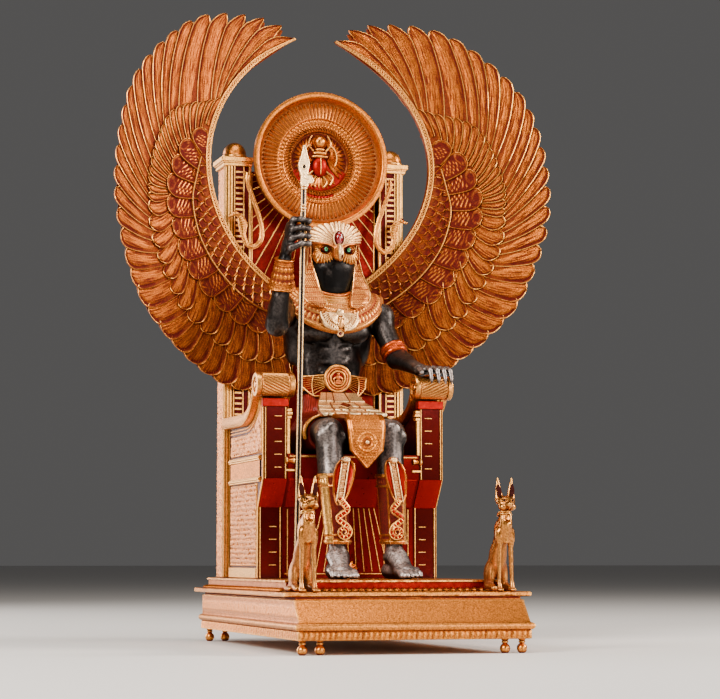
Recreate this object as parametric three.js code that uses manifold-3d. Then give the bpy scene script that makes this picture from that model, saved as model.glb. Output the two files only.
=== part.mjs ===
// Enthroned falcon-headed figure with crescent wings and a sun disc.
// Millimetres, +Z up, the figure faces -Y, origin at the bottom centre of the bounding box.
import * as THREE from 'three';
import { ConvexGeometry } from 'three/addons/geometries/ConvexGeometry.js';
import { mergeVertices } from 'three/addons/utils/BufferGeometryUtils.js';
import Module from 'manifold-3d';

const wasm = await Module();
wasm.setup();

// Driving dimensions
const GAP = 0.3; // clearance between touching pieces
const FOOT_H = 12;
const BASE_HALF_W = 100.4;
const BASE_FRONT = -182.5;
const BASE_BACK = 184.5;
const CORNICE_HALF_W = 107.8;
const CORNICE_TOP = 50.8;
const DAIS_HALF_W = 97;
const DAIS_FRONT = -124;
const DAIS_BACK = 176;
const DAIS_TOP = 60.5;
const SEAT_HALF_W = 62;
const SEAT_TOP = 172;
const SEAT_FRONT = 3.5; // upper front face of seat and arms
const SHIN_FRONT = 22.5; // lower front face, behind the slope
const SLOPE_TOP = 150;
const SLOPE_BOTTOM = 125;
const ARM_HALF_W = 84; // outer face of the arms
const ROLL = { r: 11, y: 5, z: 234, inner: 56.5, outer: 92.5 };
const PILLAR = { inner: 64, outer: 89, front: 137.5, back: 174, top: 456 };
const CAP = { top: 464, side: 93.7, front: 135.8 };
const DOME = { x: 78.5, y: 148.5, r: 12.3, h: 15.5 };
const BACK_PANEL = { front: 146, back: 171, top: 452 };
const DISC = { z: 461, front: 115.5, back: 132.5, r: 66.5, rim: 7, hub: 30 };
const WING = { y: 141.5, bowl: 0.001885, thick: 3.4, feathers: 15 };
const STAFF = { r: 2.25, foot: [-54.5, 0, 60.8], tip: [-48, 0, 452] };
const CAT = { x: 86, y: -157.5 };

const group = new THREE.Group();

// Finishes, one new material for each mesh
const FINISHES = {
  gold: { color: 0xd08a45, roughness: 0.34, metalness: 0.95 },
  enamel: { color: 0x7c0705, roughness: 0.25, metalness: 0.15 },
  black: { color: 0x17181b, roughness: 0.3, metalness: 0.4 },
};

function add(name, geometry, finish) {
  const material = new THREE.MeshStandardMaterial(FINISHES[finish]);
  const mesh = new THREE.Mesh(geometry, material);
  mesh.name = name;
  group.add(mesh);
}

const V = (x, y, z) => new THREE.Vector3(x, y, z);
const mix = (a, b, t) => a + (b - a) * t;
const ramp = (x, a, b) => Math.min(1, Math.max(0, (x - a) / (b - a)));

// Closed body from points and triangles, turned so that its faces point out
function body(points, faces) {
  let volume = 0;
  for (const [a, b, c] of faces) {
    volume += points[a].dot(V(0, 0, 0).crossVectors(points[b], points[c]));
  }
  const index = volume < 0 ? faces.map(([a, b, c]) => [a, c, b]) : faces;
  const geometry = new THREE.BufferGeometry();
  const flat = points.flatMap((p) => p.toArray());
  geometry.setAttribute('position', new THREE.Float32BufferAttribute(flat, 3));
  geometry.setIndex(index.flat());
  return geometry;
}

// Loops of equal length joined in order. Each end takes the given faces, or else a fan.
function loft(rings, ends) {
  const n = rings[0].length;
  const points = rings.flat();
  const faces = [];
  for (let i = 0; i + 1 < rings.length; i++) {
    for (let j = 0; j < n; j++) {
      const a = i * n + j;
      const b = i * n + ((j + 1) % n);
      faces.push([a, b, b + n], [a, b + n, a + n]);
    }
  }
  const last = (rings.length - 1) * n;
  for (const [start, turn] of [[0, -1], [last, 1]]) {
    if (ends) {
      for (const face of ends) {
        const [a, b, c] = face.map((j) => start + j);
        faces.push(turn > 0 ? [a, b, c] : [b, a, c]);
      }
      continue;
    }
    const middle = V(0, 0, 0);
    for (let j = 0; j < n; j++) middle.addScaledVector(points[start + j], 1 / n);
    const centre = points.push(middle) - 1;
    for (let j = 0; j < n; j++) {
      const a = start + j;
      const b = start + ((j + 1) % n);
      faces.push(turn > 0 ? [a, b, centre] : [b, a, centre]);
    }
  }
  return body(points, faces);
}

// Booleans
function toSolid(geometry) {
  const bare = geometry.clone();
  for (const name of Object.keys(bare.attributes)) {
    if (name !== 'position') bare.deleteAttribute(name);
  }
  const merged = mergeVertices(bare, 1e-4);
  return new wasm.Manifold(new wasm.Mesh({
    numProp: 3,
    vertProperties: new Float32Array(merged.attributes.position.array),
    triVerts: new Uint32Array(merged.index.array),
  }));
}

function fromSolid(solid) {
  const mesh = solid.getMesh();
  const geometry = new THREE.BufferGeometry();
  geometry.setAttribute('position', new THREE.BufferAttribute(new Float32Array(mesh.vertProperties), 3));
  geometry.setIndex(new THREE.BufferAttribute(new Uint32Array(mesh.triVerts), 1));
  return geometry;
}

// Joined one at a time, each join worked out at once
function union(solids) {
  return solids.reduce((sum, solid) => {
    const joined = sum.add(solid);
    joined.numTri();
    return joined;
  });
}

function box(x0, x1, y0, y1, z0, z1) {
  const geometry = new THREE.BoxGeometry(x1 - x0, y1 - y0, z1 - z0);
  return geometry.translate((x0 + x1) / 2, (y0 + y1) / 2, (z0 + z1) / 2);
}
const boxSolid = (...sides) => toSolid(box(...sides));

// Outline in the YZ plane pulled along X
function slabX(outline, x0, x1) {
  const ring = (x) => outline.map(([y, z]) => V(x, y, z));
  return loftFlat(ring(x0), ring(x1));
}

// Outline in the XZ plane pulled along Y
function slabY(outline, y0, y1) {
  const ring = (y) => outline.map(([x, z]) => V(x, y, z));
  return loftFlat(ring(y0), ring(y1));
}

// Straight prism between two matching flat loops of any outline
function loftFlat(first, second) {
  const n = first.length;
  const along = second[0].x !== first[0].x;
  const flat = first.map((p) => new THREE.Vector2(along ? p.y : p.x, p.z));
  const caps = THREE.ShapeUtils.triangulateShape(flat, []);
  const turn = THREE.ShapeUtils.isClockWise(flat) ? -1 : 1;
  const faces = [];
  for (const [a, b, c] of caps) faces.push([a, b, c], [n + a, n + c, n + b]);
  for (let j = 0; j < n; j++) {
    const k = (j + 1) % n;
    if (turn > 0) faces.push([j, n + j, n + k], [j, n + k, k]);
    else faces.push([j, n + k, n + j], [j, k, n + k]);
  }
  return body([...first, ...second], faces);
}

// Convex forms: an ellipsoid's points, and the skin round a few of them
function ovalPoints([x, y, z], r, sides = 8, rows = 5) {
  const [rx, ry, rz] = Array.isArray(r) ? r : [r, r, r];
  const points = [V(x, y, z + rz), V(x, y, z - rz)];
  for (let i = 1; i < rows; i++) {
    const a = (Math.PI * i) / rows;
    for (let j = 0; j < sides; j++) {
      const b = (2 * Math.PI * (j + 0.5)) / sides;
      const ring = Math.sin(a);
      points.push(V(x + rx * ring * Math.cos(b), y + ry * ring * Math.sin(b), z + rz * Math.cos(a)));
    }
  }
  return points;
}
const grow = (r, extra) => (Array.isArray(r) ? r.map((v) => v + extra) : r + extra);

// Skin round ovals given as [centre, radius]
function skin(ovals, extra = 0, sides = 8, rows = 5) {
  const points = ovals.flatMap(([c, r]) => ovalPoints(c, grow(r, extra), sides, rows));
  return toSolid(new ConvexGeometry(points));
}

// Round section turned about a vertical axis at x, y
function turned(profile, sides, x, y) {
  const points = profile.map(([r, z]) => new THREE.Vector2(r, z));
  return new THREE.LatheGeometry(points, sides).rotateX(Math.PI / 2).translate(x, y, 0);
}

// Bar of a round or oval section along a smooth line of points
function bar(line, section, steps) {
  const curve = new THREE.CatmullRomCurve3(line.map((p) => V(...p)));
  const shape = new THREE.Shape(section.map(([a, b]) => new THREE.Vector2(a, b)));
  return new THREE.ExtrudeGeometry(shape, { steps, extrudePath: curve, bevelEnabled: false });
}
const oval = (a, b, sides) => Array.from({ length: sides }, (_, k) => [
  a * Math.cos((2 * Math.PI * k) / sides), b * Math.sin((2 * Math.PI * k) / sides)]);

// Feet: balls on short necks, in pairs near the corners of the plinth
function ballFeet() {
  const profile = [[0, 0], [3, 0], [4.4, 3.6], [2.4, 8.6], [3, FOOT_H - GAP], [0, FOOT_H - GAP]];
  const pairX = 87.3;
  const halfPair = 7.5;
  for (const [row, y] of [['front', -173.5], ['back', 172.5]]) {
    for (const [side, sx] of [['left', -1], ['right', 1]]) {
      for (const [place, d] of [['outer', halfPair], ['inner', -halfPair]]) {
        add(`foot_${row}_${side}_${place}`, turned(profile, 7, sx * (pairX + d), y), 'gold');
      }
    }
  }
}

// Stack of rectangles [z, half width, front, back]
function stack(levels) {
  return loft(levels.map(([z, w, front, back]) => [
    V(-w, front, z), V(w, front, z), V(w, back, z), V(-w, back, z)]));
}

function plinth() {
  const bead = 4.2;
  const bodyW = BASE_HALF_W - 0.6;
  const rake = 17;
  const frontTop = BASE_FRONT + rake;
  const corniceFront = -163.1;
  add('plinth', stack([
    [FOOT_H, BASE_HALF_W, BASE_FRONT, BASE_BACK],
    [19.6, BASE_HALF_W, BASE_FRONT, BASE_BACK],
    [20.2, BASE_HALF_W + bead - 1, BASE_FRONT - 1.2, BASE_BACK - 0.4],
    [23, BASE_HALF_W + bead, BASE_FRONT - 2, BASE_BACK],
    [25.6, BASE_HALF_W + bead - 1, BASE_FRONT - 1.2, BASE_BACK - 0.4],
    [26.6, bodyW, BASE_FRONT + 1, BASE_BACK - 2],
    [30, bodyW, BASE_FRONT + 4.5, BASE_BACK - 2],
    [40, bodyW, frontTop - 3, BASE_BACK - 2],
    [44.2, bodyW, frontTop, BASE_BACK - 2],
    [45, bodyW - 2, frontTop + 2.5, BASE_BACK - 4],
    [46.6, bodyW - 2, frontTop + 2.5, BASE_BACK - 4],
    [46.9, CORNICE_HALF_W, corniceFront, BASE_BACK - 0.5],
    [CORNICE_TOP, CORNICE_HALF_W, corniceFront, BASE_BACK - 0.5],
  ]), 'gold');
}

function dais() {
  const lip = 1.6;
  const bottom = CORNICE_TOP + GAP;
  add('dais', stack([
    [bottom, DAIS_HALF_W, DAIS_FRONT, DAIS_BACK],
    [52.6, DAIS_HALF_W, DAIS_FRONT, DAIS_BACK],
    [53, DAIS_HALF_W - lip, DAIS_FRONT + lip, DAIS_BACK - lip],
    [58.4, DAIS_HALF_W - lip, DAIS_FRONT + lip, DAIS_BACK - lip],
    [58.8, DAIS_HALF_W, DAIS_FRONT, DAIS_BACK],
    [DAIS_TOP, DAIS_HALF_W, DAIS_FRONT, DAIS_BACK],
  ]), 'enamel');
}

// Throne
const THRONE_FOOT = DAIS_TOP + GAP;

function seatOutline(grow) {
  const back = BACK_PANEL.front - GAP;
  return [[SHIN_FRONT - grow, THRONE_FOOT], [SHIN_FRONT - grow, SLOPE_BOTTOM],
    [SEAT_FRONT - grow, SLOPE_TOP], [SEAT_FRONT - grow, SEAT_TOP + grow],
    [back, SEAT_TOP + grow], [back, THRONE_FOOT]];
}

function throneSeat() {
  const w = SEAT_HALF_W - GAP;
  add('throne_seat', slabX(seatOutline(0), -w, w), 'enamel');
}

// One arm: a wall with a raked front, a scooped armrest that curls up to the roll,
// and a carved side panel with a fluted band between two ledges
function throneArms() {
  const back = PILLAR.front - GAP;
  const scoop = [];
  const steps = 7;
  for (let k = 0; k <= steps; k++) {
    const a = (Math.PI / 2) * (k / steps);
    scoop.push([12 + 52 * (1 - Math.cos(a)) * 0.95, 240 - 30 * Math.sin(a)]);
  }
  const restTop = scoop[steps][1];
  const restH = 10;
  const under = scoop.map(([y, z], k) => [y - 1 + k * 0.5, z - mix(7, restH, k / steps)]).reverse();
  const frontTop = ROLL.z - ROLL.r + 1;
  const wallTop = under.map(([y, z]) => [y, z + 1]).reverse().slice(2);
  for (const [side, s] of [['left', -1], ['right', 1]]) {
    const wall = slabX([[SHIN_FRONT, THRONE_FOOT], [SHIN_FRONT, SLOPE_BOTTOM],
      [SEAT_FRONT, SLOPE_TOP], [SEAT_FRONT, frontTop], [12, frontTop], ...wallTop,
      [back, restTop - restH + 1], [back, THRONE_FOOT]], SEAT_HALF_W, ARM_HALF_W);
    const restLine = [...scoop, [back, restTop + 1], [back, restTop - restH], ...under];
    const rest = slabX(restLine, ROLL.inner, ROLL.outer);
    const parts = [toSolid(wall), toSolid(rest)];
    for (const z of [168, 149]) {
      parts.push(boxSolid(ARM_HALF_W - 1, ARM_HALF_W + 2.2, 10, back, z, z + 3.2));
    }
    parts.push(boxSolid(ARM_HALF_W - 1, ARM_HALF_W + 1.6, SHIN_FRONT + 2, back, THRONE_FOOT, 70));
    const solid = union(parts).subtract(rollRoom(1));
    const placed = s < 0 ? solid.mirror([1, 0, 0]) : solid;
    add(`throne_arm_${side}`, fromSolid(placed), 'gold');
    const length = ROLL.outer - ROLL.inner;
    add(`armrest_roll_${side}`, turnedX([[0, 0], [ROLL.r, 0], [ROLL.r, 5], [ROLL.r - 1, 6],
      [ROLL.r - 1, length - 6], [ROLL.r, length - 5], [ROLL.r, length], [0, length]],
    8, s, ROLL.inner, ROLL.y, ROLL.z), 'gold');
  }
}

// The space that a roll takes on one side, with its clearance
function rollRoom(s) {
  const r = ROLL.r + 2 * GAP;
  return toSolid(new THREE.CylinderGeometry(r, r, 60, 12).rotateZ(Math.PI / 2)
    .translate(s * (ROLL.outer - 20), ROLL.y, ROLL.z));
}

// Round section turned about a line along X, starting at x0 and running outwards
function turnedX(profile, sides, s, x0, y, z) {
  const geometry = new THREE.LatheGeometry(profile.map(([r, h]) => new THREE.Vector2(r, h)), sides);
  return geometry.rotateZ(s > 0 ? -Math.PI / 2 : Math.PI / 2).translate(s * x0, y, z);
}

function throneBack() {
  const w = PILLAR.inner - GAP;
  add('throne_back', box(-w, w, BACK_PANEL.front, BACK_PANEL.back, THRONE_FOOT, BACK_PANEL.top), 'enamel');
}

// Back pillars: a post with a recessed front, a square cap and a dome
function pillars() {
  const { inner, outer, front, back, top } = PILLAR;
  const frame = 3;
  for (const [side, s] of [['left', -1], ['right', 1]]) {
    const post = boxSolid(inner, outer, front, back, THRONE_FOOT, top);
    const recess = boxSolid(inner + frame, outer - frame, front - 2, front + 1.2, SEAT_TOP + 60, top - 6);
    const cap = boxSolid(inner - 2, CAP.side, CAP.front, back + 1, top - 0.5, CAP.top);
    const panelRoom = boxSolid(0, inner, BACK_PANEL.front - 6, 200, 400, 500);
    const solid = post.subtract(recess).add(cap.subtract(panelRoom));
    add(`pillar_${side}`, fromSolid(s < 0 ? solid.mirror([1, 0, 0]) : solid), 'gold');
    const { r, h } = DOME;
    const base = CAP.top + GAP;
    const profile = [[0, base], [r, base], [r, base + 2.4], [r - 0.6, base + 3]];
    for (let k = 1; k < 4; k++) {
      const a = (Math.PI / 2) * (k / 4);
      profile.push([(r - 0.6) * Math.cos(a), base + 3 + (h - 3) * Math.sin(a)]);
    }
    profile.push([0, base + h]);
    add(`dome_${side}`, turned(profile, 8, s * DOME.x, DOME.y), 'gold');
  }
}

// Sun disc: a dish with two rings of flutes, a rope ring and a winged beetle
function sunDisc() {
  const sides = 20;
  const { z, front, back, r, rim, hub } = DISC;
  const floor = front + 5;
  const ring = (radius, y, wave = 0) => Array.from({ length: sides }, (_, k) => {
    const a = (2 * Math.PI * k) / sides;
    return V(radius * Math.sin(a), y + (k % 2 ? wave : 0), z + radius * Math.cos(a));
  });
  const dish = loft([
    ring(30, floor), ring(33, floor - 2.6), ring(36, floor - 0.4, 1.8), ring(42, floor - 0.6, 1.8),
    ring(44.5, floor - 2.6), ring(47, floor - 0.6, 2.2), ring(58, floor - 0.8, 2.2), ring(r - rim, front),
    ring(r - 1, front), ring(r, back),
    ring(hub, back), ring(hub, BACK_PANEL.front - GAP),
  ]);
  const parts = [toSolid(dish)];
  parts.push(skin([[[0, floor - 1, z - 4], [7, 4, 9]]], 0, 6, 4));
  parts.push(skin([[[0, floor - 1, z + 15], 5.5]], 0, 6, 4));
  for (const s of [-1, 1]) {
    const plumes = 2;
    for (let k = 0; k < plumes; k++) {
      const a = mix(-0.5, 1.15, k / plumes);
      const b = mix(-0.5, 1.15, (k + 1.2) / plumes);
      const at = (t, radius) => [s * radius * Math.cos(t), floor - 0.5, z + radius * Math.sin(t)];
      parts.push(skin([[at(a, 13), 2], [at(a, 22), 2], [at(b, 20), 1.8]], 0, 4, 2));
    }
  }
  add('sun_disc', fromSolid(union(parts)), 'gold');
}

// Two cobras that hang from the sides of the disc as ribbons and rear their heads at the end
function cobras() {
  const y = 125;
  const line = [[70.8, y, 448], [70, y, 436], [65, y, 420], [58.5, y, 402], [56.8, y, 388], [60, y, 378.5],
    [66, y, 375.5], [72, y, 379.5], [75.2, y, 390], [76.4, y, 400], [80, y - 1.5, 406], [86, y - 3, 404.5]];
  for (const [side, s] of [['left', -1], ['right', 1]]) {
    const path = line.map(([x, yy, z]) => [s * x, yy, z]);
    const tube = toSolid(bar(path, oval(2.3, 2.6, 4), 12));
    const hood = skin([[[s * 75.6, y, 397], [3.4, 1.8, 6]], [[s * 76.5, y, 389], [2, 1.5, 2]]], 0, 5, 3);
    const near = new THREE.CylinderGeometry(DISC.r + GAP, DISC.r + GAP, 60, 48).translate(0, y, 0);
    const clear = toSolid(near.translate(0, 0, DISC.z));
    add(`cobra_${side}`, fromSolid(tube.add(hood).subtract(clear)), 'gold');
  }
}

// Wings. Each column runs out along one feather: the inner edge, the tips of the
// scale feathers, the tips of the coverts and the tip of the long feather, as [x, z].
const INNER_EDGE = { x: -113.5, z: 456.6, rx: 222.3, rz: 158.3 };
const FEATHER_LINES = [
  { edge: 28, scale: [80, 535.5], covert: [74, 542], tip: [17, 583.4] },
  { edge: 20, scale: [95.5, 514.5], covert: [92, 522], tip: [47, 602] },
  { edge: 12, scale: [107, 496], covert: [107, 515], tip: [91.5, 600] },
  { edge: 5, scale: [123, 485], covert: [146, 502], tip: [132.6, 583.5] },
  { edge: -2, scale: [143.6, 466], covert: [164, 474], tip: [175.6, 542.6] },
  { edge: -8, scale: [154, 438], covert: [175, 438], tip: [197, 501] },
  { edge: -13, scale: [157, 417], covert: [175, 406], tip: [208, 442] },
  { edge: -19, scale: [151.6, 394], covert: [171, 376], tip: [205, 389] },
  { edge: -27, scale: [142.8, 366], covert: [155, 340], tip: [188, 327] },
  { edge: -34, scale: [126.5, 340], covert: [134, 307], tip: [160, 290] },
  { edge: -40, scale: [101, 316], covert: [110, 288], tip: [125, 260] },
  { edge: -45, scale: [76, 300], covert: [82, 270], tip: [88, 241] },
  { edge: -48, scale: [52, 293], covert: [50, 265], tip: [48, 236] },
  { edge: -50, scale: [31, 300], covert: [28, 275], tip: [24, 245] },
];

function wingSolid() {
  const through = (points) => new THREE.CatmullRomCurve3(points.map(([x, z]) => V(x, 0, z)));
  const edge = through(FEATHER_LINES.map((f) => {
    const a = THREE.MathUtils.degToRad(f.edge);
    return [INNER_EDGE.x + INNER_EDGE.rx * Math.cos(a), INNER_EDGE.z + INNER_EDGE.rz * Math.sin(a)];
  }));
  const scale = through(FEATHER_LINES.map((f) => f.scale));
  const covert = through(FEATHER_LINES.map((f) => f.covert));
  const tip = through(FEATHER_LINES.map((f) => f.tip));
  const loops = [];
  for (let k = 0; k <= 2 * WING.feathers; k++) {
    const ridge = k % 2 === 1;
    const t = tip.getUtoTmapping(k / (2 * WING.feathers));
    const [p0, p1, p2, p3] = [edge, scale, covert, tip].map((c) => c.getPoint(t));
    const end = ridge ? p3 : p3.clone().lerp(p2, 0.07);
    const side = V(end.z - p2.z, 0, p2.x - end.x);
    const bulge = 0.06;
    const middle = p2.clone().lerp(end, 0.5).addScaledVector(side, bulge);
    const border = p0.clone().lerp(p1, Math.min(0.5, 5.5 / p0.distanceTo(p1)));
    const groove = ridge ? 0 : 1.1;
    const front = [
      [p0, 2.6], [border, 2.8 - groove * 0.3], [p1, 3.4 - groove], [p1.clone().lerp(p2, 0.1), 2 - groove],
      [p2, 2.2 - groove], [p2.clone().lerp(middle, 0.1), 1 - groove], [end, 0.8 - groove],
    ];
    const root = 3 * (1 - ramp(p0.x, 35, 90));
    const back = [end, p2, p0].map((p) => [p, 0.4 - WING.thick - root]);
    const at = ([p, rise]) => V(p.x, WING.y - WING.bowl * p.x * p.x - rise, p.z);
    loops.push([...front, ...back].map(at));
  }
  const ends = [[0, 1, 9], [1, 2, 9], [2, 3, 9], [3, 4, 9], [4, 8, 9], [4, 5, 8], [5, 6, 8], [6, 7, 8]];
  const { inner, outer, front } = PILLAR;
  return toSolid(loft(loops, ends))
    .subtract(boxSolid(inner - GAP, outer + GAP, front - GAP, 200, 0, 470))
    .subtract(boxSolid(-1, inner, BACK_PANEL.front - GAP, 200, 0, 470));
}

function wings() {
  const right = wingSolid();
  add('wing_right', fromSolid(right), 'gold');
  add('wing_left', fromSolid(right.mirror([1, 0, 0])), 'gold');
}

// The figure: joints, then forms round them. extra swells every form evenly.
const J = {
  shoulderR: [-45, 83, 310], elbowR: [-66, 26, 291], wristR: [-65, 5, 347],
  shoulderL: [46, 84, 308], elbowL: [58.5, 60, 265], wristL: [65, 10, 251],
  kneeR: [-28.5, -15, 191], kneeL: [28.5, -15, 192], ankleR: [-26, -36, 82], ankleL: [26, -36, 82],
};

function torsoForms(extra) {
  const forms = [
    [[[0, 88, 195], [31, 21, 18]], [[0, 87, 230], [24, 17, 12]]],
    [[[0, 87, 226], [23, 17, 12]], [[0, 86, 258], [25, 17, 12]]],
    [[[0, 86, 262], [28, 18, 14]], [[0, 88, 296], [38, 19, 14]]],
    [[[0, 90, 306], [34, 15, 12]], [[-42, 86, 310], [10, 11, 9]], [[42, 86, 310], [10, 11, 9]],
      [[0, 86, 326], [14, 12, 6]]],
    [[[-15, 72, 293], [16, 9, 12]], [[15, 72, 293], [16, 9, 12]]],
    [[[0, 84, 326], [12, 12, 6]], [[0, 79, 350], [20, 19, 9]], [[0, 80, 366], [18.5, 20, 18]]],
  ];
  return forms.map((f) => skin(f, extra, 6, 4));
}

function armForms(extra) {
  const forms = [
    [[J.shoulderR, 13.5], [J.elbowR, 9.5]], [[J.elbowR, 10], [J.wristR, 6.6]],
    [[J.shoulderL, 13.5], [J.elbowL, 9]], [[J.elbowL, 9.5], [J.wristL, 6.4]],
  ];
  return forms.map((f) => skin(f, extra, 5, 3));
}

function handForms(extra) {
  const forms = [[[J.wristR, [6, 5.5, 4]], [[-61, 2, 366], [5, 8, 11]], [[-60, 1, 380], [5, 7, 6]]]];
  for (let k = 0; k < 4; k++) {
    const z = 357.5 + 8.2 * k;
    forms.push([[[-59, -5.5, z], 3.8], [[-44, -5.5, z], 3.4]]);
    const x = 67 + 6.2 * k;
    forms.push([[[x - 0.5, -4, 248.6], 3], [[x + 1, -10, 238], 2.7]]);
  }
  forms.push([[[-60, 8, 366], 4], [[-48, 7.5, 374], 3.2]]);
  forms.push([[J.wristL, [6, 6, 4.2]], [[68, 2, 250.5], [4, 5, 3.6]], [[84, 1, 250], [4, 4, 3]]]);
  return forms.map((f) => skin(f, extra, 4, 3));
}

function legForms(extra) {
  const forms = [];
  const toes = [];
  for (const [s, knee, ankle] of [[-1, J.kneeR, J.ankleR], [1, J.kneeL, J.ankleL]]) {
    forms.push([[[s * 18, 84, 190], [19, 20, 18]], [[s * 28, -4, 191], 13.5]]);
    forms.push([[knee, [13.5, 14, 15]], [[s * 27.7, -20, 156], [11, 12, 10]]]);
    forms.push([[[s * 27.5, -22, 148], [10.5, 13, 14]], [ankle, 8]]);
    forms.push([[ankle, [8, 8, 7]], [[s * 26, -28, 68], [8, 9, 7.4]], [[s * 29, -62, 66], [12.5, 8, 6]]]);
    toes.push([[[s * 22, -64, 65], [4.4, 4, 4]], [[s * 21.5, -76, 64], [3.6, 3.4, 3]]]);
    toes.push([[[s * 29, -64, 65], [4, 4, 4]], [[s * 27.5, -75, 63.6], 3], [[s * 38, -69, 63.2], 2.6]]);
  }
  return [...forms.map((f) => skin(f, extra, 6, 4)), ...toes.map((f) => skin(f, extra, 4, 2))];
}

function figureSolid(extra) {
  return union([...torsoForms(extra), ...armForms(extra), ...handForms(extra), ...legForms(extra)]);
}

// What the figure sits on and holds, swollen by the clearance
function seatAndRolls() {
  const seat = toSolid(slabX(seatOutline(GAP), -SEAT_HALF_W - 1, SEAT_HALF_W + 1));
  const arms = [boxSolid(-95, -55, 10, 140, 60, 212), boxSolid(55, 95, 10, 140, 60, 212)];
  return union([seat, rollRoom(-1), rollRoom(1), ...arms, boxSolid(-90, 90, -140, 0, 40, DAIS_TOP + GAP)]);
}

function staffLine(t) {
  return [0, 1, 2].map((i) => mix(STAFF.foot[i], STAFF.tip[i], t));
}

// Staff: a thin rod with a leaf-shaped head, a hole and a short fork
function staffSolid(extra) {
  const at = (x, z) => V(STAFF.tip[0] + x, 0, STAFF.tip[2] + z);
  const r = STAFF.r + extra;
  const shaft = loft([0, 0.925].map((t) => {
    const [x, y, z] = staffLine(t);
    return oval(r, r, 8).map(([a, b]) => V(x + a, y + b, z));
  }));
  if (extra > 0) return toSolid(shaft);
  const half = 1.6;
  const outline = [at(0, 0), at(-2.2, -10), at(-4.4, -19), at(-2.4, -30), at(-2.2, -38), at(2.4, -38),
    at(3, -34), at(7, -33), at(5.6, -28), at(2.8, -27), at(4.2, -18), at(2.2, -10)].reverse();
  const head = slabY(outline.map((p) => [p.x, p.z]), -half, half);
  const eye = at(0.2, -20);
  const hole = new THREE.CylinderGeometry(1.5, 1.5, 8, 8).translate(eye.x, eye.y, eye.z);
  return toSolid(shaft).add(toSolid(head)).subtract(toSolid(hole));
}

// Worn pieces: each is a form round the body, less the body swollen by the clearance
function maskSolid() {
  const parts = [
    skin([[[0, 81, 372], [23, 24, 17]]], 0, 8, 4),
    skin([[[-9, 62, 369], [13, 6, 8]], [[9, 62, 369], [13, 6, 8]]], 0, 6, 2),
    skin([[[0, 58, 362], [4, 6, 5]], [[0, 52, 354], [2, 2, 4]], [[0, 53, 349.5], 1]], 0, 4, 3),
    skin([[[-14, 68, 359], [9, 8, 7]], [[14, 68, 359], [9, 8, 7]]], 0, 5, 2),
  ];
  const crest = 5;
  for (let k = 0; k < crest; k++) {
    const a = mix(-1.1, 1.1, k / (crest - 1));
    const x = 24 * Math.sin(a);
    const high = 391 - 7 * Math.abs(Math.sin(a)) + (k % 2 ? 0 : 2.2);
    const lock = [[x, 66 + 4 * Math.abs(a), high - 4], [3.6, 3, 4]];
    parts.push(skin([[[x * 0.35, 60, 371], [3, 3, 3]], lock], 0, 4, 2));
  }
  for (const s of [-1, 1]) {
    const fold = [[s * 25, 72, 334], [8.5, 11, 5]];
    parts.push(skin([[[s * 22.5, 78, 362], [4.4, 12, 8]], fold], 0, 6, 3));
    parts.push(skin([fold, [[s * 21, 61.5, 315.5], [9.5, 4.5, 4]]], 0, 6, 3));
  }
  return union(parts);
}

function collarSolid(extra) {
  const sides = 18;
  const loops = [];
  const profile = [[0, 0], [0.12, 4.4], [0.94, 4.4], [1, -1], [0, -3]];
  for (const [t, rise] of profile) {
    const ring = [];
    for (let k = 0; k < sides; k++) {
      const a = (2 * Math.PI * k) / sides;
      const front = 0.5 + 0.5 * Math.cos(a);
      const inner = V(21 * Math.sin(a), 85 - 20 * Math.cos(a), mix(334, 322, front));
      const fall = 49 * front ** 1.9 + 13 * ramp(-Math.cos(a), 0, 1);
      const outer = V(51 * Math.sin(a), 84 - mix(24, 34, front) * Math.cos(a), 336 - fall);
      const p = inner.lerp(outer, t + (t - 0.5) * extra * 0.08);
      const lift = V(Math.sin(a) * 0.5, -Math.cos(a) * 0.6, 0.6).normalize();
      ring.push(p.addScaledVector(lift, rise + (rise > 0 ? extra : -extra)));
    }
    loops.push(ring);
  }
  return toSolid(ringSolid(loops));
}

// Loops that close on themselves both ways round
function ringSolid(rings) {
  const n = rings[0].length;
  const points = rings.flat();
  const faces = [];
  for (let i = 0; i < rings.length; i++) {
    for (let j = 0; j < n; j++) {
      const a = i * n + j;
      const b = i * n + ((j + 1) % n);
      const c = ((i + 1) % rings.length) * n + j;
      const d = ((i + 1) % rings.length) * n + ((j + 1) % n);
      faces.push([a, b, d], [a, d, c]);
    }
  }
  return body(points, faces);
}

function kiltSolid() {
  const forms = [];
  for (const s of [-1, 1]) {
    forms.push(skin([[[s * 18, 84, 191], [23, 23, 22]], [[s * 28, 6, 191.5], [16, 14, 15]]], 0, 6, 4));
  }
  const hips = skin([[[0, 88, 195], [34, 25, 21]], [[0, 86, 232], [27, 20.5, 8]]], 0, 7, 4);
  const lap = boxSolid(-60, 60, 8, 118, SEAT_TOP + GAP, 233);
  return union([...forms, hips]).intersect(lap);
}

function beltSolid() {
  const round = boxSolid(-60, 60, 40, 118, 233.5, 243);
  const waist = skin([[[0, 86, 238], [29, 22.5, 7]]], 0, 10, 4).intersect(round);
  const emblem = toSolid(new THREE.CylinderGeometry(12, 12, 5, 12).translate(0, 62.5, 246));
  const boss = skin([[[0, 59.5, 246], [5, 3, 7]]], 0, 6, 3);
  const parts = [waist, emblem, boss];
  for (const s of [-1, 1]) {
    for (let k = 0; k < 2; k++) {
      const root = [[s * 8, 62, 242 - 4 * k], [2, 2.2, 4]];
      const reach = 31 - 4 * k;
      parts.push(skin([root, [[s * reach, 70, 245 - 8 * k], [2, 2.4, 4]]], 0, 4, 3));
    }
  }
  return union(parts);
}

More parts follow.
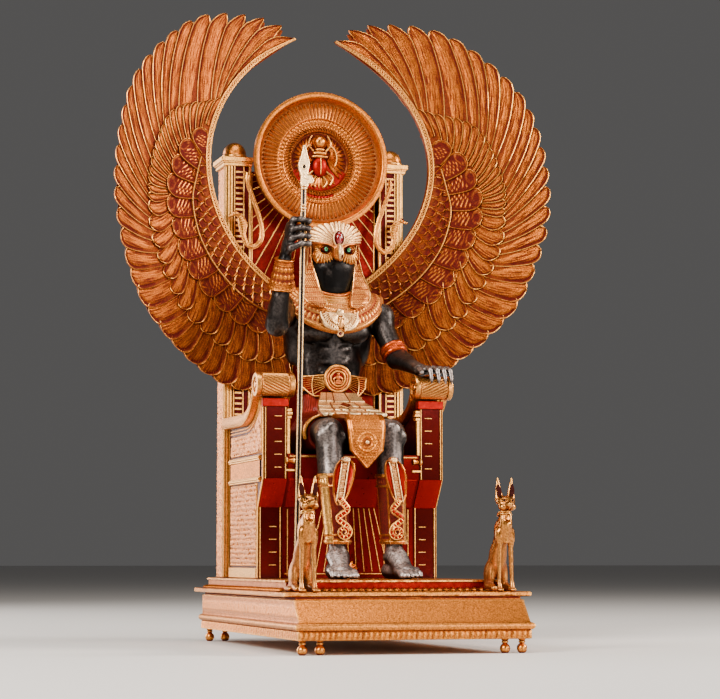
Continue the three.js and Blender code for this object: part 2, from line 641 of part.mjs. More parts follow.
// Apron: a bent plate over the lap that ends in a pointed shield between the knees
function apronPlate(extra) {
  const line = [[57, 231.5, 17], [44, 221, 23], [26, 213.6, 28], [8, 208.8, 31], [0, 207.2, 31],
    [-1.6, 206, 19], [-27, 204.6, 18.2], [-34.4, 200.4, 17.6], [-37, 193, 17.2], [-37.5, 174, 15.2],
    [-37.5, 158.5, 1.2]];
  const half = 1.4 + extra;
  const rings = line.map(([y, z, w], k) => {
    const before = line[Math.max(0, k - 1)];
    const after = line[Math.min(line.length - 1, k + 1)];
    const dy = after[0] - before[0];
    const dz = after[1] - before[1];
    const l = Math.hypot(dy, dz);
    const [ny, nz] = [dz / l, -dy / l];
    return [V(-w, y + ny * half, z + nz * half), V(w, y + ny * half, z + nz * half),
      V(w, y - ny * half, z - nz * half), V(-w, y - ny * half, z - nz * half)];
  });
  return toSolid(loft(rings));
}

function apronSolid() {
  const boss = skin([[[0, -39.5, 181], [5, 2.4, 5]]], 0, 6, 3);
  const step = boxSolid(-29, 29, 3, 7, 208, 211.2).add(boxSolid(-23, 23, 30, 34, 214.6, 218.4));
  return union([apronPlate(0), boss, step]);
}

function greaveSolid(s) {
  const shell = [
    skin([[[s * 27.5, -22, 146], [13, 15.5, 14]], [[s * 26, -36, 82], 10.6]], 0, 8, 4),
    skin([[[s * 27.7, -20, 156], [13.4, 14, 8]], [[s * 27.5, -22, 146], [13, 15.5, 14]]], 0, 8, 4),
  ];
  const tube = union(shell).intersect(boxSolid(-60, 60, -80, 10, 91, 160));
  const hoodX = s * 22.4;
  const hood = skin([[[hoodX, -40.5, 156], [9, 3.6, 8]], [[s * 26.5, -41, 136], [5, 4.6, 8]]], 0, 7, 4);
  const head = skin([[[hoodX, -42, 164], [4, 4, 3]], [[hoodX, -46, 162], [2.5, 3, 2]]], 0, 5, 3);
  const body = [[27.6, -41.6, 131], [21, -42.4, 121], [29.4, -43.6, 113.8], [21.6, -44.2, 107],
    [19.6, -44.4, 101.6], [24.2, -44.8, 96.8], [28.4, -44.8, 100]];
  const tail = toSolid(bar(body.map(([x, y, z]) => [s * x, y, z]), oval(2.3, 2.3, 4), 10));
  return union([tube, hood, head, tail]);
}

function bracerSolid() {
  const at = (t) => J.elbowR.map((v, i) => mix(v, J.wristR[i], t));
  return union([
    skin([[at(0.57), [12.4, 12.4, 3]], [at(0.7), [9.6, 9.6, 3]]], 0, 7, 3),
    skin([[at(0.7), [9.4, 9.4, 3]], [at(1), [8.4, 8.4, 2]]], 0, 7, 3),
  ]);
}

function armbandSolid() {
  const around = (t, r) => [J.shoulderL.map((v, i) => mix(v, J.elbowL[i], t)), r];
  return skin([around(0.72, 12.6), around(0.88, 12)], 0, 8, 4)
    .intersect(slopedBand());
}

// Slice across the lowered arm between two planes square to it
function slopedBand() {
  const along = V(...J.elbowL).sub(V(...J.shoulderL)).normalize();
  const centre = V(...J.shoulderL.map((v, i) => mix(v, J.elbowL[i], 0.8)));
  const slice = new THREE.BoxGeometry(60, 60, 11);
  const turn = new THREE.Quaternion().setFromUnitVectors(V(0, 0, 1), along);
  return toSolid(slice.applyQuaternion(turn).translate(...centre.toArray()));
}

function figureAndDress() {
  const seat = seatAndRolls();
  const staff = staffSolid(0);
  const staffRoom = staffSolid(GAP);
  const wingRoom = boxSolid(-60, 60, 128, 200, 200, 360);
  const figure = figureSolid(0).subtract(seat).subtract(staffRoom).subtract(wingRoom);
  const swollen = figureSolid(GAP);
  add('figure', fromSolid(largest(figure)), 'black');
  const mask = maskSolid();
  const dress = {
    mask: mask.subtract(collarSolid(GAP)),
    collar: collarSolid(0),
    belt: beltSolid(),
    apron: apronSolid(),
    kilt: kiltSolid().subtract(apronPlate(GAP)),
    greave_left: greaveSolid(-1),
    greave_right: greaveSolid(1),
    bracer: bracerSolid().subtract(staffRoom),
    armband: armbandSolid(),
  };
  for (const [name, form] of Object.entries(dress)) {
    const solid = largest(form.subtract(swollen).subtract(seat).subtract(wingRoom));
    add(name, fromSolid(solid), name === 'kilt' ? 'enamel' : 'gold');
  }
  add('staff', fromSolid(staff), 'gold');
}

// The main body where a cut has left small loose crumbs
function largest(solid) {
  return solid.decompose().sort((a, b) => b.volume() - a.volume())[0];
}

// A slim seated cat with tall ears, its paws at the origin of its own frame
function catSolid() {
  const forms = [
    [[[0, 3, 52], [8.6, 7.5, 11]], [[0, 21, 17], [8, 10, 10]]],
    [[[0, 1, 58], [6, 6, 6]], [[0, -2, 71], [4.4, 4.6, 4]]],
    [[[0, -4, 75.5], [8.6, 8, 6]], [[0, -11, 74], [4, 4, 3.4]]],
  ];
  const ears = [];
  for (const s of [-1, 1]) {
    forms.push([[[s * 5.2, 0, 50], [3.6, 4.2, 5]], [[s * 4.8, -1, 3], [2.6, 3.6, 3]]]);
    forms.push([[[s * 6.6, 22, 13], [4.6, 10, 12.6]], [[s * 7.5, 8, 2.4], [2.6, 6, 2.4]]]);
    ears.push([[[s * 5.2, -1.5, 80], [3.2, 1.6, 3]], [[s * 5.6, 0, 94.2], 0.9]]);
  }
  const whole = union([...forms.map((f) => skin(f, 0, 5, 3)), ...ears.map((f) => skin(f, 0, 4, 2))]);
  return whole.subtract(boxSolid(-30, 30, -30, 50, -10, 0));
}

function cats() {
  const cat = catSolid();
  for (const [side, s] of [['left', -1], ['right', 1]]) {
    const turn = s < 0 ? cat.mirror([1, 0, 0]) : cat;
    add(`cat_${side}`, fromSolid(turn.translate([s * CAT.x, CAT.y, CORNICE_TOP + GAP])), 'gold');
  }
}

ballFeet();
plinth();
dais();
throneSeat();
throneArms();
throneBack();
pillars();
sunDisc();
cobras();
wings();
figureAndDress();
cats();

export default group;
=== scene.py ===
import math

import bpy
import numpy as np
import openvdb as vdb
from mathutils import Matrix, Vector
from mathutils.geometry import tessellate_polygon


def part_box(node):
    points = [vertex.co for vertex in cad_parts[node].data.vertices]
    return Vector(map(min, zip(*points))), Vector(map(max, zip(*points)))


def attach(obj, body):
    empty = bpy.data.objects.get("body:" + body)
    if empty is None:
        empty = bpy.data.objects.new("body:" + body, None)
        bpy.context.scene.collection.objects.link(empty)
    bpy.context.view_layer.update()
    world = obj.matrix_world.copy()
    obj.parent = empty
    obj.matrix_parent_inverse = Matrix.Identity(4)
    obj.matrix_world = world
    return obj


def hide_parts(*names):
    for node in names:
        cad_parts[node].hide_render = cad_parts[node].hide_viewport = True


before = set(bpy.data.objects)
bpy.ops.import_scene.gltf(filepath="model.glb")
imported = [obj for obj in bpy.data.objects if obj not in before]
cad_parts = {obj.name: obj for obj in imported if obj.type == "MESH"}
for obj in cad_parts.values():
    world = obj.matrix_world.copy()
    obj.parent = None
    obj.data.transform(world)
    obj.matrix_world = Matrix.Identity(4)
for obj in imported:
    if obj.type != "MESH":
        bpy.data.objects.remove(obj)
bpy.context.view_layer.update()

# Ball feet. Eight small turned balls on short necks, in pairs near the corners of the
# plinth, cast in resin and gilded. Each has a small flat that it stands on.
MM = 0.001
# GOLD_BRIGHT is the colour of painted highlights; the colour after it is both the dark red of the washes and the
# painted shade in crevices.
GOLD = (0.5, 0.15, 0.018)
GOLD_BRIGHT = (0.95, 0.47, 0.11)
GOLD_WASH_AND_SHADE = (0.12, 0.006, 0.0015)


class Casting:
    """The surface of one piece, gathered in millimetres. gild runs from 0 in a hollow under dark
    washes to 1 on bare metal, and above 1 it lays on a painted highlight; on the black figure it sets how strongly
    painted light shows. lay holds the distances across and along a feather."""

    def __init__(self):
        self.points, self.gild, self.lay = [], [], []
        self.quads, self.quad_looks, self.tris, self.tri_looks = [], [], [], []
        self.count = 0

    def add(self, points, quads=(), tris=(), gild=1.0, lay=(0, 0, 0), look=0):
        points = np.asarray(points, float).reshape(-1, 3)
        for faces, sides, kept, looks in ((quads, 4, self.quads, self.quad_looks),
                                          (tris, 3, self.tris, self.tri_looks)):
            faces = np.asarray(faces, int).reshape(-1, sides)
            kept.append(faces + self.count)
            looks.append(np.full(len(faces), look))
        self.points.append(points)
        self.gild.append(np.broadcast_to(np.asarray(gild, float).ravel(), len(points)))
        self.lay.append(np.broadcast_to(lay, (len(points), 3)))
        self.count += len(points)

    def grid(self, points, gild=1.0, lay=(0, 0, 0), look=0, wrap=False, ends=False):
        """A sheet of rows by columns. wrap closes each row on itself, ends caps both ends."""
        rows, columns = points.shape[:2]
        i = np.arange(rows - 1)[:, None]
        j = np.arange(columns if wrap else columns - 1)[None, :]
        near, far = i * columns + j, i * columns + (j + 1) % columns
        quads = np.stack([near, far, far + columns, near + columns], -1).reshape(-1, 4)
        flat = points.reshape(-1, 3)
        tris = []
        gild = np.broadcast_to(gild, (rows, columns)).ravel()
        lay = np.broadcast_to(lay, (rows, columns, 3)).reshape(-1, 3)
        if ends:
            for row, turn in ((0, 1), (rows - 1, -1)):
                middle = len(flat)
                flat = np.vstack([flat, points[row].mean(0)])
                gild = np.append(gild, gild[row * columns])
                lay = np.vstack([lay, lay[row * columns]])
                ring = row * columns + np.arange(columns)
                fan = np.stack([np.roll(ring, -1)[::turn], ring[::turn], np.full(columns, middle)], -1)
                tris.append(fan)
        self.add(flat, quads, np.concatenate(tris) if tris else (), gild, lay, look)

    def mirror(self):
        """The other side's piece, X turned over"""
        other = Casting()
        other.count = self.count
        other.points = [p * (-1, 1, 1) for p in self.points]
        other.gild, other.lay = self.gild, self.lay
        other.quads = [q[:, ::-1] for q in self.quads]
        other.tris = [t[:, ::-1] for t in self.tris]
        other.quad_looks, other.tri_looks = self.quad_looks, self.tri_looks
        return other

    def build(self, name, materials, slot, nodes=(), crease=38):
        """Makes the piece, lets it ride and stand for its solids"""
        points = np.concatenate(self.points) * MM
        quads, tris = np.concatenate(self.quads), np.concatenate(self.tris)
        corners = np.concatenate([quads.ravel(), tris.ravel()])
        starts = np.concatenate([np.arange(len(quads)) * 4, len(quads) * 4 + np.arange(len(tris)) * 3])
        mesh = bpy.data.meshes.new(name)
        mesh.vertices.add(len(points))
        mesh.vertices.foreach_set("co", points.astype(np.float32).ravel())
        mesh.loops.add(len(corners))
        mesh.loops.foreach_set("vertex_index", corners.astype(np.int32))
        mesh.polygons.add(len(starts))
        mesh.polygons.foreach_set("loop_start", starts.astype(np.int32))
        looks = np.concatenate(self.quad_looks + self.tri_looks)
        mesh.polygons.foreach_set("material_index", looks.astype(np.int32))
        mesh.update(calc_edges=True)
        gilding = mesh.attributes.new("gild", "FLOAT", "POINT")
        gilding.data.foreach_set("value", np.concatenate(self.gild).astype(np.float32))
        laid = mesh.attributes.new("lay", "FLOAT_VECTOR", "POINT")
        laid.data.foreach_set("vector", np.concatenate(self.lay).astype(np.float32).ravel())
        mesh.validate()
        mesh.polygons.foreach_set("use_smooth", np.ones(len(mesh.polygons), bool))
        mesh.set_sharp_from_angle(angle=math.radians(crease))
        for material in materials:
            mesh.materials.append(material)
        piece = bpy.data.objects.new(name, mesh)
        bpy.context.scene.collection.objects.link(piece)
        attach(piece, "root")
        if nodes:
            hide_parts(*nodes)
        return piece


def turned(casting, profile, centre, sides=32, axis=2, gild=1.0, look=0, wave=None):
    """A lathe shape: profile holds (radius, place along the axis)"""
    profile = np.asarray(profile, float)
    around = np.linspace(0, 2 * np.pi, sides, endpoint=False)
    radius = np.repeat(profile[:, :1], sides, 1)
    if wave is not None:
        radius = radius + wave(around[None, :], profile[:, 1:2])
    rows = np.zeros((len(profile), sides, 3))
    one, two = [k for k in range(3) if k != axis]
    if axis == 1:
        one, two = two, one
    rows[..., one] = radius * np.cos(around)
    rows[..., two] = radius * np.sin(around)
    rows[..., axis] = profile[:, 1:2]
    casting.grid(rows + np.asarray(centre, float), gild=gild, look=look, wrap=True, ends=True)


def node_in(tree, kind, **values):
    """A shader node with its settings, whose sockets take values or links"""
    node = tree.nodes.new(kind)
    for key, value in values.items():
        if key in node.inputs:
            socket = node.inputs[key]
        elif key.startswith("in"):
            socket = node.inputs[int(key[2:])]
        else:
            setattr(node, key, value)
            continue
        if isinstance(value, bpy.types.NodeSocket):
            tree.links.new(value, socket)
        else:
            socket.default_value = value
    return node


def shader_group(name, inputs, outputs):
    """An empty node group with named sockets, and its two end nodes"""
    group = bpy.data.node_groups.new(name, "ShaderNodeTree")
    for label, kind, value in inputs:
        socket = group.interface.new_socket(label, in_out="INPUT", socket_type=kind)
        socket.default_value = value
    for label, kind in outputs:
        group.interface.new_socket(label, in_out="OUTPUT", socket_type=kind)
    return group, group.nodes.new("NodeGroupInput"), group.nodes.new("NodeGroupOutput")


def gilding_group():
    """Bare metal on what stands proud and dark-red washes in what lies deep, wearing through in patches; painted shade
    from ambient occlusion darkens every crevice to the same dark red, and painted highlights brighten sharp ridges and
    wherever gild is above 1
    """
    group, given, made = shader_group("gilding", [
        ("Metal", "NodeSocketColor", (*GOLD, 1)), ("Wash and shade", "NodeSocketColor", (*GOLD_WASH_AND_SHADE, 1)),
        ("Bright", "NodeSocketColor", (*GOLD_BRIGHT, 1)),
        ("Cover", "NodeSocketFloat", 0.75), ("Crevice mm", "NodeSocketFloat", 3.0),
        ("Rough", "NodeSocketFloat", 0.3), ("Cut", "NodeSocketFloat", 0.0)],
        [("Color", "NodeSocketColor"), ("Roughness", "NodeSocketFloat"),
         ("Metallic", "NodeSocketFloat"), ("Gilt", "NodeSocketFloat")])
    gild = node_in(group, "ShaderNodeAttribute", attribute_name="gild").outputs["Fac"]
    reach = node_in(group, "ShaderNodeMath", operation="MULTIPLY", in0=given.outputs["Crevice mm"], in1=MM)
    # Ambient occlusion within Crevice mm darkens the gilt toward the dark colour: painted shade in crevices.
    open_air = node_in(group, "ShaderNodeAmbientOcclusion", samples=4, only_local=False,
                       Distance=reach.outputs[0]).outputs["AO"]
    place = node_in(group, "ShaderNodeTexCoord").outputs["Object"]
    blotch = node_in(group, "ShaderNodeTexNoise", Vector=place, Scale=90.0, Detail=5.0).outputs["Fac"]
    speck = node_in(group, "ShaderNodeTexNoise", Vector=place, Scale=900.0, Detail=2.0).outputs["Fac"]
    ridge = node_in(group, "ShaderNodeNewGeometry").outputs["Pointiness"]
    unoccluded = node_in(group, "ShaderNodeMapRange", in0=open_air, in1=0.25, in2=0.85, in3=0.0, in4=1.0)
    unoccluded.interpolation_type = "SMOOTHSTEP"
    kept = node_in(group, "ShaderNodeMath", operation="MULTIPLY", in0=gild, in1=unoccluded.outputs[0])
    mottle = node_in(group, "ShaderNodeMath", operation="MULTIPLY_ADD", in0=blotch, in1=0.5, in2=-0.22)
    uneven = node_in(group, "ShaderNodeMath", operation="SUBTRACT", in0=mottle.outputs[0],
                     in1=given.outputs["Cut"])
    worn_and_shaded = node_in(group, "ShaderNodeMath", operation="ADD", in0=kept.outputs[0], in1=uneven.outputs[0])
    # Sharp ridges, found by pointiness, lift the gilt toward bare metal: painted highlight.
    edge = node_in(group, "ShaderNodeMapRange", in0=ridge, in1=0.5, in2=0.58, in3=0.0, in4=0.35)
    lifted = node_in(group, "ShaderNodeMath", operation="ADD", in0=worn_and_shaded.outputs[0], in1=edge.outputs[0])
    gilt = node_in(group, "ShaderNodeMapRange", in0=lifted.outputs[0], in1=0.12,
                   in2=given.outputs["Cover"], in3=0.0, in4=1.0)
    tone = node_in(group, "ShaderNodeMix", data_type="RGBA", in0=gilt.outputs[0],
                   in6=given.outputs["Wash and shade"], in7=given.outputs["Metal"])
    # Sharp ridges and gild above 1 are mixed toward the Bright colour: painted highlights.
    ridge_highlight = node_in(group, "ShaderNodeMapRange", in0=ridge, in1=0.508, in2=0.59, in3=0.0, in4=0.8)
    gild_highlight = node_in(group, "ShaderNodeMapRange", in0=gild, in1=1.0, in2=1.35, in3=0.0, in4=1.0)
    painted_highlight = node_in(group, "ShaderNodeMath", operation="MAXIMUM", in0=ridge_highlight.outputs[0], in1=gild_highlight.outputs[0])
    shine = node_in(group, "ShaderNodeMath", operation="MULTIPLY", in0=painted_highlight.outputs[0], in1=gilt.outputs[0])
    lit = node_in(group, "ShaderNodeMix", data_type="RGBA", in0=shine.outputs[0], in6=tone.outputs[2],
                  in7=given.outputs["Bright"])
    dusk = node_in(group, "ShaderNodeMapRange", in0=speck, in1=0.3, in2=0.7, in3=0.45, in4=1.4)
    shade = node_in(group, "ShaderNodeVectorMath", operation="SCALE", in0=lit.outputs[2], Scale=dusk.outputs[0])
    group.links.new(shade.outputs[0], made.inputs["Color"])
    spread = node_in(group, "ShaderNodeMapRange", in0=gilt.outputs[0], in1=0.0, in2=1.0, in3=0.5, in4=0.0)
    rough = node_in(group, "ShaderNodeMath", operation="MULTIPLY_ADD", in0=blotch, in1=0.18,
                    in2=given.outputs["Rough"])
    rougher = node_in(group, "ShaderNodeMath", operation="ADD", in0=rough.outputs[0], in1=spread.outputs[0])
    group.links.new(rougher.outputs[0], made.inputs["Roughness"])
    metal = node_in(group, "ShaderNodeMapRange", in0=gilt.outputs[0], in1=0.0, in2=0.6, in3=0.72, in4=1.0)
    group.links.new(metal.outputs[0], made.inputs["Metallic"])
    group.links.new(gilt.outputs[0], made.inputs["Gilt"])
    return group


GILDING = gilding_group()


def gilt_metal(name, metal=GOLD, wash_and_shade=GOLD_WASH_AND_SHADE, cover=0.75, crevice=3.0, rough=0.25, grain=0.25,
               grain_scale=700.0, coat=0.0, bright=GOLD_BRIGHT):
    """Cast metal or resin under gold paint, with a fine cast grain"""
    material = bpy.data.materials.new(name)
    material.use_nodes = True
    tree = material.node_tree
    shader = tree.nodes["Principled BSDF"]
    gilding = node_in(tree, "ShaderNodeGroup", node_tree=GILDING)
    for label, value in (("Metal", (*metal, 1)), ("Wash and shade", (*wash_and_shade, 1)), ("Bright", (*bright, 1)), ("Cover", cover),
                         ("Crevice mm", crevice), ("Rough", rough)):
        gilding.inputs[label].default_value = value
    for label, socket in (("Color", "Base Color"), ("Roughness", "Roughness"), ("Metallic", "Metallic")):
        tree.links.new(gilding.outputs[label], shader.inputs[socket])
    shader.inputs["Coat Weight"].default_value = coat
    place = node_in(tree, "ShaderNodeTexCoord").outputs["Object"]
    cast = node_in(tree, "ShaderNodeTexNoise", Vector=place, Scale=grain_scale, Detail=3.0)
    bump = node_in(tree, "ShaderNodeBump", Strength=grain, Distance=0.0004, Height=cast.outputs["Fac"])
    tree.links.new(bump.outputs[0], shader.inputs["Normal"])
    return material


gold = gilt_metal("antique_gold")
smooth_gold = gilt_metal("smooth_gold", cover=0.6, crevice=5.0, rough=0.22, grain=0.08)

FOOT_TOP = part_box("foot_front_left_outer")[1].z / MM
for node in sorted(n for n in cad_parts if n.startswith("foot_")):
    low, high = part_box(node)
    x, y = (low.x + high.x) / 2 / MM, (low.y + high.y) / 2 / MM
    foot = Casting()
    ball_r, ball_z = 4.4, 4.0
    flat = [(2.6, 0)] + [(ball_r * math.cos(a), ball_z + ball_r * math.sin(a))
                         for a in np.linspace(-1.02, 1.0, 9)]
    neck = [(2.0, 8.4), (2.9, 9.0), (2.9, 9.8), (2.2, 10.2), (3.4, FOOT_TOP)]
    turned(foot, flat + neck, (x, y, 0), sides=28)
    foot.build(f"ball_{node}", [smooth_gold], "gold", [node])

# Plinth. One cast block: a plain raked front, carved bands along the sides and back, a
# torus bead, a fascia of slanted gadroons below, and a thin cornice plate on top.


def pebbled(u, z, size=1.0):
    """Low hammered relief, from -1 to 1"""
    u, z = u / size, z / size
    return np.sin(2.7 * u + 1.3 * np.sin(1.9 * z)) * np.sin(2.9 * z + 1.7 * np.sin(1.1 * u))


def moulding(casting, levels, pitch, relief, step=1.35, looks=None):
    """A block of stacked rectangles (z, half width, front, back), its four sides carved.
    relief gives height and gild from side (0 front, 1 right, 2 back, 3 left), u and z."""
    rows = [levels[0]]
    for low, high in zip(levels, levels[1:]):
        parts = max(1, math.ceil(max(abs(h - l) for l, h in zip(low, high)) / step))
        rows += [tuple(l + (h - l) * k / parts for l, h in zip(low, high)) for k in range(1, parts + 1)]
    rows = np.array(rows)
    z, half, front, back = rows.T
    corners = np.stack([np.stack(c, -1) for c in
                        ((-half, front), (half, front), (half, back), (-half, back))])
    normals = np.array([(0, -1), (1, 0), (0, 1), (-1, 0)], float)
    points, gilds, sides = [], [], []
    for side in range(4):
        start, end = corners[side], corners[(side + 1) % 4]
        length = np.linalg.norm(end - start, axis=1)
        n = max(4, round(length.max() / pitch))
        t = np.arange(n) / n
        line = start[:, None] + (end - start)[:, None] * t[None, :, None]
        u = (t[None, :] - 0.5) * length[:, None]
        height, gild = relief(side, u, np.repeat(z[:, None], n, 1), length[:, None] / 2)
        height = np.where(t[None, :] == 0, 0, height)
        line = line + normals[side] * height[..., None]
        points.append(np.concatenate([line, np.repeat(z[:, None, None], n, 1)], -1))
        gilds.append(np.broadcast_to(gild, height.shape))
        sides.append(np.full(n, side))
    points, gilds = np.concatenate(points, 1), np.concatenate(gilds, 1)
    casting.grid(points, gild=gilds, wrap=True, ends=True)
    if looks:
        side_of = np.tile(np.concatenate(sides), len(rows) - 1)
        middle_z = np.repeat((z[1:] + z[:-1]) / 2, points.shape[1])
        casting.quad_looks[-1] = looks(side_of, middle_z)


BASE_LOW, BASE_HIGH = (np.array(v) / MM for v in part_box("plinth"))
DAIS_LOW, DAIS_HIGH = (np.array(v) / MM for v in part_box("dais"))
BASE_W, BASE_FRONT, BASE_BACK, CORNICE_W = 100.4, -182.5, 184.5, BASE_HIGH[0]
CORNICE_TOP, CORNICE_FRONT = BASE_HIGH[2], -163.1
RAKE = 17
FASCIA, BEAD, BAND, FLUTE = (12.2, 19.4), (19.8, 26), (26, 30), (30.4, 39.8)
GADROON, FLUTE_PITCH = 6.4, 5.0


def plinth_relief(side, u, z, half):
    inside = np.clip((half - np.abs(u)) / 2, 0, 1)
    height, gild = np.zeros_like(z), np.ones_like(z)

    def band(low, high):
        return (z > low) & (z < high)
    lobe = np.abs(np.sin(np.pi * (u + 0.45 * z) / GADROON))
    rough = pebbled(u, z, 1.5)
    if side == 0:
        leaf = np.abs(np.sin(np.pi * u / 4.6)) * np.sin(np.pi * (z - FASCIA[0]) / (FASCIA[1] - FASCIA[0]))
        height = np.where(band(*FASCIA), 1.0 * leaf - 0.4, height)
        gild = np.where(band(*FASCIA), 0.25 + 0.6 * leaf, gild)
    else:
        # Gadroon crests reach gild 1.1 and reed crests 1.05: a faint painted highlight.
        height = np.where(band(*FASCIA), 1.5 * lobe - 0.7, height)
        gild = np.where(band(*FASCIA), 0.2 + 0.9 * lobe, gild)
        height = np.where(band(*BEAD) | band(*BAND) | band(40, 44.4), 0.35 * rough, height)
        gild = np.where(band(*BEAD) | band(*BAND) | band(40, 44.4), 0.55 + 0.4 * rough, gild)
        reed = np.abs(np.sin(np.pi * u / FLUTE_PITCH)) ** 0.6
        height = np.where(band(*FLUTE), 1.1 * reed - 0.6, height)
        gild = np.where(band(*FLUTE), 0.1 + 0.95 * reed, gild)
    gild = np.where(band(44.9, 46.9), 0.0, gild)
    edge = z > 47.2
    height = np.where(edge, 0.22 * pebbled(u, z, 1.2), height)
    return height * inside, gild


plinth = Casting()
body_w, bead_r, rake_top = BASE_W - 0.6, 3.6, BASE_FRONT + RAKE
levels = [(12, BASE_W - 1, BASE_FRONT + 1, BASE_BACK - 1), (12.4, BASE_W, BASE_FRONT, BASE_BACK),
          (19.2, BASE_W, BASE_FRONT, BASE_BACK), (19.6, BASE_W - 0.6, BASE_FRONT + 0.6, BASE_BACK - 0.6)]
for a in np.linspace(-1.45, 1.45, 9):
    bulge = bead_r * math.cos(a)
    levels.append((22.8 + 3.0 * math.sin(a), body_w + bulge, BASE_FRONT - 0.6 * bulge + 0.4, BASE_BACK - 0.2))
levels += [(26.4, body_w, BASE_FRONT + 1, BASE_BACK - 2), (30, body_w, BASE_FRONT + 4.5, BASE_BACK - 2),
           (40, body_w, rake_top - 3, BASE_BACK - 2), (44.2, body_w, rake_top, BASE_BACK - 2),
           (44.6, body_w - 2, rake_top + 2.5, BASE_BACK - 4), (46.6, body_w - 2, rake_top + 2.5, BASE_BACK - 4),
           (46.9, CORNICE_W - 1.2, CORNICE_FRONT + 1.2, BASE_BACK - 1.5),
           (47.7, CORNICE_W - 0.2, CORNICE_FRONT + 0.2, BASE_BACK - 0.7),
           (50.1, CORNICE_W - 0.2, CORNICE_FRONT + 0.2, BASE_BACK - 0.7),
           (CORNICE_TOP, CORNICE_W - 0.9, CORNICE_FRONT + 1, BASE_BACK - 1.4)]
moulding(plinth, levels, 1.45, plinth_relief)


def leaf(casting, root, along, across, up, long, wide, rise, gild=1.0, rows=6, columns=5, look=0):
    """A small pointed leaf with a raised middle rib, closed underneath"""
    root, along, across, up = (np.asarray(v, float) for v in (root, along, across, up))
    s = np.linspace(0, 1, rows)[:, None]
    v = np.linspace(-1, 1, columns)[None, :]
    width = wide / 2 * (np.sin(np.pi * (0.16 + 0.84 * s)) ** 0.75 + 0.02)
    height = rise * (1 - v ** 2) * (0.5 + 0.5 * np.sin(np.pi * (0.25 + 0.75 * s))) * (0.35 + 0.65 * (1 - np.abs(v)))
    top = root + along * (long * s)[..., None] + across * (width * v)[..., None] + up * (height + 0.25)[..., None]
    under = root + along * (long * s)[..., None] + across * (width * np.array([[0.9, -0.9]]))[..., None] - up * 0.2
    shade = np.concatenate([gild * (0.35 + 0.65 * (1 - np.abs(v) ** 2)) * np.ones_like(s), np.full((rows, 2), 0.2)], 1)
    casting.grid(np.concatenate([top, under], 1), gild=shade, look=look, wrap=True, ends=True)


LEAF_PITCH = 6.3
leaves_z = CORNICE_TOP
for side, (start, end, out) in enumerate((
        ((DAIS_LOW[0], DAIS_LOW[1]), (DAIS_HIGH[0], DAIS_LOW[1]), (0, -1)),
        ((DAIS_HIGH[0], DAIS_LOW[1]), (DAIS_HIGH[0], DAIS_HIGH[1]), (1, 0)),
        ((DAIS_HIGH[0], DAIS_HIGH[1]), (DAIS_LOW[0], DAIS_HIGH[1]), (0, 1)),
        ((DAIS_LOW[0], DAIS_HIGH[1]), (DAIS_LOW[0], DAIS_LOW[1]), (-1, 0)))):
    start, end = np.array(start), np.array(end)
    run = np.linalg.norm(end - start)
    way = (end - start) / run
    slant = 0.55 if side in (1, 3) else 0.0
    for k in range(int(run / LEAF_PITCH)):
        at = start + way * (k + 0.5) * LEAF_PITCH
        heading = np.array(out) * math.cos(slant) + way * math.sin(slant) * (1 if side == 3 else -1)
        across = np.array([-heading[1], heading[0]])
        root = (*(at - heading * 0.4), leaves_z + 1.7)
        length = 6.4 if side in (1, 3) else 5.2
        leaf(plinth, root, (*heading * 0.98, -0.2), (*across, 0), (0, 0, 1), length, LEAF_PITCH * 0.98, 1.5)
brushed_gold = gilt_metal("brushed_gold", cover=0.55, rough=0.3, grain=0.5, grain_scale=420.0)
plinth.build("plinth_block", [brushed_gold], "gold", ["plinth"])

# Dais. A low step on the plinth that carries the throne: hammered gold sides and lip, and
# a long panel of red enamel across its front.
ENAMEL_RED = (0.15, 0.002, 0.0004)


def enamel(name, color, rough=0.36, coat=0.02):
    """Glossy enamel with a slow drift of depth and fine flecks, darkened in its hollows by painted shade from ambient
    occlusion
    """
    material = bpy.data.materials.new(name)
    material.use_nodes = True
    tree = material.node_tree
    shader = tree.nodes["Principled BSDF"]
    place = node_in(tree, "ShaderNodeTexCoord").outputs["Object"]
    drift = node_in(tree, "ShaderNodeTexNoise", Vector=place, Scale=28.0, Detail=4.0).outputs["Fac"]
    deep = tuple(c * 0.42 for c in color)
    tone = node_in(tree, "ShaderNodeMix", data_type="RGBA", in0=drift, in6=(*deep, 1),
                   in7=(*[min(1, c * 1.35) for c in color], 1))
    # Ambient occlusion within 6 mm darkens the base colour: painted shade in hollows.
    open_air = node_in(tree, "ShaderNodeAmbientOcclusion", samples=4, in0=tone.outputs[2], Distance=6 * MM)
    tree.links.new(open_air.outputs["Color"], shader.inputs["Base Color"])
    fleck = node_in(tree, "ShaderNodeTexNoise", Vector=place, Scale=380.0, Detail=4.0).outputs["Fac"]
    gloss = node_in(tree, "ShaderNodeMapRange", in0=fleck, in1=0.3, in2=0.75, in3=rough * 0.7, in4=rough * 1.7)
    tree.links.new(gloss.outputs[0], shader.inputs["Roughness"])
    bump = node_in(tree, "ShaderNodeBump", Strength=0.12, Distance=0.0004, Height=fleck)
    tree.links.new(bump.outputs[0], shader.inputs["Normal"])
    shader.inputs["Metallic"].default_value = 0.75
    shader.inputs["Coat Weight"].default_value = coat
    shader.inputs["Specular IOR Level"].default_value = 0.12
    shader.inputs["Coat Roughness"].default_value = 0.12
    return material


red_enamel = enamel("red_enamel", ENAMEL_RED)
bright_enamel = enamel("bright_enamel", (0.3, 0.004, 0.0004))
dark_enamel = enamel("dark_enamel", (0.07, 0.0015, 0.001))


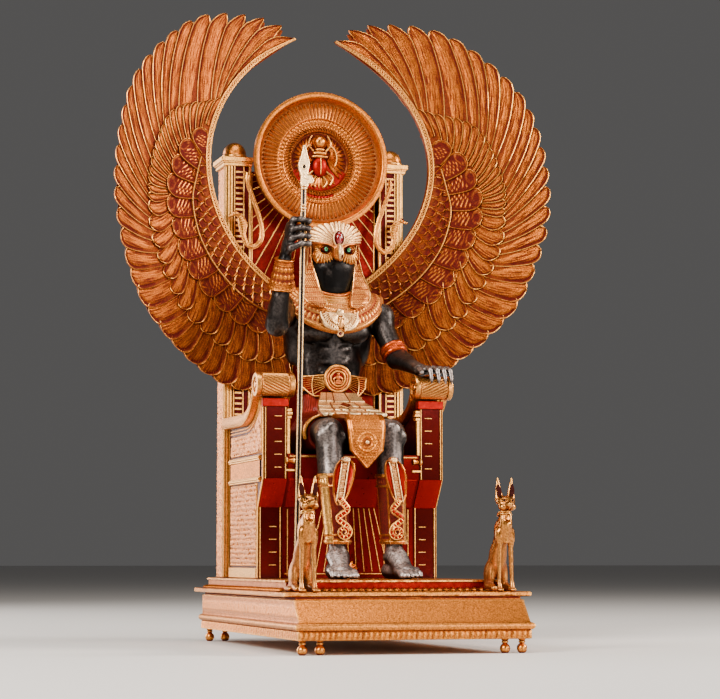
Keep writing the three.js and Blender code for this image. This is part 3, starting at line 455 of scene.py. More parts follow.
def dais_relief(side, u, z, half):
    inside = np.clip((half - np.abs(u)) / 2, 0, 1)
    rough = pebbled(u, z, 1.3)
    lip = z > 58.7
    field = (z > 53) & (z < 58.3)
    height = np.where(lip, 0.35 * rough, np.where(field & (side != 0), 0.3 * pebbled(u, z, 1.0), 0))
    gild = np.where(lip, 0.75 + 0.3 * rough, 0.6 if side else 1.0)
    return height * inside, gild


dais = Casting()
w, front, back = DAIS_HIGH[0], DAIS_LOW[1], DAIS_HIGH[1]
moulding(dais, [(DAIS_LOW[2], w, front, back), (52.4, w, front, back), (53, w - 1.6, front + 1.6, back - 1.6),
                (58.4, w - 1.6, front + 1.6, back - 1.6), (58.8, w - 0.2, front + 0.2, back - 0.2),
                (60.1, w - 0.2, front + 0.2, back - 0.2), (DAIS_HIGH[2], w - 0.7, front + 0.8, back - 0.8)],
         1.5, dais_relief, looks=lambda side, z: np.where((side == 0) & (z > 53) & (z < 58.6), 1, 0))
dais.build("dais_step", [gold, bright_enamel], "enamel", ["dais"])

# Throne seat. The block between the arms: dark enamel with a sloping bright red panel
# under the seat's edge, and below it gold lines that fan out down to a small ornament.


def prism(casting, outline, axis, low, high, gild=1.0, look=0):
    """A flat outline of (a, b) pulled along the axis, its ends filled"""
    outline = [tuple(p) for p in outline]
    turn = sum(a[0] * b[1] - b[0] * a[1] for a, b in zip(outline, outline[1:] + outline[:1]))
    if (turn < 0) != (axis == 1):
        outline = outline[::-1]
    fan = tessellate_polygon([[Vector((a, b, 0)) for a, b in outline]])
    n = len(outline)
    points = np.zeros((2, n, 3))
    across = [k for k in range(3) if k != axis]
    points[:, :, across[0]] = [a for a, b in outline]
    points[:, :, across[1]] = [b for a, b in outline]
    points[0, :, axis], points[1, :, axis] = low, high
    j = np.arange(n)
    quads = np.stack([j, (j + 1) % n, (j + 1) % n + n, j + n], -1)
    tris = []
    flip = axis == 1
    for face in fan:
        a, b, c = face
        pa, pb, pc = (np.array(outline[k]) for k in (a, b, c))
        if np.cross(pb - pa, pc - pa) * (-1 if flip else 1) < 0:
            b, c = c, b
        tris += [(a, c, b), (a + n, b + n, c + n)]
    casting.add(points.reshape(-1, 3), quads, tris, gild, look=look)


def block(casting, low, high, edge=0.4, gild=1.0, look=0):
    """A box with its edges taken off"""
    (x0, y0, z0), (x1, y1, z1) = low, high
    rows = []
    for z, inset in ((z0, edge), (z0 + edge, 0), (z1 - edge, 0), (z1, edge)):
        a, b, c, d, e = x0 + inset, x1 - inset, y0 + inset, y1 - inset, edge
        rows.append([(a + e, c, z), (b - e, c, z), (b, c + e, z), (b, d - e, z),
                     (b - e, d, z), (a + e, d, z), (a, d - e, z), (a, c + e, z)])
    casting.grid(np.array(rows), gild=gild, look=look, wrap=True, ends=True)


def strip(casting, path, normal, wide, high, gild=1.0, look=0, sink=0.3):
    """A raised moulded line along a path, on a surface that faces along normal"""
    path = np.asarray(path, float)
    normal = np.broadcast_to(np.asarray(normal, float), path.shape)
    along = np.gradient(path, axis=0)
    along /= np.linalg.norm(along, axis=1)[:, None]
    across = np.cross(along, normal)
    across /= np.linalg.norm(across, axis=1)[:, None]
    section = ((-0.5, -sink), (-0.42, 0.7 * high), (-0.2, high), (0.2, high), (0.42, 0.7 * high), (0.5, -sink))
    rows = np.stack([path + across * (a * wide) + normal * b for a, b in section], 1)
    casting.grid(rows, gild=gild, look=look, wrap=True, ends=True)


def bar(casting, path, radius, sides=10, gild=1.0, look=0, lay=None):
    """A round bar along a path, its radius one number or one for each point"""
    path = np.asarray(path, float)
    radius = np.broadcast_to(radius, len(path))
    along = np.gradient(path, axis=0)
    along /= np.maximum(np.linalg.norm(along, axis=1), 1e-9)[:, None]
    normal = np.cross(along[0], (0, 0, 1.0) if abs(along[0][2]) < 0.9 else (1.0, 0, 0))
    normals = []
    for tangent in along:
        normal = normal - tangent * np.dot(normal, tangent)
        normal = normal / np.linalg.norm(normal)
        normals.append(normal)
    normals = np.array(normals)
    second = np.cross(along, normals)
    around = np.linspace(0, 2 * np.pi, sides, endpoint=False)
    rows = (path[:, None] + (normals[:, None] * np.cos(around)[None, :, None]
            + second[:, None] * np.sin(around)[None, :, None]) * radius[:, None, None])
    casting.grid(rows, gild=gild, look=look, wrap=True, ends=True)


def smooth_path(points, n):
    """Catmull-Rom curve through the points, as n points"""
    points = np.asarray(points, float)
    ends = np.vstack([2 * points[0] - points[1], points, 2 * points[-1] - points[-2]])
    t = np.linspace(0, len(points) - 1, n)
    k = np.minimum(t.astype(int), len(points) - 2)
    f = (t - k)[:, None]
    a, b, c, d = ends[k], ends[k + 1], ends[k + 2], ends[k + 3]
    return 0.5 * (2 * b + (c - a) * f + (2 * a - 5 * b + 4 * c - d) * f ** 2 + (3 * b - a - 3 * c + d) * f ** 3)


SEAT_LOW, SEAT_HIGH = (np.array(v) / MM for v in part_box("throne_seat"))
THRONE_FOOT, SEAT_TOP = SEAT_LOW[2], SEAT_HIGH[2]
SHIN_FRONT, SEAT_FRONT, SLOPE_LOW, SLOPE_HIGH = 22.5, SEAT_LOW[1], 125, 150
seat = Casting()
seat_w, seat_back = SEAT_HIGH[0], SEAT_HIGH[1]
prism(seat, [(SHIN_FRONT, THRONE_FOOT), (SHIN_FRONT, SLOPE_LOW), (SEAT_FRONT, SLOPE_HIGH), (SEAT_FRONT, SEAT_TOP),
             (seat_back, SEAT_TOP), (seat_back, THRONE_FOOT)], 0, -seat_w, seat_w, look=1)
slope = np.array([0, SLOPE_LOW - SLOPE_HIGH, SEAT_FRONT - SHIN_FRONT])
slope_out = slope / np.linalg.norm(slope) * (1, 1, 1)
low_edge, high_edge = np.array([0, SHIN_FRONT, SLOPE_LOW]), np.array([0, SEAT_FRONT, SLOPE_HIGH])
for x0, x1 in ((-60, -28), (-26, 26), (28, 60)):
    panel = [low_edge + (x0, 0, 0), low_edge + (x1, 0, 0), high_edge + (x1, 0, 0), high_edge + (x0, 0, 0)]
    inner = [p * 0.96 + np.mean(panel, 0) * 0.04 + slope_out * 0.9 for p in panel]
    seat.grid(np.array([panel, inner]), look=2, wrap=True, ends=True)
for k in range(-5, 6):
    top, foot = (4.9 * k, SHIN_FRONT, SLOPE_LOW - 1), (7.6 * k, SHIN_FRONT, THRONE_FOOT + 6)
    strip(seat, [top, foot], (0, -1, 0), 0.8, 0.6)
for k in (-1, 1):
    for x in (34, 57):
        strip(seat, [(k * x, SHIN_FRONT, SLOPE_LOW - 2), (k * x, SHIN_FRONT, THRONE_FOOT + 2)], (0, -1, 0), 0.9, 0.7)
    strip(seat, [(k * 27, SEAT_FRONT, SLOPE_HIGH + 1), (k * 27, SEAT_FRONT, SEAT_TOP - 3)], (0, -1, 0), 1.0, 0.7)
strip(seat, [(-60, SHIN_FRONT, THRONE_FOOT + 4), (60, SHIN_FRONT, THRONE_FOOT + 4)], (0, -1, 0), 1.2, 0.9)
strip(seat, [(-60, SEAT_FRONT, SEAT_TOP - 2), (60, SEAT_FRONT, SEAT_TOP - 2)], (0, -1, 0), 1.6, 0.8)
turned(seat, [(4.5, 1.5), (4.2, -0.8), (2.8, -1.6), (1.2, -2.2)], (0, SHIN_FRONT, THRONE_FOOT + 7), sides=20, axis=1)
for k in range(7):
    a = math.pi * (k + 0.5) / 7
    leaf(seat, (3.5 * math.cos(a), SHIN_FRONT - 0.6, THRONE_FOOT + 7 + 3.5 * math.sin(a)),
         (math.cos(a), 0, math.sin(a)), (-math.sin(a), 0, math.cos(a)), (0, -1, 0), 6, 3, 0.9)
seat.build("seat_block", [gold, red_enamel, bright_enamel], "enamel", ["throne_seat"])

# Throne arms. Each is a wall with a dark enamel front framed in gold lines, a carved gold
# panel outside, and a scooped armrest band that curls up to the roll.
ARM_W, ARM_INNER = 84.0, 62.0
ROLL_R, ROLL_Y, ROLL_Z, ROLL_IN, ROLL_OUT = 11.0, 5.0, 234.0, 56.5, 92.5
POST_FRONT = 137.2
LEDGES = (147.3, 166.8)
MARK = 4.4
marks = np.random.default_rng(7)


def scoop(a):
    """The armrest's top line, from the roll (a = 0) to its level back part (a = 1)"""
    turn = math.pi / 2 * a
    return 12 + 49.4 * (1 - math.cos(turn)), 240 - 30 * math.sin(turn)


def stroke_field(wide, high):
    """Shallow strokes in rows, as (a, b) ends: bars, ticks, bends and dots that spell nothing"""
    found = []
    for row in range(int(high / MARK)):
        for column in range(int(wide / MARK)):
            at = np.array([(column + 0.5) * MARK, (row + 0.5) * MARK]) + marks.uniform(-0.5, 0.5, 2)
            kind = marks.integers(0, 6)
            r = marks.uniform(0.7, 1.5)
            if kind == 0:
                found.append((at - (0, r), at + (0, r)))
            elif kind == 1:
                found.append((at - (r, 0), at + (r, 0)))
            elif kind == 2:
                found += [(at - (r, -0.6), at + (0, -0.6)), (at + (0, -0.6), at + (r, 0.8))]
            elif kind == 3:
                found += [(at - (0, r), at + (0, 0.2)), (at + (0, 0.2), at + (1.0, 0.2))]
            elif kind == 4:
                found += [(at - (0.9, 0.8), at + (-0.9, 0.8)), (at + (0.7, -0.9), at + (0.7, 0.9))]
            else:
                found.append((at, at + (0.2, 0.3)))
    return found


def carved_panel(casting, x, y0, y1, z0, top, cut, proud=1.2, cell=0.88):
    """A plate on the arm's outer side, its top edge a line z = top(y), with cut strokes"""
    columns = int((y1 - y0) / cell) + 1
    rows = int((top((y0 + y1) / 2) - z0) / cell) + 1
    y = np.linspace(y0, y1, columns)[None, :]
    t = np.linspace(0, 1, rows)[:, None]
    z = z0 + (np.vectorize(top)(y) - z0) * t
    y = np.broadcast_to(y, z.shape)
    depth = np.zeros(z.shape)
    for a, b in cut:
        a, b = a + (y0, z0), b + (y0, z0)
        near = (np.abs(y - (a[0] + b[0]) / 2) < 3) & (np.abs(z - (a[1] + b[1]) / 2) < 3)
        p = np.stack([y[near], z[near]], -1)
        line = b - a
        f = np.clip(((p - a) @ line) / max(line @ line, 1e-9), 0, 1)
        off = np.linalg.norm(p - a - f[:, None] * line, axis=1)
        depth[near] = np.maximum(depth[near], np.clip(1.25 - off / 0.62, 0, 1))
    border = np.minimum(np.minimum(y - y0, y1 - y), np.minimum(z - z0, np.vectorize(top)(y) - z))
    depth *= border > 1.6
    edge = np.clip(border / 0.5, 0, 1)
    face = x + proud * edge - 0.85 * depth + 0.12 * pebbled(y, z, 0.9)
    casting.grid(np.stack([face, y, z], -1), gild=np.clip(1 - 1.25 * depth, 0, 1))


arm = Casting()
rest = np.array([scoop(a) for a in np.linspace(0, 1, 15)])
under = [(y - 1 + 4 * k / 14, z - (6.5 + 3.5 * k / 14)) for k, (y, z) in enumerate(rest)]
roll_under = ROLL_Z - ROLL_R - 1
prism(arm, [(SHIN_FRONT, THRONE_FOOT), (SHIN_FRONT, SLOPE_LOW), (SEAT_FRONT, SLOPE_HIGH), (SEAT_FRONT, roll_under),
            (13, roll_under)] + [(y, z + 1) for y, z in under[4:]]
      + [(POST_FRONT, rest[-1][1] - 9), (POST_FRONT, THRONE_FOOT)], 0, ARM_INNER, ARM_W, look=1)
band_x = np.array([(ROLL_IN + 1, 0), (ROLL_IN, 0.25), (ROLL_IN, 0.75), (ROLL_IN + 1, 1), ((ROLL_IN + ROLL_OUT) / 2, 1.04),
                   (ROLL_OUT - 1, 1), (ROLL_OUT, 0.75), (ROLL_OUT, 0.25), (ROLL_OUT - 1, 0)])
rest_rows = []
for (y, z), (uy, uz) in zip(list(rest) + [(POST_FRONT, rest[-1][1] + 0.8)],
                            under + [(POST_FRONT, rest[-1][1] - 9.4)]):
    rest_rows.append([(x, uy + (y - uy) * f, uz + (z - uz) * f) for x, f in band_x])
arm.grid(np.array(rest_rows), wrap=True, ends=True)
for drop in (2.2, 5.0):
    line = [(ARM_W, y + 1.5, z - drop) for y, z in under[3:]] + [(ARM_W, POST_FRONT - 8, under[-1][1] - drop)]
    strip(arm, line, (1, 0, 0), 1.5, 1.2)
side_back = POST_FRONT - 9
carved_panel(arm, ARM_W, SHIN_FRONT + 4, side_back, 71.5, lambda y: LEDGES[0] - 0.6,
             stroke_field(side_back - SHIN_FRONT - 4, LEDGES[0] - 72))


def upper_top(y):
    """The upper panel's top edge, under the scoop"""
    return float(np.interp(y, [p[0] for p in under], [p[1] for p in under])) - 7.5


carved_panel(arm, ARM_W, SEAT_FRONT + 5.5, side_back, 172.8, upper_top, stroke_field(side_back - 9, 55))
for z in LEDGES:
    for x, low, high in ((ARM_W + 2.2, 0, 1.6), (ARM_W + 3.2, 1.6, 3.4), (ARM_W + 1.8, 3.4, 4.6)):
        block(arm, (ARM_W - 1, 12, z + low), (x, side_back + 3, z + high), edge=0.3)
reed_y = np.arange(14, side_back + 1.5, 0.6)
reed_z = np.linspace(LEDGES[0] + 4.8, LEDGES[1] - 0.2, 8)
reeds = np.abs(np.sin(np.pi * reed_y / 4.2)) ** 0.6
arm.grid(np.stack([np.broadcast_to(ARM_W + 0.2 + 0.9 * reeds, (8, len(reed_y))),
                   np.broadcast_to(reed_y, (8, len(reed_y))),
                   np.broadcast_to(reed_z[:, None], (8, len(reed_y)))], -1),
         gild=np.broadcast_to(0.2 + 0.8 * reeds, (8, len(reed_y))))
block(arm, (ARM_W - 1, SHIN_FRONT + 3, THRONE_FOOT), (ARM_W + 1.8, side_back + 4, 70.4), edge=0.5)
profile = np.array([(SHIN_FRONT, THRONE_FOOT + 0.5), (SHIN_FRONT, SLOPE_LOW), (SEAT_FRONT, SLOPE_HIGH),
                    (SEAT_FRONT, roll_under - 8)])
strip(arm, [(ARM_W, y + 1.6, z) for y, z in profile], (1, 0, 0), 2.6, 0.9)
for x in (ARM_INNER + 1.8, ARM_W - 1.6):
    for a, b in zip(profile, profile[1:]):
        out = np.array([0, -(b[1] - a[1]), b[0] - a[0]])
        if abs(b[0] - a[0]) < 1:
            strip(arm, [(x, *a), (x, *b)], out / np.linalg.norm(out), 1.1, 0.8)
for z0, z1, y in ((THRONE_FOOT + 12, SLOPE_LOW - 8, SHIN_FRONT), (SLOPE_HIGH + 10, roll_under - 14, SEAT_FRONT)):
    for z in np.arange(z0, z1, 11.5):
        strip(arm, [(ARM_INNER + 5.4, y, z), (ARM_INNER + 12, y, z)], (0, -1, 0), 0.9, 0.7)
slope_panel = [np.array([x, y, z]) for x, y, z in (
    (ARM_INNER + 0.3, SHIN_FRONT, SLOPE_LOW), (ARM_W - 0.3, SHIN_FRONT, SLOPE_LOW),
    (ARM_W - 0.3, SEAT_FRONT, SLOPE_HIGH), (ARM_INNER + 0.3, SEAT_FRONT, SLOPE_HIGH))]
arm.grid(np.array([slope_panel, [p + slope_out * 0.8 for p in slope_panel]]), look=2, wrap=True, ends=True)
block(arm, (ARM_INNER - 1, SEAT_FRONT - 1, roll_under - 7.5), (ARM_W + 1, SEAT_FRONT + 7, roll_under), look=2)
for z, r in ((205, 2.6), (208.5, 3.4), (211.5, 2.8)):
    block(arm, (ARM_INNER - 1 - r, SEAT_FRONT - r * 0.6, z - 1.4), (ARM_INNER + 0.6, SEAT_FRONT + 6, z + 1.4))
block(arm, (ARM_INNER - 2.4, SEAT_FRONT - 0.6, 172), (ARM_INNER + 0.4, SEAT_FRONT + 3, 204))
turned(arm, [(1.4, -7), (3.0, -6.4), (2.0, -4.6), (1.6, -1.5), (3.2, 0), (3.2, 1.4), (1, 1.6)],
       (ARM_INNER + 0.4, SEAT_FRONT - 0.6, 166), sides=18, axis=0)
block(arm, (ARM_INNER - 7, SEAT_FRONT - 1.4, 156.4), (ARM_INNER + 2, SEAT_FRONT + 1, 158.6))
throne_looks = [gold, dark_enamel, bright_enamel]
arm.build("armrest_wall_right", throne_looks, "gold", ["throne_arm_right"])
arm.mirror().build("armrest_wall_left", throne_looks, "gold", ["throne_arm_left"])

# Armrest rolls. Two short turned rolls across the fronts of the arms, cut all round with
# slanting rope strands between plain collars, with a rosette in each end.
roll = Casting()


def rope(around, place):
    """Strands that wind round the middle of the roll"""
    length = ROLL_OUT - ROLL_IN
    middle = np.clip(np.minimum(place - 5.5, length - 5.5 - place) / 0.8, 0, 1)
    return middle * 1.0 * (np.abs(np.sin(11 * around + 0.55 * place)) - 1)


length = ROLL_OUT - ROLL_IN
ends = [(0.6, 0.8), (2.6, 0.5), (3.2, 1.4), (6.6, 1.6), (7.2, 0.4), (9.6, 0.05), (ROLL_R - 0.3, 0.5), (ROLL_R, 1.4),
        (ROLL_R, 4.6), (ROLL_R - 0.6, 5.2)]
middle = [(ROLL_R - 0.2, p) for p in np.linspace(5.6, length - 5.6, 44)]
turned(roll, ends + middle + [(r, length - p) for r, p in ends[::-1]], (ROLL_IN, ROLL_Y, ROLL_Z), sides=110,
       axis=0, wave=rope)
roll_gold = gilt_metal("roll_gold", metal=(0.46, 0.165, 0.035), cover=0.7, crevice=3.5)
roll.build("rope_roll_right", [roll_gold], "gold", ["armrest_roll_right"])
roll.mirror().build("rope_roll_left", [roll_gold], "gold", ["armrest_roll_left"])

# Throne back. A tall red enamel panel between the pillars, with thin gold rays that run
# out from behind the disc, and a plain framed face behind.
BACK_LOW, BACK_HIGH = (np.array(v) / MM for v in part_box("throne_back"))
DISC_Z = 461.0
panel = Casting()
block(panel, BACK_LOW, BACK_HIGH, look=1)
for k in range(-13, 14):
    a = k * 0.105
    far = min((BACK_HIGH[0] - 3) / max(abs(math.sin(a)), 1e-6), (DISC_Z - SEAT_TOP - 6) / math.cos(a), 285)
    ray = [(r * math.sin(a), BACK_LOW[1], DISC_Z - r * math.cos(a)) for r in (58, far)]
    if far > 62:
        strip(panel, ray, (0, -1, 0), 1.3 if k % 2 else 0.8, 0.8)
for x in (-1, 1):
    edge_x = x * (BACK_HIGH[0] - 2)
    strip(panel, [(edge_x, BACK_LOW[1], SEAT_TOP + 2), (edge_x, BACK_LOW[1], BACK_HIGH[2] - 2)], (0, -1, 0), 2, 1)
    for inset, wide in ((4, 3.2), (11, 1.2)):
        frame_x = x * (BACK_HIGH[0] - inset)
        strip(panel, [(frame_x, BACK_HIGH[1], THRONE_FOOT + inset), (frame_x, BACK_HIGH[1], BACK_HIGH[2] - inset)],
              (0, 1, 0), wide, 1.1)
for z in (THRONE_FOOT + 4, THRONE_FOOT + 11, 172, 180, BACK_HIGH[2] - 11, BACK_HIGH[2] - 4):
    strip(panel, [(-BACK_HIGH[0] + 5, BACK_HIGH[1], z), (BACK_HIGH[0] - 5, BACK_HIGH[1], z)], (0, 1, 0), 1.6, 1.1)
for k in range(-4, 5):
    strip(panel, [(k * 10.5, BACK_HIGH[1], 190), (k * 10.5, BACK_HIGH[1], 430)], (0, 1, 0), 1.2, 0.8)
    strip(panel, [(k * 10.5, BACK_HIGH[1], 78), (k * 10.5, BACK_HIGH[1], 164)], (0, 1, 0), 1.2, 0.8)
panel.build("throne_back_panel", [gold, red_enamel], "enamel", ["throne_back"])

# Back pillars. A post on each side with a ladder of gold rungs on red enamel in front, a
# hammered strip and two ridges outside, a thin square cap and a brushed dome.
POST_IN, POST_OUT, POST_BACK, POST_TOP = 64.0, 89.0, 174.0, 455.5
CAP_TOP, CAP_SIDE, CAP_FRONT = 464.0, 93.7, 135.8
pillar = Casting()
block(pillar, (POST_IN, POST_FRONT + 1.5, THRONE_FOOT), (POST_OUT - 1.2, POST_BACK, POST_TOP), look=1)
for x in (POST_IN + 1.4, POST_OUT - 5.4, POST_OUT - 2.6):
    block(pillar, (x - 1.3, POST_FRONT + 0.3, THRONE_FOOT), (x + 1.1, POST_FRONT + 4, POST_TOP))
for z in np.arange(THRONE_FOOT + 8, POST_TOP - 4, 5.2):
    block(pillar, (POST_IN + 8.4, POST_FRONT + 0.7, z), (POST_IN + 15.6, POST_FRONT + 2.5, z + 2.2), edge=0.3)
for x in (POST_IN + 7.4, POST_IN + 16.6):
    block(pillar, (x - 0.6, POST_FRONT + 0.6, THRONE_FOOT), (x + 0.6, POST_FRONT + 2.5, POST_TOP), edge=0.25)
for y in (POST_FRONT + 3.6, POST_FRONT + 8.0):
    block(pillar, (POST_OUT - 2, y - 1.1, THRONE_FOOT), (POST_OUT + 0.3, y + 1.1, POST_TOP))
strip_y = np.linspace(POST_FRONT + 11, POST_BACK - 1, 26)
strip_z = np.linspace(THRONE_FOOT + 0.5, POST_TOP - 0.5, 330)[:, None]
rough = pebbled(strip_y[None, :], strip_z, 1.25)
edge_of = np.clip(np.minimum(strip_y - strip_y[0], strip_y[-1] - strip_y) / 1.2, 0, 1)[None, :]
pillar.grid(np.stack(np.broadcast_arrays(POST_OUT - 1.4 + edge_of * (1.1 + 0.5 * rough), strip_y[None, :],
                                         strip_z), -1)[::-1], gild=(0.7 + 0.35 * rough))
for z0, z1, grow in ((POST_TOP - 0.4, POST_TOP + 2.6, 1.6), (POST_TOP + 2.6, POST_TOP + 4, 2.6),
                     (POST_TOP + 4, CAP_TOP, 3.6)):
    scale = grow / 3.6
    block(pillar, (POST_IN - 1.6 * scale, POST_FRONT - (POST_FRONT - CAP_FRONT) * scale, z0),
          (POST_OUT + (CAP_SIDE - POST_OUT) * scale, POST_BACK + 0.8 * scale, z1))
pillar_looks = [gold, dark_enamel]
pillar.build("pillar_post_right", pillar_looks, "gold", ["pillar_right"])
pillar.mirror().build("pillar_post_left", pillar_looks, "gold", ["pillar_left"])

DOME_X, DOME_Y, DOME_R, DOME_H = 78.5, 148.5, 12.3, 15.2
dome = Casting()
dome_rim = [(DOME_R - 0.5, 0), (DOME_R, 0.5), (DOME_R, 2.0), (DOME_R - 0.7, 2.6)]
turned(dome, dome_rim + [((DOME_R - 1) * math.cos(a), 3 + (DOME_H - 3) * math.sin(a))
                         for a in np.linspace(0, 1.5, 14)], (DOME_X, DOME_Y, CAP_TOP + 0.3), sides=48)
dome.build("post_dome_right", [brushed_gold], "gold", ["dome_right"])
dome.mirror().build("post_dome_left", [brushed_gold], "gold", ["dome_left"])

# Wings. Two great crescents of thin cast gold: long feathers with a wire rim, a dark
# channel and a barbed vane, then coverts, large petals and rows of small scales.
WING_Y, WING_BOWL, WING_THICK = 141.5, 0.001885, 3.2
EDGE_X, EDGE_Z, EDGE_RX, EDGE_RZ = -113.5, 456.6, 222.3, 158.3
EDGE_ANGLES = (28, 20, 12, 5, -2, -8, -13, -19, -27, -34, -40, -45, -48, -50)
SCALE_TIPS = [(80, 535.5), (95.5, 514.5), (107, 496), (123, 485), (143.6, 466), (154, 438), (157, 417),
              (151.6, 394), (142.8, 366), (126.5, 340), (101, 316), (76, 300), (52, 293), (31, 300)]
COVERT_TIPS = [(74, 542), (92, 522), (107, 515), (146, 502), (164, 474), (175, 438), (175, 406),
               (171, 376), (155, 340), (134, 307), (110, 288), (82, 270), (50, 265), (28, 275)]
LONG_TIPS = [(17, 583.4), (47, 602), (91.5, 600), (132.6, 583.5), (175.6, 542.6), (197, 501), (208, 442),
             (205, 389), (188, 327), (160, 290), (125, 260), (88, 241), (48, 236), (24, 245)]
BORDER = 5.5
FINE = 1401
fine_edge = np.radians(smooth_path([(a, 0) for a in EDGE_ANGLES], FINE)[:, 0])
edge_line = np.stack([EDGE_X + EDGE_RX * np.cos(fine_edge), EDGE_Z + EDGE_RZ * np.sin(fine_edge)], -1)
scale_line, covert_line, long_line = (smooth_path(p, FINE) for p in (SCALE_TIPS, COVERT_TIPS, LONG_TIPS))
FINE_T = np.linspace(0, 1, FINE)


def ramp(x, low, high):
    """0 below low, 1 above high, smooth between"""
    t = np.clip((np.asarray(x, float) - low) / (high - low), 0, 1)
    return t * t * (3 - 2 * t)


def on_line(line, t):
    """The point of one of the wing's lines at a share t of the way from the top"""
    return np.stack([np.interp(t, FINE_T, line[:, k]) for k in (0, 1)], -1)


def evenly(line, count, t0=0.0, t1=1.0):
    """Shares t that cut a line between t0 and t1 into equal lengths"""
    run = np.concatenate([[0], np.cumsum(np.linalg.norm(np.diff(line, axis=0), axis=1))])
    low, high = np.interp([t0, t1], FINE_T, run)
    return np.interp(np.linspace(low, high, count + 1), run, FINE_T)


def bowl(flat, rise):
    """Places on the wing's bowl, rise millimetres in front of it"""
    x, z = flat[..., 0], flat[..., 1]
    return np.stack([x, WING_Y - WING_BOWL * x * x - rise, z], -1)


def ridge_share(u):
    """How far from the inner edge to the scale tips the raised ridge runs"""
    return 0.3 + 0.25 * ramp(u, 0.25, 0.6)


RIM = 1.4


def feather(casting, root, tip, wide_root, wide_tip, bend, sharp, rise, tilt, rows, channel=1.0, back=False,
            style="long", slope=0.0):
    """One feather from root to tip on the wing's bowl, a closed shell. Its trailing side
    is raised by tilt, and there the dark channel between rim and vane is at its widest."""
    way = tip - root
    long = np.linalg.norm(way)
    way = way / long
    side = np.array([way[1], -way[0]])
    near_tip = np.array([0, 0.2, 0.5, 0.95, RIM, RIM + 0.3 * channel, RIM + 0.6 * channel, RIM + channel, RIM + channel + 0.9,
                         RIM + channel + 2.2])
    if back:
        near_tip = near_tip[[0, 2, 4, 7, 9]]
    along = np.concatenate([np.linspace(0, long - near_tip[-1] - 2.5, rows), long - near_tip[::-1]])
    s = along / long
    full = wide_root + (wide_tip - wide_root) * s
    tip_long = wide_tip * (1.0 + 1.5 * sharp)
    x = np.clip((along - (long - tip_long)) / tip_long, 0, 1)
    power, root_of = 2.6 - 0.9 * sharp, 1 / (2.2 - 0.9 * sharp)
    half = full * np.maximum(1 - x ** power, 0) ** root_of + 0.02
    grade = np.abs(np.gradient(half, along))
    trail_steps = np.array([0, 0.3, 0.8, RIM, RIM + 0.3 * channel, RIM + 0.6 * channel, RIM + channel,
                            RIM + channel + 0.8])
    lead_steps = np.array([0, 0.4, RIM, RIM + 0.4, RIM + 0.9])
    if back:
        trail_steps = lead_steps
    fit = np.minimum(1, half / (RIM + channel + 2.5))[:, None]
    trail, lead = half[:, None] - trail_steps * fit, half[:, None] - lead_steps * fit
    middle = np.array([[0.66, 0.33]]) if not back else np.array([[0.5]])
    across = np.concatenate([-lead, -lead[:, -1:] * middle, np.zeros((len(s), 1)),
                             (trail[:, -1:] * middle)[:, ::-1], trail[:, ::-1]], 1)
    gap = (half[:, None] - np.abs(across)) / fit / np.sqrt(1 + grade[:, None] ** 2)
    moat = np.where(across > 0, channel, np.minimum(channel, 0.5))
    rim = np.sqrt(np.clip(1 - ((gap - RIM / 2) / (RIM / 2)) ** 2, 0, 1))
    vane = ramp(gap, RIM + moat - 0.2, RIM + moat + 0.9)
    round_vane = 1 - (across / np.maximum(half[:, None], 0.1)) ** 2
    shaft = np.exp(-(across / 0.6) ** 2) * vane
    height = 1.15 * rim + vane * (0.45 + 0.45 * round_vane) + 0.25 * shaft
    # Rim gild passes 1, up to 1.4: a painted highlight along the wire rim.
    shade = np.clip(rim * 1.45 + vane * (0.62 + 0.3 * round_vane), 0.0, 1.4)
    if style == "petal":
        oval = np.abs(np.hypot(across / np.maximum(full[:, None] * 0.5, 0.1),
                               (along[:, None] - long * 0.84) / (long * 0.1)) - 1)
        ring = np.clip(1 - oval / 0.35, 0, 1) * (gap > RIM)
        bars = np.clip(1.5 - np.abs((along[:, None] - 0.9 * np.abs(across)) / 3.9 % 1 - 0.5) / 0.13, 0, 1)
        bars *= (s[:, None] > 0.2) & (s[:, None] < 0.68) & (gap > RIM + 0.4) & (np.abs(across) < half[:, None] * 0.6)
        height = 1.4 * rim + 0.6 * np.maximum(0.5 * ring, bars)
        # Petal rims, rings and bars reach gild 1.2: painted highlights.
        shade = np.clip(rim * 1.2 + 0.45 * ring + 0.85 * bars, 0, 1.2)
        vane = vane * 0
    spread = across + bend * long * 4 * (s * (1 - s))[:, None] - (sharp * wide_tip * 0.5 * x ** 2)[:, None]
    flat = root + way * along[:, None, None] + side * spread[..., None]
    lean = tilt * across / np.maximum(half[:, None], 0.1) - slope * s[:, None]
    sign = -1 if back else 1
    behind = WING_THICK if back else 0
    top = bowl(flat, sign * (rise + lean + height) - behind)
    under_level = rise - 0.9 + np.stack([lean[:, -1], lean[:, 0]], 1)
    under = bowl(np.stack([flat[:, -1], flat[:, 0]], 1), sign * under_level - behind)
    points = np.concatenate([top, under], 1)
    gild = np.concatenate([shade, np.full((len(s), 2), 0.3)], 1)
    lay = np.stack([across, np.broadcast_to(along[:, None], across.shape), vane], -1)
    lay = np.concatenate([lay, np.zeros((len(s), 2, 3))], 1)
    turn = 1 if back else -1
    casting.grid(points[:, ::turn], gild=gild[:, ::turn], lay=lay[:, ::turn], wrap=True, ends=True)


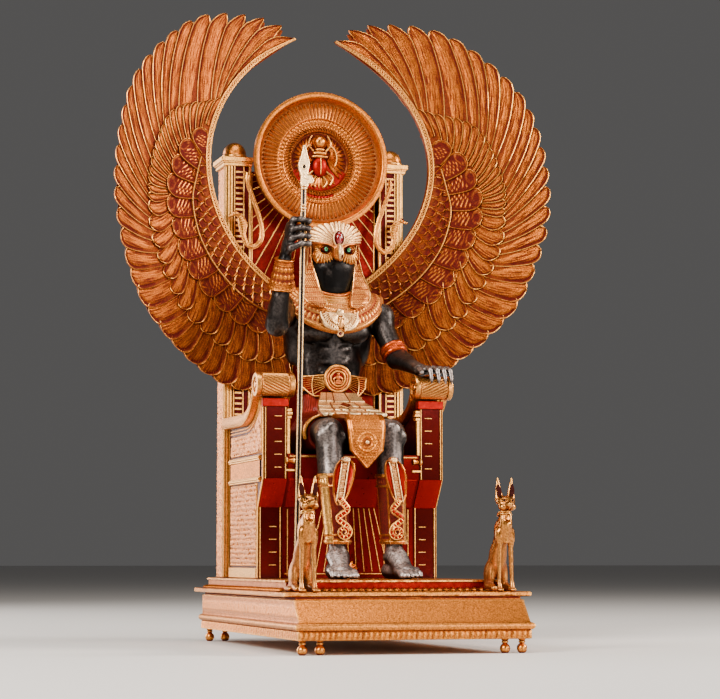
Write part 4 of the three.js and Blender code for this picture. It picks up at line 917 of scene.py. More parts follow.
def tier(casting, line, count, root_of, tip_of, bend, sharp, rise, rows, overlap=1.5, tilt=0.6, t0=0.0, t1=1.0,
         channel=None, tip_overlap=None, **more):
    """A row of feathers round the wing, even along the line. Each laps over the next."""
    cuts = evenly(line, count, t0, t1)
    for low, high in zip(cuts, cuts[1:]):
        t = (low + high) / 2
        lap = overlap(t) if callable(overlap) else overlap
        tip_lap = tip_overlap(t) if tip_overlap else lap
        back_by = (lap - 1) / 2 * (high - low)
        root, tip = root_of(t - back_by), tip_of(t - back_by)
        way = (tip - root) / np.linalg.norm(tip - root)

        def pitch(of):
            gap = of(high) - of(low)
            return abs(gap[0] * way[1] - gap[1] * way[0]) / 2
        feather(casting, root, tip, max(pitch(root_of), 0.35 * pitch(tip_of)) * lap, pitch(tip_of) * tip_lap,
                bend(t), sharp(t), rise, tilt, rows, channel=channel(t) if channel else 1.0, **more)


def between(one, two, share, sweep=0.0):
    """The line a share of the way from one line to another. sweep moves it on round the
    upper part of the wing, so that the feathers there lean upward."""
    def place(t):
        part = share(t) if callable(share) else share
        t = min(t + sweep * (1 - float(ramp(t, 0.15, 0.65))), 1)
        return on_line(one, t) + (on_line(two, t) - on_line(one, t)) * part
    return place


LONG_COUNT, COVERT_COUNT, PETAL_COUNT = 31, 23, 13
wing = Casting()
plate_u = evenly(long_line, 150)
inner_edge, scale_at = on_line(edge_line, plate_u), on_line(scale_line, plate_u)
covert_at, long_at = on_line(covert_line, plate_u), on_line(long_line, plate_u)
bend_at = 0.06
out = long_at - covert_at
half_way = covert_at + out * 0.48 + np.stack([out[:, 1], -out[:, 0]], -1) * bend_at
plate_end = covert_at + out * 0.88
front_rows = [(inner_edge, 1.4), (inner_edge, 2.2), (scale_at * 0.5 + inner_edge * 0.5, 2.0), (scale_at, 1.6),
              (covert_at, 0.7), (half_way, 0.2), (plate_end, 0.0)]


def plate_back(flat, deep):
    """The plate's rear face, kept clear of the pillar and the back panel"""
    placed = bowl(flat, -deep)
    x = flat[:, 0]
    limit = np.where(x > 90, 1e3, np.where(x > 63, POST_FRONT - 0.2, BACK_LOW[1] - 0.4))
    placed[:, 1] = np.minimum(placed[:, 1], limit)
    return placed


back_rows = [(plate_end, 1.6), (half_way, 2.4), (covert_at, 2.8), (scale_at, 3.2), (inner_edge, 3.2)]
plate = np.stack([bowl(f, r) for f, r in front_rows] + [plate_back(f, r) for f, r in back_rows], 1)
wing.grid(plate, gild=0.25, wrap=True, ends=True)


def bend_long(u):
    return 0.06


def sharp_long(u):
    return (1 - 0.5 * float(ramp(u, 0.1, 0.22))) * (1 - float(ramp(u, 0.4, 0.62)))


def wide_channel(u):
    return 1.0 + 2.6 * float(ramp(u, 0.42, 0.75))


def lap_long(u):
    return 1.32 + 0.2 * float(ramp(u, 0.5, 0.65))


def toothed_tip(t):
    """Tips that stand out past the wing's edge in its upper half"""
    at, inner = on_line(long_line, t), on_line(covert_line, t)
    out_by = 3.6 * float(ramp(t, 0.08, 0.2)) * (1 - float(ramp(t, 0.5, 0.66)))
    return at + (at - inner) / np.linalg.norm(at - inner) * out_by


tier(wing, long_line, LONG_COUNT, between(covert_line, long_line, -0.2), toothed_tip, bend_long,
     sharp_long, 0.0, 15, slope=0.2, channel=wide_channel, overlap=lap_long,
     tip_overlap=lambda t: 1.04 + 0.48 * float(ramp(t, 0.5, 0.65)))
for count, start, end in ((17, 0.1, 0.46), (14, 0.46, 1.0)):
    tier(wing, covert_line, count, between(scale_line, covert_line, -0.12, 0.07),
         lambda t: on_line(covert_line, t), lambda t: 0.05, lambda t: 0.7 * sharp_long(t), 1.5, 11, t0=start, t1=end,
         channel=lambda t: 0.5 * wide_channel(t), overlap=1.35)
tier(wing, scale_line, PETAL_COUNT, between(edge_line, scale_line, lambda t: ridge_share(t) - 0.08, 0.05),
     lambda t: on_line(scale_line, t), lambda t: 0.05, lambda t: 0.3 * sharp_long(t), 2.5, 22, style="petal",
     overlap=1.2, t0=0.2, channel=lambda t: 0.6)
tier(wing, long_line, LONG_COUNT - 1, between(covert_line, long_line, -0.05), between(covert_line, long_line, 0.97),
     bend_long, sharp_long, -0.3, 7, back=True)
tier(wing, covert_line, COVERT_COUNT - 2, between(edge_line, scale_line, 0.4), between(scale_line, covert_line, 0.9),
     lambda t: 0.04, lambda t: 0.3, 0.5, 6, back=True, t0=0.16)

SCALE_PITCH, SCALE_ROW = 9.2, 7.2


def scale(casting, root, way, side, long, wide, rise):
    """A small scale: a wire rim bent as a U round a dark hollow"""
    s = np.array([0, 0.35, 0.62, 0.84, 0.95, 1.0])[:, None]
    v = np.array([-1, -0.84, -0.7, 0, 0.7, 0.84, 1])[None, :]
    half = wide / 2 * np.array([0.9, 1, 0.96, 0.72, 0.42, 0.05])[:, None]
    rim = np.maximum(np.abs(v) > 0.75, (s > 0.9)) * 1.0
    height = rise + 0.9 * s + np.where(np.abs(v) > 0.9, 0.1, 0.75 * rim)
    height = np.broadcast_to(np.where(s > 0.97, rise + 0.9, height), (6, 7))
    flat = root + way * (long * s)[..., None] + side * (half * v)[..., None]
    points = bowl(flat, height)
    under = bowl(np.stack([flat[:, -1], flat[:, 0]], 1), np.full((6, 2), rise - 0.8))
    gild = np.concatenate([np.broadcast_to(rim, (6, 7)), np.full((6, 2), 0.1)], 1)
    # Scale rims get gild 1.15: a small painted highlight.
    casting.grid(np.concatenate([points, under], 1)[:, ::-1], gild=1.15 * gild[:, ::-1], wrap=True)


edge_fine = on_line(edge_line, np.linspace(0, 1, 1200))
edge_run = np.concatenate([[0], np.cumsum(np.linalg.norm(np.diff(edge_fine, axis=0), axis=1))])
row_count = 12
for row in range(row_count)[::-1]:
    stagger = 0.5 * (row % 2)
    for place in np.arange(SCALE_PITCH * stagger, edge_run[-1], SCALE_PITCH):
        u = float(np.interp(place, edge_run, np.linspace(0, 1, 1200)))
        start, end = on_line(edge_line, u), on_line(scale_line, u)
        span = np.linalg.norm(end - start)
        way = (end - start) / span
        room = span * float(ridge_share(u)) - BORDER + 2
        if (row + 0.7) * SCALE_ROW > room:
            continue
        ahead = on_line(edge_line, min(u + 0.003, 1)) - on_line(edge_line, max(u - 0.003, 0))
        ahead2 = on_line(scale_line, min(u + 0.003, 1)) - on_line(scale_line, max(u - 0.003, 0))
        far = (BORDER + row * SCALE_ROW) / span
        stretch = np.linalg.norm(ahead * (1 - far) + ahead2 * far) / max(np.linalg.norm(ahead), 1e-6)
        root = start + way * (BORDER + row * SCALE_ROW - 1.2)
        down = ahead / np.linalg.norm(ahead)
        way = way + 0.45 * down
        way /= np.linalg.norm(way)
        scale(wing, root, way, np.array([way[1], -way[0]]), SCALE_ROW + 2.4, SCALE_PITCH * stretch * 1.02,
              2.0)


def wing_strip(casting, flat, wide, high, rise):
    """A moulded line on the wing's bowl"""
    # gild 1.25 lays a painted highlight along the line.
    strip(casting, bowl(flat, rise), (0, -1, 0), wide, high, gild=1.25, sink=0.8)


BORDER_TIP = 53.0
border_angle = np.radians(np.linspace(BORDER_TIP, EDGE_ANGLES[-1], 420))
border_edge = np.stack([EDGE_X + EDGE_RX * np.cos(border_angle), EDGE_Z + EDGE_RZ * np.sin(border_angle)], -1)
border_out = np.stack([np.cos(border_angle) / EDGE_RX, np.sin(border_angle) / EDGE_RZ], -1)
border_out *= (BORDER - 0.25 * BORDER * 3 * ramp(np.degrees(border_angle), 38, BORDER_TIP))[:, None] \
    / np.linalg.norm(border_out, axis=1)[:, None]
border_run = np.concatenate([[0], np.cumsum(np.linalg.norm(np.diff(border_edge, axis=0), axis=1))])


def outside(points):
    """The same points, moved out of the opening inside the wing's inner edge"""
    away = points[:, [0, 2]] - (EDGE_X, EDGE_Z)
    reach = np.hypot(away[:, 0] / EDGE_RX, away[:, 1] / EDGE_RZ)
    moved = points.copy()
    short = (reach < 1) & (points[:, 2] > edge_line[0, 1] - 30)
    moved[short, 0] = EDGE_X + away[short, 0] / reach[short]
    moved[short, 2] = EDGE_Z + away[short, 1] / reach[short]
    return moved


wing.points = [outside(points) for points in wing.points]
tip_part = np.degrees(border_angle) > EDGE_ANGLES[0] - 6
tip_in, tip_out = border_edge[tip_part], (border_edge + border_out)[tip_part]
wing.grid(np.stack([bowl(tip_in, 2.3), bowl(tip_out, 2.3), bowl(tip_out, -1.4), bowl(tip_in, -1.4)], 1), gild=0.3,
          wrap=True, ends=True)
for across in (0.13, 0.84):
    wing_strip(wing, border_edge + border_out * across, 1.4, 0.9, 2.3)
for way in (-1, 1):
    for place in np.arange(1.5, border_run[-1] - 2, 3.0):
        at = np.interp([place - way * 1.4, place + way * 1.4], border_run, np.arange(420))
        (a, b), (o, q) = ([[np.interp(k, np.arange(420), line[:, j]) for j in (0, 1)] for k in at]
                          for line in (border_edge, border_out))
        wing_strip(wing, np.array([a, b]) + np.array([o, q]) * [[0.22], [0.75]], 0.8, 0.55, 2.3)
border_u = np.linspace(0, 1, 300)
edge_at, scale_far = on_line(edge_line, border_u), on_line(scale_line, border_u)
ridge_flat = edge_at + (scale_far - edge_at) * ridge_share(border_u)[:, None]
wing_strip(wing, ridge_flat[90:], 1.6, 1.5, 3.2)

feather_gold = gilt_metal("feather_gold", metal=(0.39, 0.103, 0.012), cover=0.75, rough=0.3, grain=0.5,
                          grain_scale=520.0, bright=(0.9, 0.42, 0.09))


def barbs(material, pitch=1.15, strength=0.55):
    """Fine slanting barbs on a feather's vane, from the distances kept in lay, with painted shade in the grooves
    between them and random dark streaks
    """
    tree = material.node_tree
    shader = tree.nodes["Principled BSDF"]
    lay = node_in(tree, "ShaderNodeAttribute", attribute_name="lay").outputs["Vector"]
    parts = node_in(tree, "ShaderNodeSeparateXYZ", in0=lay)
    aside = node_in(tree, "ShaderNodeMath", operation="ABSOLUTE", in0=parts.outputs[0])
    slant = node_in(tree, "ShaderNodeMath", operation="MULTIPLY_ADD", in0=aside.outputs[0], in1=-0.9,
                    in2=parts.outputs[1])
    place = node_in(tree, "ShaderNodeTexCoord").outputs["Object"]
    drift = node_in(tree, "ShaderNodeTexNoise", Vector=place, Scale=160.0, Detail=2.0).outputs["Fac"]
    shift = node_in(tree, "ShaderNodeMath", operation="MULTIPLY_ADD", in0=drift, in1=1.4, in2=slant.outputs[0])
    turn = node_in(tree, "ShaderNodeMath", operation="MULTIPLY", in0=shift.outputs[0], in1=2 * math.pi / pitch)
    wave = node_in(tree, "ShaderNodeMath", operation="SINE", in0=turn.outputs[0])
    cut = node_in(tree, "ShaderNodeMapRange", in0=wave.outputs[0], in1=-1.0, in2=0.3, in3=0.0, in4=1.0)
    faded = node_in(tree, "ShaderNodeMix", data_type="FLOAT", in0=parts.outputs[2], in2=1.0, in3=cut.outputs[0])
    bump = node_in(tree, "ShaderNodeBump", Strength=strength, Distance=0.0006, Height=faded.outputs[0])
    grain = shader.inputs["Normal"].links[0].from_socket
    tree.links.new(grain, bump.inputs["Normal"])
    tree.links.new(bump.outputs[0], shader.inputs["Normal"])
    gilding = next(n for n in tree.nodes if n.type == "GROUP")
    # deep darkens the grooves between barbs: painted shade. stain adds random dark streaks on the vane.
    deep = node_in(tree, "ShaderNodeMapRange", in0=faded.outputs[0], in1=0.0, in2=1.0, in3=0.34, in4=0.0)
    stretch = node_in(tree, "ShaderNodeCombineXYZ", in0=parts.outputs[0], in1=parts.outputs[1])
    stretched = node_in(tree, "ShaderNodeVectorMath", operation="MULTIPLY", in0=stretch.outputs[0], in1=(0.9, 0.07, 1))
    offset = node_in(tree, "ShaderNodeVectorMath", operation="MULTIPLY_ADD", in0=place, in1=(9, 9, 9),
                     in2=stretched.outputs[0])
    streak = node_in(tree, "ShaderNodeTexNoise", Vector=offset.outputs[0], Scale=1.0, Detail=3.0).outputs["Fac"]
    stain = node_in(tree, "ShaderNodeMapRange", in0=streak, in1=0.4, in2=0.64, in3=0.0, in4=0.62)
    both = node_in(tree, "ShaderNodeMath", operation="MULTIPLY_ADD", in0=stain.outputs[0], in1=parts.outputs[2],
                   in2=deep.outputs[0])
    tree.links.new(both.outputs[0], gilding.inputs["Cut"])


barbs(feather_gold)
wing.build("feathered_wing_right", [feather_gold], "gold", ["wing_right"], crease=50)
wing.mirror().build("feathered_wing_left", [feather_gold], "gold", ["wing_left"], crease=50)

# Sun disc. A deep dish with a smooth bright rim, a ring of long thin flutes, rings of
# beads and rope, and in the middle a winged beetle that lifts a small sun.
DISC_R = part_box("sun_disc")[1].x / MM
DISC_FRONT, DISC_BACK = (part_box("sun_disc")[k].y / MM for k in (0, 1))
DISC_FLOOR = 126.5
FLUTES, BEADS, TICKS = 84, 60, 72


def disc_height(r, around):
    """Height of the disc's front above its floor, and how bare the gold is there"""
    def ring(low, high):
        return ramp(r, low - 0.3, low + 0.3) * (1 - ramp(r, high - 0.3, high + 0.3))
    share = r / DISC_R
    rim = ring(60.5, 67)
    dish = 3 + 6.5 * ramp(r, 56, 62.5)
    height = dish + rim * 0.9 * np.sqrt(np.clip(1 - ((r - 63.8) / 3.2) ** 2, 0, 1))
    gild = np.where(r > 56, 0.15 + 0.9 * ramp(r, 57, 61), 0.1)
    flute = np.abs(np.cos(around * FLUTES / 2)) ** (3.2 - 1.6 * ramp(54 - r, 0, 12))
    long = ring(42.2, 56.5)
    head = np.exp(-((r - 54.8) / 1.7) ** 2)
    height = height + long * flute * (1.6 + 0.8 * head)
    gild = np.where(long > 0.5, 0.05 + flute * (0.85 + 0.3 * head), gild)
    for line_r, wide, high in ((41.3, 0.8, 1.9), (36.8, 0.6, 1.5), (33.3, 0.5, 1.6), (29.4, 0.5, 1.8)):
        line = np.exp(-((r - line_r) / wide) ** 2)
        height = height + line * high
        gild = np.maximum(gild, line * 1.1)
    bead = np.abs(np.cos(around * BEADS / 2)) ** 0.8 * np.exp(-((r - 39.0) / 1.4) ** 2)
    tick = np.abs(np.cos(around * TICKS / 2)) ** 3 * ring(34.2, 36.2)
    cord = (0.45 + 0.55 * np.sin(around * 72 + r * 1.5)) * np.sqrt(np.clip(1 - ((r - 31.3) / 1.9) ** 2, 0, 1))
    height = height + 1.7 * bead + 1.0 * tick + 2.4 * cord
    gild = np.maximum(gild, np.maximum(bead * 1.1, np.maximum(tick, cord)))
    height = height - 1.5 * (1 - ramp(r, 27.6, 29))
    return height * np.clip(share * 60, 0, 1), np.clip(gild, 0, 1)


disc = Casting()
radii = np.concatenate([np.linspace(0.2, 25, 6), np.arange(25.6, 43, 0.52), np.arange(43.4, 55, 0.95),
                        np.linspace(55.4, 60, 8), np.linspace(60.4, DISC_R - 0.1, 12)])
around = np.linspace(0, 2 * np.pi, FLUTES * 6, endpoint=False)
r_grid, a_grid = np.meshgrid(radii, around, indexing="ij")
height, shade = disc_height(r_grid, a_grid)
height = np.minimum(height, DISC_FLOOR - DISC_FRONT)
face = np.stack([r_grid * np.sin(a_grid), DISC_FLOOR - height, DISC_Z + r_grid * np.cos(a_grid)], -1)
edge_rows = []
for r, y in ((DISC_R, DISC_FRONT + 2.2), (DISC_R, 121), (DISC_R - 3, 125), (56, 128), (38, DISC_BACK - 1.6),
             (36, DISC_BACK - 0.4), (30, DISC_BACK - 0.4), (28.5, DISC_BACK - 1.4), (10, DISC_BACK - 1.4),
             (0.2, DISC_BACK - 1.4)):
    edge_rows.append(np.stack([r * np.sin(around), np.full(len(around), y), DISC_Z + r * np.cos(around)], -1))
face = np.concatenate([face, np.array(edge_rows)], 0)
shade = np.concatenate([shade, np.ones((len(edge_rows), len(around)))], 0)
disc.grid(face[::-1], gild=shade[::-1], wrap=True, ends=True)
low_ring = (radii[:-1] + radii[1:]) / 2
red_band = ((low_ring > 33.6) & (low_ring < 36.6))[:, None] & (np.abs(around - np.pi) < 0.42)[None, :]
red_field = (low_ring < 28.5)[:, None] & (np.abs(around - np.pi) < 1.2)[None, :]
looks = np.zeros((len(radii) - 1 + len(edge_rows), len(around)), int)
looks[:len(radii) - 1] = red_band | red_field
disc.quad_looks[-1] = looks[::-1].ravel()


def ball(casting, centre, radius, gild=1.0, look=0, rows=12, sides=20):
    """A ball or an egg, radius one number or three"""
    centre, radius = np.asarray(centre, float), np.broadcast_to(radius, 3)
    tilt = np.linspace(0.02, np.pi - 0.02, rows)[:, None]
    turn = np.linspace(0, 2 * np.pi, sides, endpoint=False)[None, :]
    unit = np.stack(np.broadcast_arrays(np.sin(tilt) * np.cos(turn), np.sin(tilt) * np.sin(turn), np.cos(tilt)), -1)
    casting.grid((centre + unit * radius)[::-1], gild=gild, look=look, wrap=True, ends=True)


def flat_wing(casting, root, lines, y, rise=1.2, gild=1.0, look=0):
    """Small feathers that fan from near the root: each line is (start, end, half width) in XZ"""
    for start, end, half in lines:
        start, end = np.array(start, float), np.array(end, float)
        way = (end - start) / np.linalg.norm(end - start)
        leaf(casting, (root[0] + start[0], y, root[1] + start[1]), (way[0], 0, way[1]), (-way[1], 0, way[0]),
             (0, -1, 0), np.linalg.norm(end - start), half * 2, rise, gild=gild, look=look)


beetle_y = DISC_FLOOR - 2.2
BEETLE = 1.2


def beetle_place(x, out, z):
    """A place on the beetle, in its own size"""
    return np.array([x * BEETLE, beetle_y - out, DISC_Z + z * BEETLE])


ball(disc, beetle_place(0, 2.4, 15.5), (5.6, 4.4, 5.6), look=2, rows=18, sides=28)
turned(disc, [(7.3, 0.5), (7.0, -1.6), (6.0, -2.6), (5.4, -1.2)], beetle_place(0, 0, 15.5), sides=32, axis=1)
ball(disc, beetle_place(0, 1.5, -4.5), (7.4, 4.8, 10), look=1, rows=18, sides=28)
for z, w in ((9.2, 5.2), (6.4, 7.2), (3.6, 8.4)):
    ball(disc, beetle_place(0, 2.2, z), (w, 3.4, 1.9), rows=10, sides=24)
strip(disc, [beetle_place(0, 5.9, 2), beetle_place(0, 6.5, -4), beetle_place(0, 5.2, -11)], (0, -1, 0), 0.8, 0.5)
for side in (-1, 1):
    fan = []
    for k in range(12):
        a = math.radians(-38 + 11 * k)
        near = (side * (6.5 + 0.45 * k) * BEETLE, (1 + 0.5 * k) * BEETLE)
        reach = 27.4 - 0.25 * abs(k - 5)
        fan.append((near, (side * reach * math.cos(a), reach * math.sin(a)), 1.9))
    flat_wing(disc, (0, DISC_Z), fan, beetle_y, rise=1.6)
    arc = [beetle_place(side * (7 + 7 * math.cos(a)), 1.6, 3 + 10 * math.sin(a)) for a in np.linspace(-0.7, 1.4, 12)]
    strip(disc, arc, (0, -1, 0), 2.0, 1.5)
    for start, middle, end in (((5, 8), (9.5, 14), (6.5, 21)), ((5.5, -8), (11, -13), (9, -19)),
                               ((3, -12), (6, -17), (3.5, -21))):
        leg = smooth_path([beetle_place(side * start[0], 1.2, start[1]), beetle_place(side * middle[0], 2, middle[1]),
                           beetle_place(side * end[0], 1.2, end[1])], 9)
        bar(disc, leg, 0.85, sides=8)
for k in range(-4, 5):
    a = math.radians(9 * k)
    flat_wing(disc, (0, DISC_Z), [((13 * math.sin(a), -13 * math.cos(a) - 2), (27 * math.sin(a), -27 * math.cos(a)),
                                   1.7)], beetle_y + 0.4, rise=0.9)
for r, ribs in ((34, 12), (26, 8)):
    for k in range(ribs):
        a = 2 * math.pi * k / ribs
        strip(disc, [(r * math.sin(a) * f, DISC_BACK - (1.0 if f < 1 else 2.2), DISC_Z + r * math.cos(a) * f)
                     for f in (0.5, 0.98)], (0, 1, 0), 2.2, 0.7)
disc.build("beetle_sun_disc", [gold, bright_enamel, smooth_gold], "gold", ["sun_disc"])

# Figure. A muscular seated body in black polished resin, one hand closed round the staff
# and the other on the right-hand roll. It is modelled from soft lumps.


class Clay:
    """A form kept as distances on a grid, built up from soft-edged lumps"""
    FAR = 30.0

    def __init__(self, low, high, cell):
        self.low, self.cell = np.array(low, float), cell
        self.size = np.ceil((np.array(high) - self.low) / cell).astype(int) + 1
        self.field = np.full(self.size, self.FAR, np.float32)

    def window(self, low, high, reach):
        """The part of the grid round a lump, and the places in it"""
        first = np.clip(np.floor((np.asarray(low) - reach - self.low) / self.cell).astype(int), 0, self.size)
        last = np.clip(np.ceil((np.asarray(high) + reach - self.low) / self.cell).astype(int) + 1, 0, self.size)
        where = tuple(slice(a, b) for a, b in zip(first, last))
        axes = [self.low[k] + self.cell * np.arange(first[k], last[k]) for k in range(3)]
        return where, np.ix_(*axes)

    def blend(self, where, lump, soft, cut):
        old = self.field[where]
        if cut:
            share = np.clip(0.5 - 0.5 * (lump + old) / soft, 0, 1)
            new = old * (1 - share) - lump * share + soft * share * (1 - share)
        else:
            share = np.clip(0.5 + 0.5 * (lump - old) / soft, 0, 1)
            new = lump * (1 - share) + old * share - soft * share * (1 - share)
        self.field[where] = new

    def egg(self, centre, radii, soft=3.0, cut=False):
        """An ellipsoid"""
        radii = np.broadcast_to(np.asarray(radii, float), 3)
        where, place = self.window(np.array(centre) - radii, np.array(centre) + radii, soft + 2.5 * self.cell)
        scaled = [(p - c) / r for p, c, r in zip(place, centre, radii)]
        one = np.sqrt(sum(v * v for v in scaled))
        two = np.sqrt(sum((v / r) ** 2 for v, r in zip(scaled, radii)))
        self.blend(where, one * (one - 1) / np.maximum(two, 1e-6), soft, cut)
        return self

    def limb(self, a, b, ra, rb, soft=3.0, cut=False, flat=(1, 1, 1)):
        """A round bar that tapers from a to b, flattened along the axes by flat"""
        flat = np.array(flat, float)
        a, b = np.array(a, float), np.array(b, float)
        big = max(ra, rb) * flat
        where, place = self.window(np.minimum(a, b) - big, np.maximum(a, b) + big, soft + 2.5 * self.cell)
        start, way = a / flat, (b - a) / flat
        offset = [p / f - s for p, f, s in zip(place, flat, start)]
        along = np.clip(sum(o * w for o, w in zip(offset, way)) / max(way @ way, 1e-9), 0, 1)
        away = np.sqrt(sum((o - w * along) ** 2 for o, w in zip(offset, way)))
        self.blend(where, (away - ra - (rb - ra) * along) * flat.min(), soft, cut)
        return self

    def chain(self, points, radii, soft=1.5, cut=False, flat=(1, 1, 1)):
        for a, b, ra, rb in zip(points, points[1:], radii, radii[1:]):
            self.limb(a, b, ra, rb, soft, cut, flat)
        return self

    def keep(self, axis, value, side):
        """Cuts off all below value on the axis (side 1) or above it (side -1)"""
        shape = [1, 1, 1]
        shape[axis] = -1
        place = (self.low[axis] + self.cell * np.arange(self.size[axis])).reshape(shape)
        self.field = np.maximum(self.field, side * (value - place)).astype(np.float32)
        return self

    def into(self, casting, gild=1.0, look=0):
        """Adds the form's skin to a casting"""
        grid = vdb.FloatGrid(self.FAR)
        grid.copyFromArray(self.field)
        points, tris, quads = grid.convertToPolygons(isovalue=0.0, adaptivity=0.02)
        points = points * self.cell + self.low
        tris, quads = tris.astype(int).reshape(-1, 3), quads.astype(int).reshape(-1, 4)
        corner = points[quads]
        volume = np.einsum("ij,ij->i", corner[:, 0], np.cross(corner[:, 1], corner[:, 2])).sum()
        if volume < 0:
            tris, quads = tris[:, ::-1], quads[:, ::-1]
        casting.add(points, quads, tris, gild=gild, look=look)


SHOULDER_R, ELBOW_R, WRIST_R = (-45, 83, 310), (-66, 26, 291), (-65, 5, 347)
SHOULDER_L, ELBOW_L, WRIST_L = (46, 84, 308), (58.5, 60, 265), (65, 10, 251)
KNEE_X, KNEE_Y, KNEE_Z, ANKLE_X, ANKLE_Y, ANKLE_Z = 28.5, -15, 191.5, 26, -36, 82


def on_bone(a, b, share, offset=(0, 0, 0)):
    """A place along a bone, moved off it"""
    return tuple(p + (q - p) * share + o for p, q, o in zip(a, b, offset))


def model_torso(clay):
    clay.limb((0, 88, 196), (0, 87, 228), 24, 21, flat=(1.12, 0.8, 0.8))
    clay.limb((0, 87, 228), (0, 86, 262), 22, 25, flat=(1.05, 0.72, 0.8))
    clay.limb((0, 86, 262), (0, 88, 292), 26, 33, flat=(1.08, 0.62, 0.62), soft=6)
    clay.limb((-40, 87, 308), (40, 87, 308), 10, 10, soft=6, flat=(1, 1.1, 1))
    clay.egg((0, 92, 298), (38, 14, 20), soft=6)
    clay.limb((0, 67.5, 279.5), (0, 66.4, 277), 2.0, 1.6, soft=1.5, cut=True)
    for s in (-1, 1):
        clay.egg((s * 17, 73.5, 290.5), (18, 12.4, 12.4), soft=0.8)
        clay.egg((s * 33, 95, 284), (9, 14, 24), soft=5)
        clay.egg((s * 30, 80, 300), (10, 9, 9), soft=4)
        clay.limb((s * 34, 90, 296), (s * 24, 88, 254), 8, 4, soft=6)
        for k, (z, y) in enumerate(((273.5, 72.6), (262.0, 71.8), (251.0, 71.6))):
            clay.egg((s * 8.2, y + 1.0, z), (8.2 - 0.7 * k, 6.0, 5.8), soft=1.0)
        for k in range(4):
            z = 279 - 6.5 * k
            clay.limb((s * 15, 74, z + 1.5), (s * (27 - k), 83, z + 4), 3.0, 3.4, soft=1)
        clay.limb((s * 4, 71.5, 281), (s * 20, 75.5, 271), 3.0, 2.2, soft=1)
        clay.limb((s * 22, 80, 262), (s * 20, 78, 240), 6, 6, soft=3)
        clay.limb((s * 3, 74, 325), (s * 36, 84, 318), 3, 3, soft=3)
        clay.egg((s * 14, 101, 300), (13, 8, 16), soft=4)
        clay.limb((s * 7, 103, 282), (s * 7, 104, 240), 6, 5, soft=4)
    clay.limb((0, 63.4, 302), (0, 66, 280), 2.3, 2.0, soft=1.6, cut=True)
    clay.limb((0, 65.6, 277), (0, 65.8, 244), 2.0, 2.0, soft=1.5, cut=True)
    for s in (-1, 1):
        for z in (267.8, 256.6):
            clay.limb((s * 1, 65.4, z), (s * 14, 68.6, z + 1.2), 1.3, 1.2, soft=1.2, cut=True)
        clay.limb((s * 3, 66.0, 278.2), (s * 22, 71.8, 281.5), 1.7, 1.5, soft=1.6, cut=True)
    clay.chain([(0, 86, 318), (0, 83, 334), (0, 82, 350), (0, 84, 366)], [16.5, 20, 22.4, 19], soft=4)


def model_arms(clay):
    for side, shoulder, elbow, wrist in ((-1, SHOULDER_R, ELBOW_R, WRIST_R), (1, SHOULDER_L, ELBOW_L, WRIST_L)):
        clay.egg(on_bone(shoulder, elbow, 0.1, (side * 2.5, 0, 2)), (12.5, 14, 14), soft=4)
        stout = 1.6 if side < 0 else 0.4
        clay.limb(shoulder, elbow, 11.5 + stout, 8.4 + stout, soft=4)
        outer = (side * 3.4, 2, 2.5)
        inner = (side * -1.5, -3.6, 3.4 if side < 0 else 0)
        clay.limb(on_bone(shoulder, elbow, 0.32, inner), on_bone(shoulder, elbow, 0.72, inner), 7.4 + stout, 6.6 + stout, soft=2)
        clay.limb(on_bone(shoulder, elbow, 0.3, outer), on_bone(shoulder, elbow, 0.85, outer), 6.8 + stout, 5.4 + stout, soft=2)
        clay.egg(elbow, 8.8 + stout, soft=3)
        clay.limb(elbow, wrist, 8.6 + stout, 5.8, soft=3)
        swell = (side * 2.2, -2.2 if side < 0 else 2, -1 if side < 0 else 2.6)
        clay.limb(on_bone(elbow, wrist, 0.1, swell), on_bone(elbow, wrist, 0.45, swell), 7.8 + stout, 6.4, soft=2)
        clay.limb(on_bone(elbow, wrist, 0.15, (side * -2.4, 0, 0)), on_bone(elbow, wrist, 0.5, (side * -2, 0, 0)),
                  6.8, 5.2, soft=2)


STAFF_AT_HAND = (-49.5, 0.2)


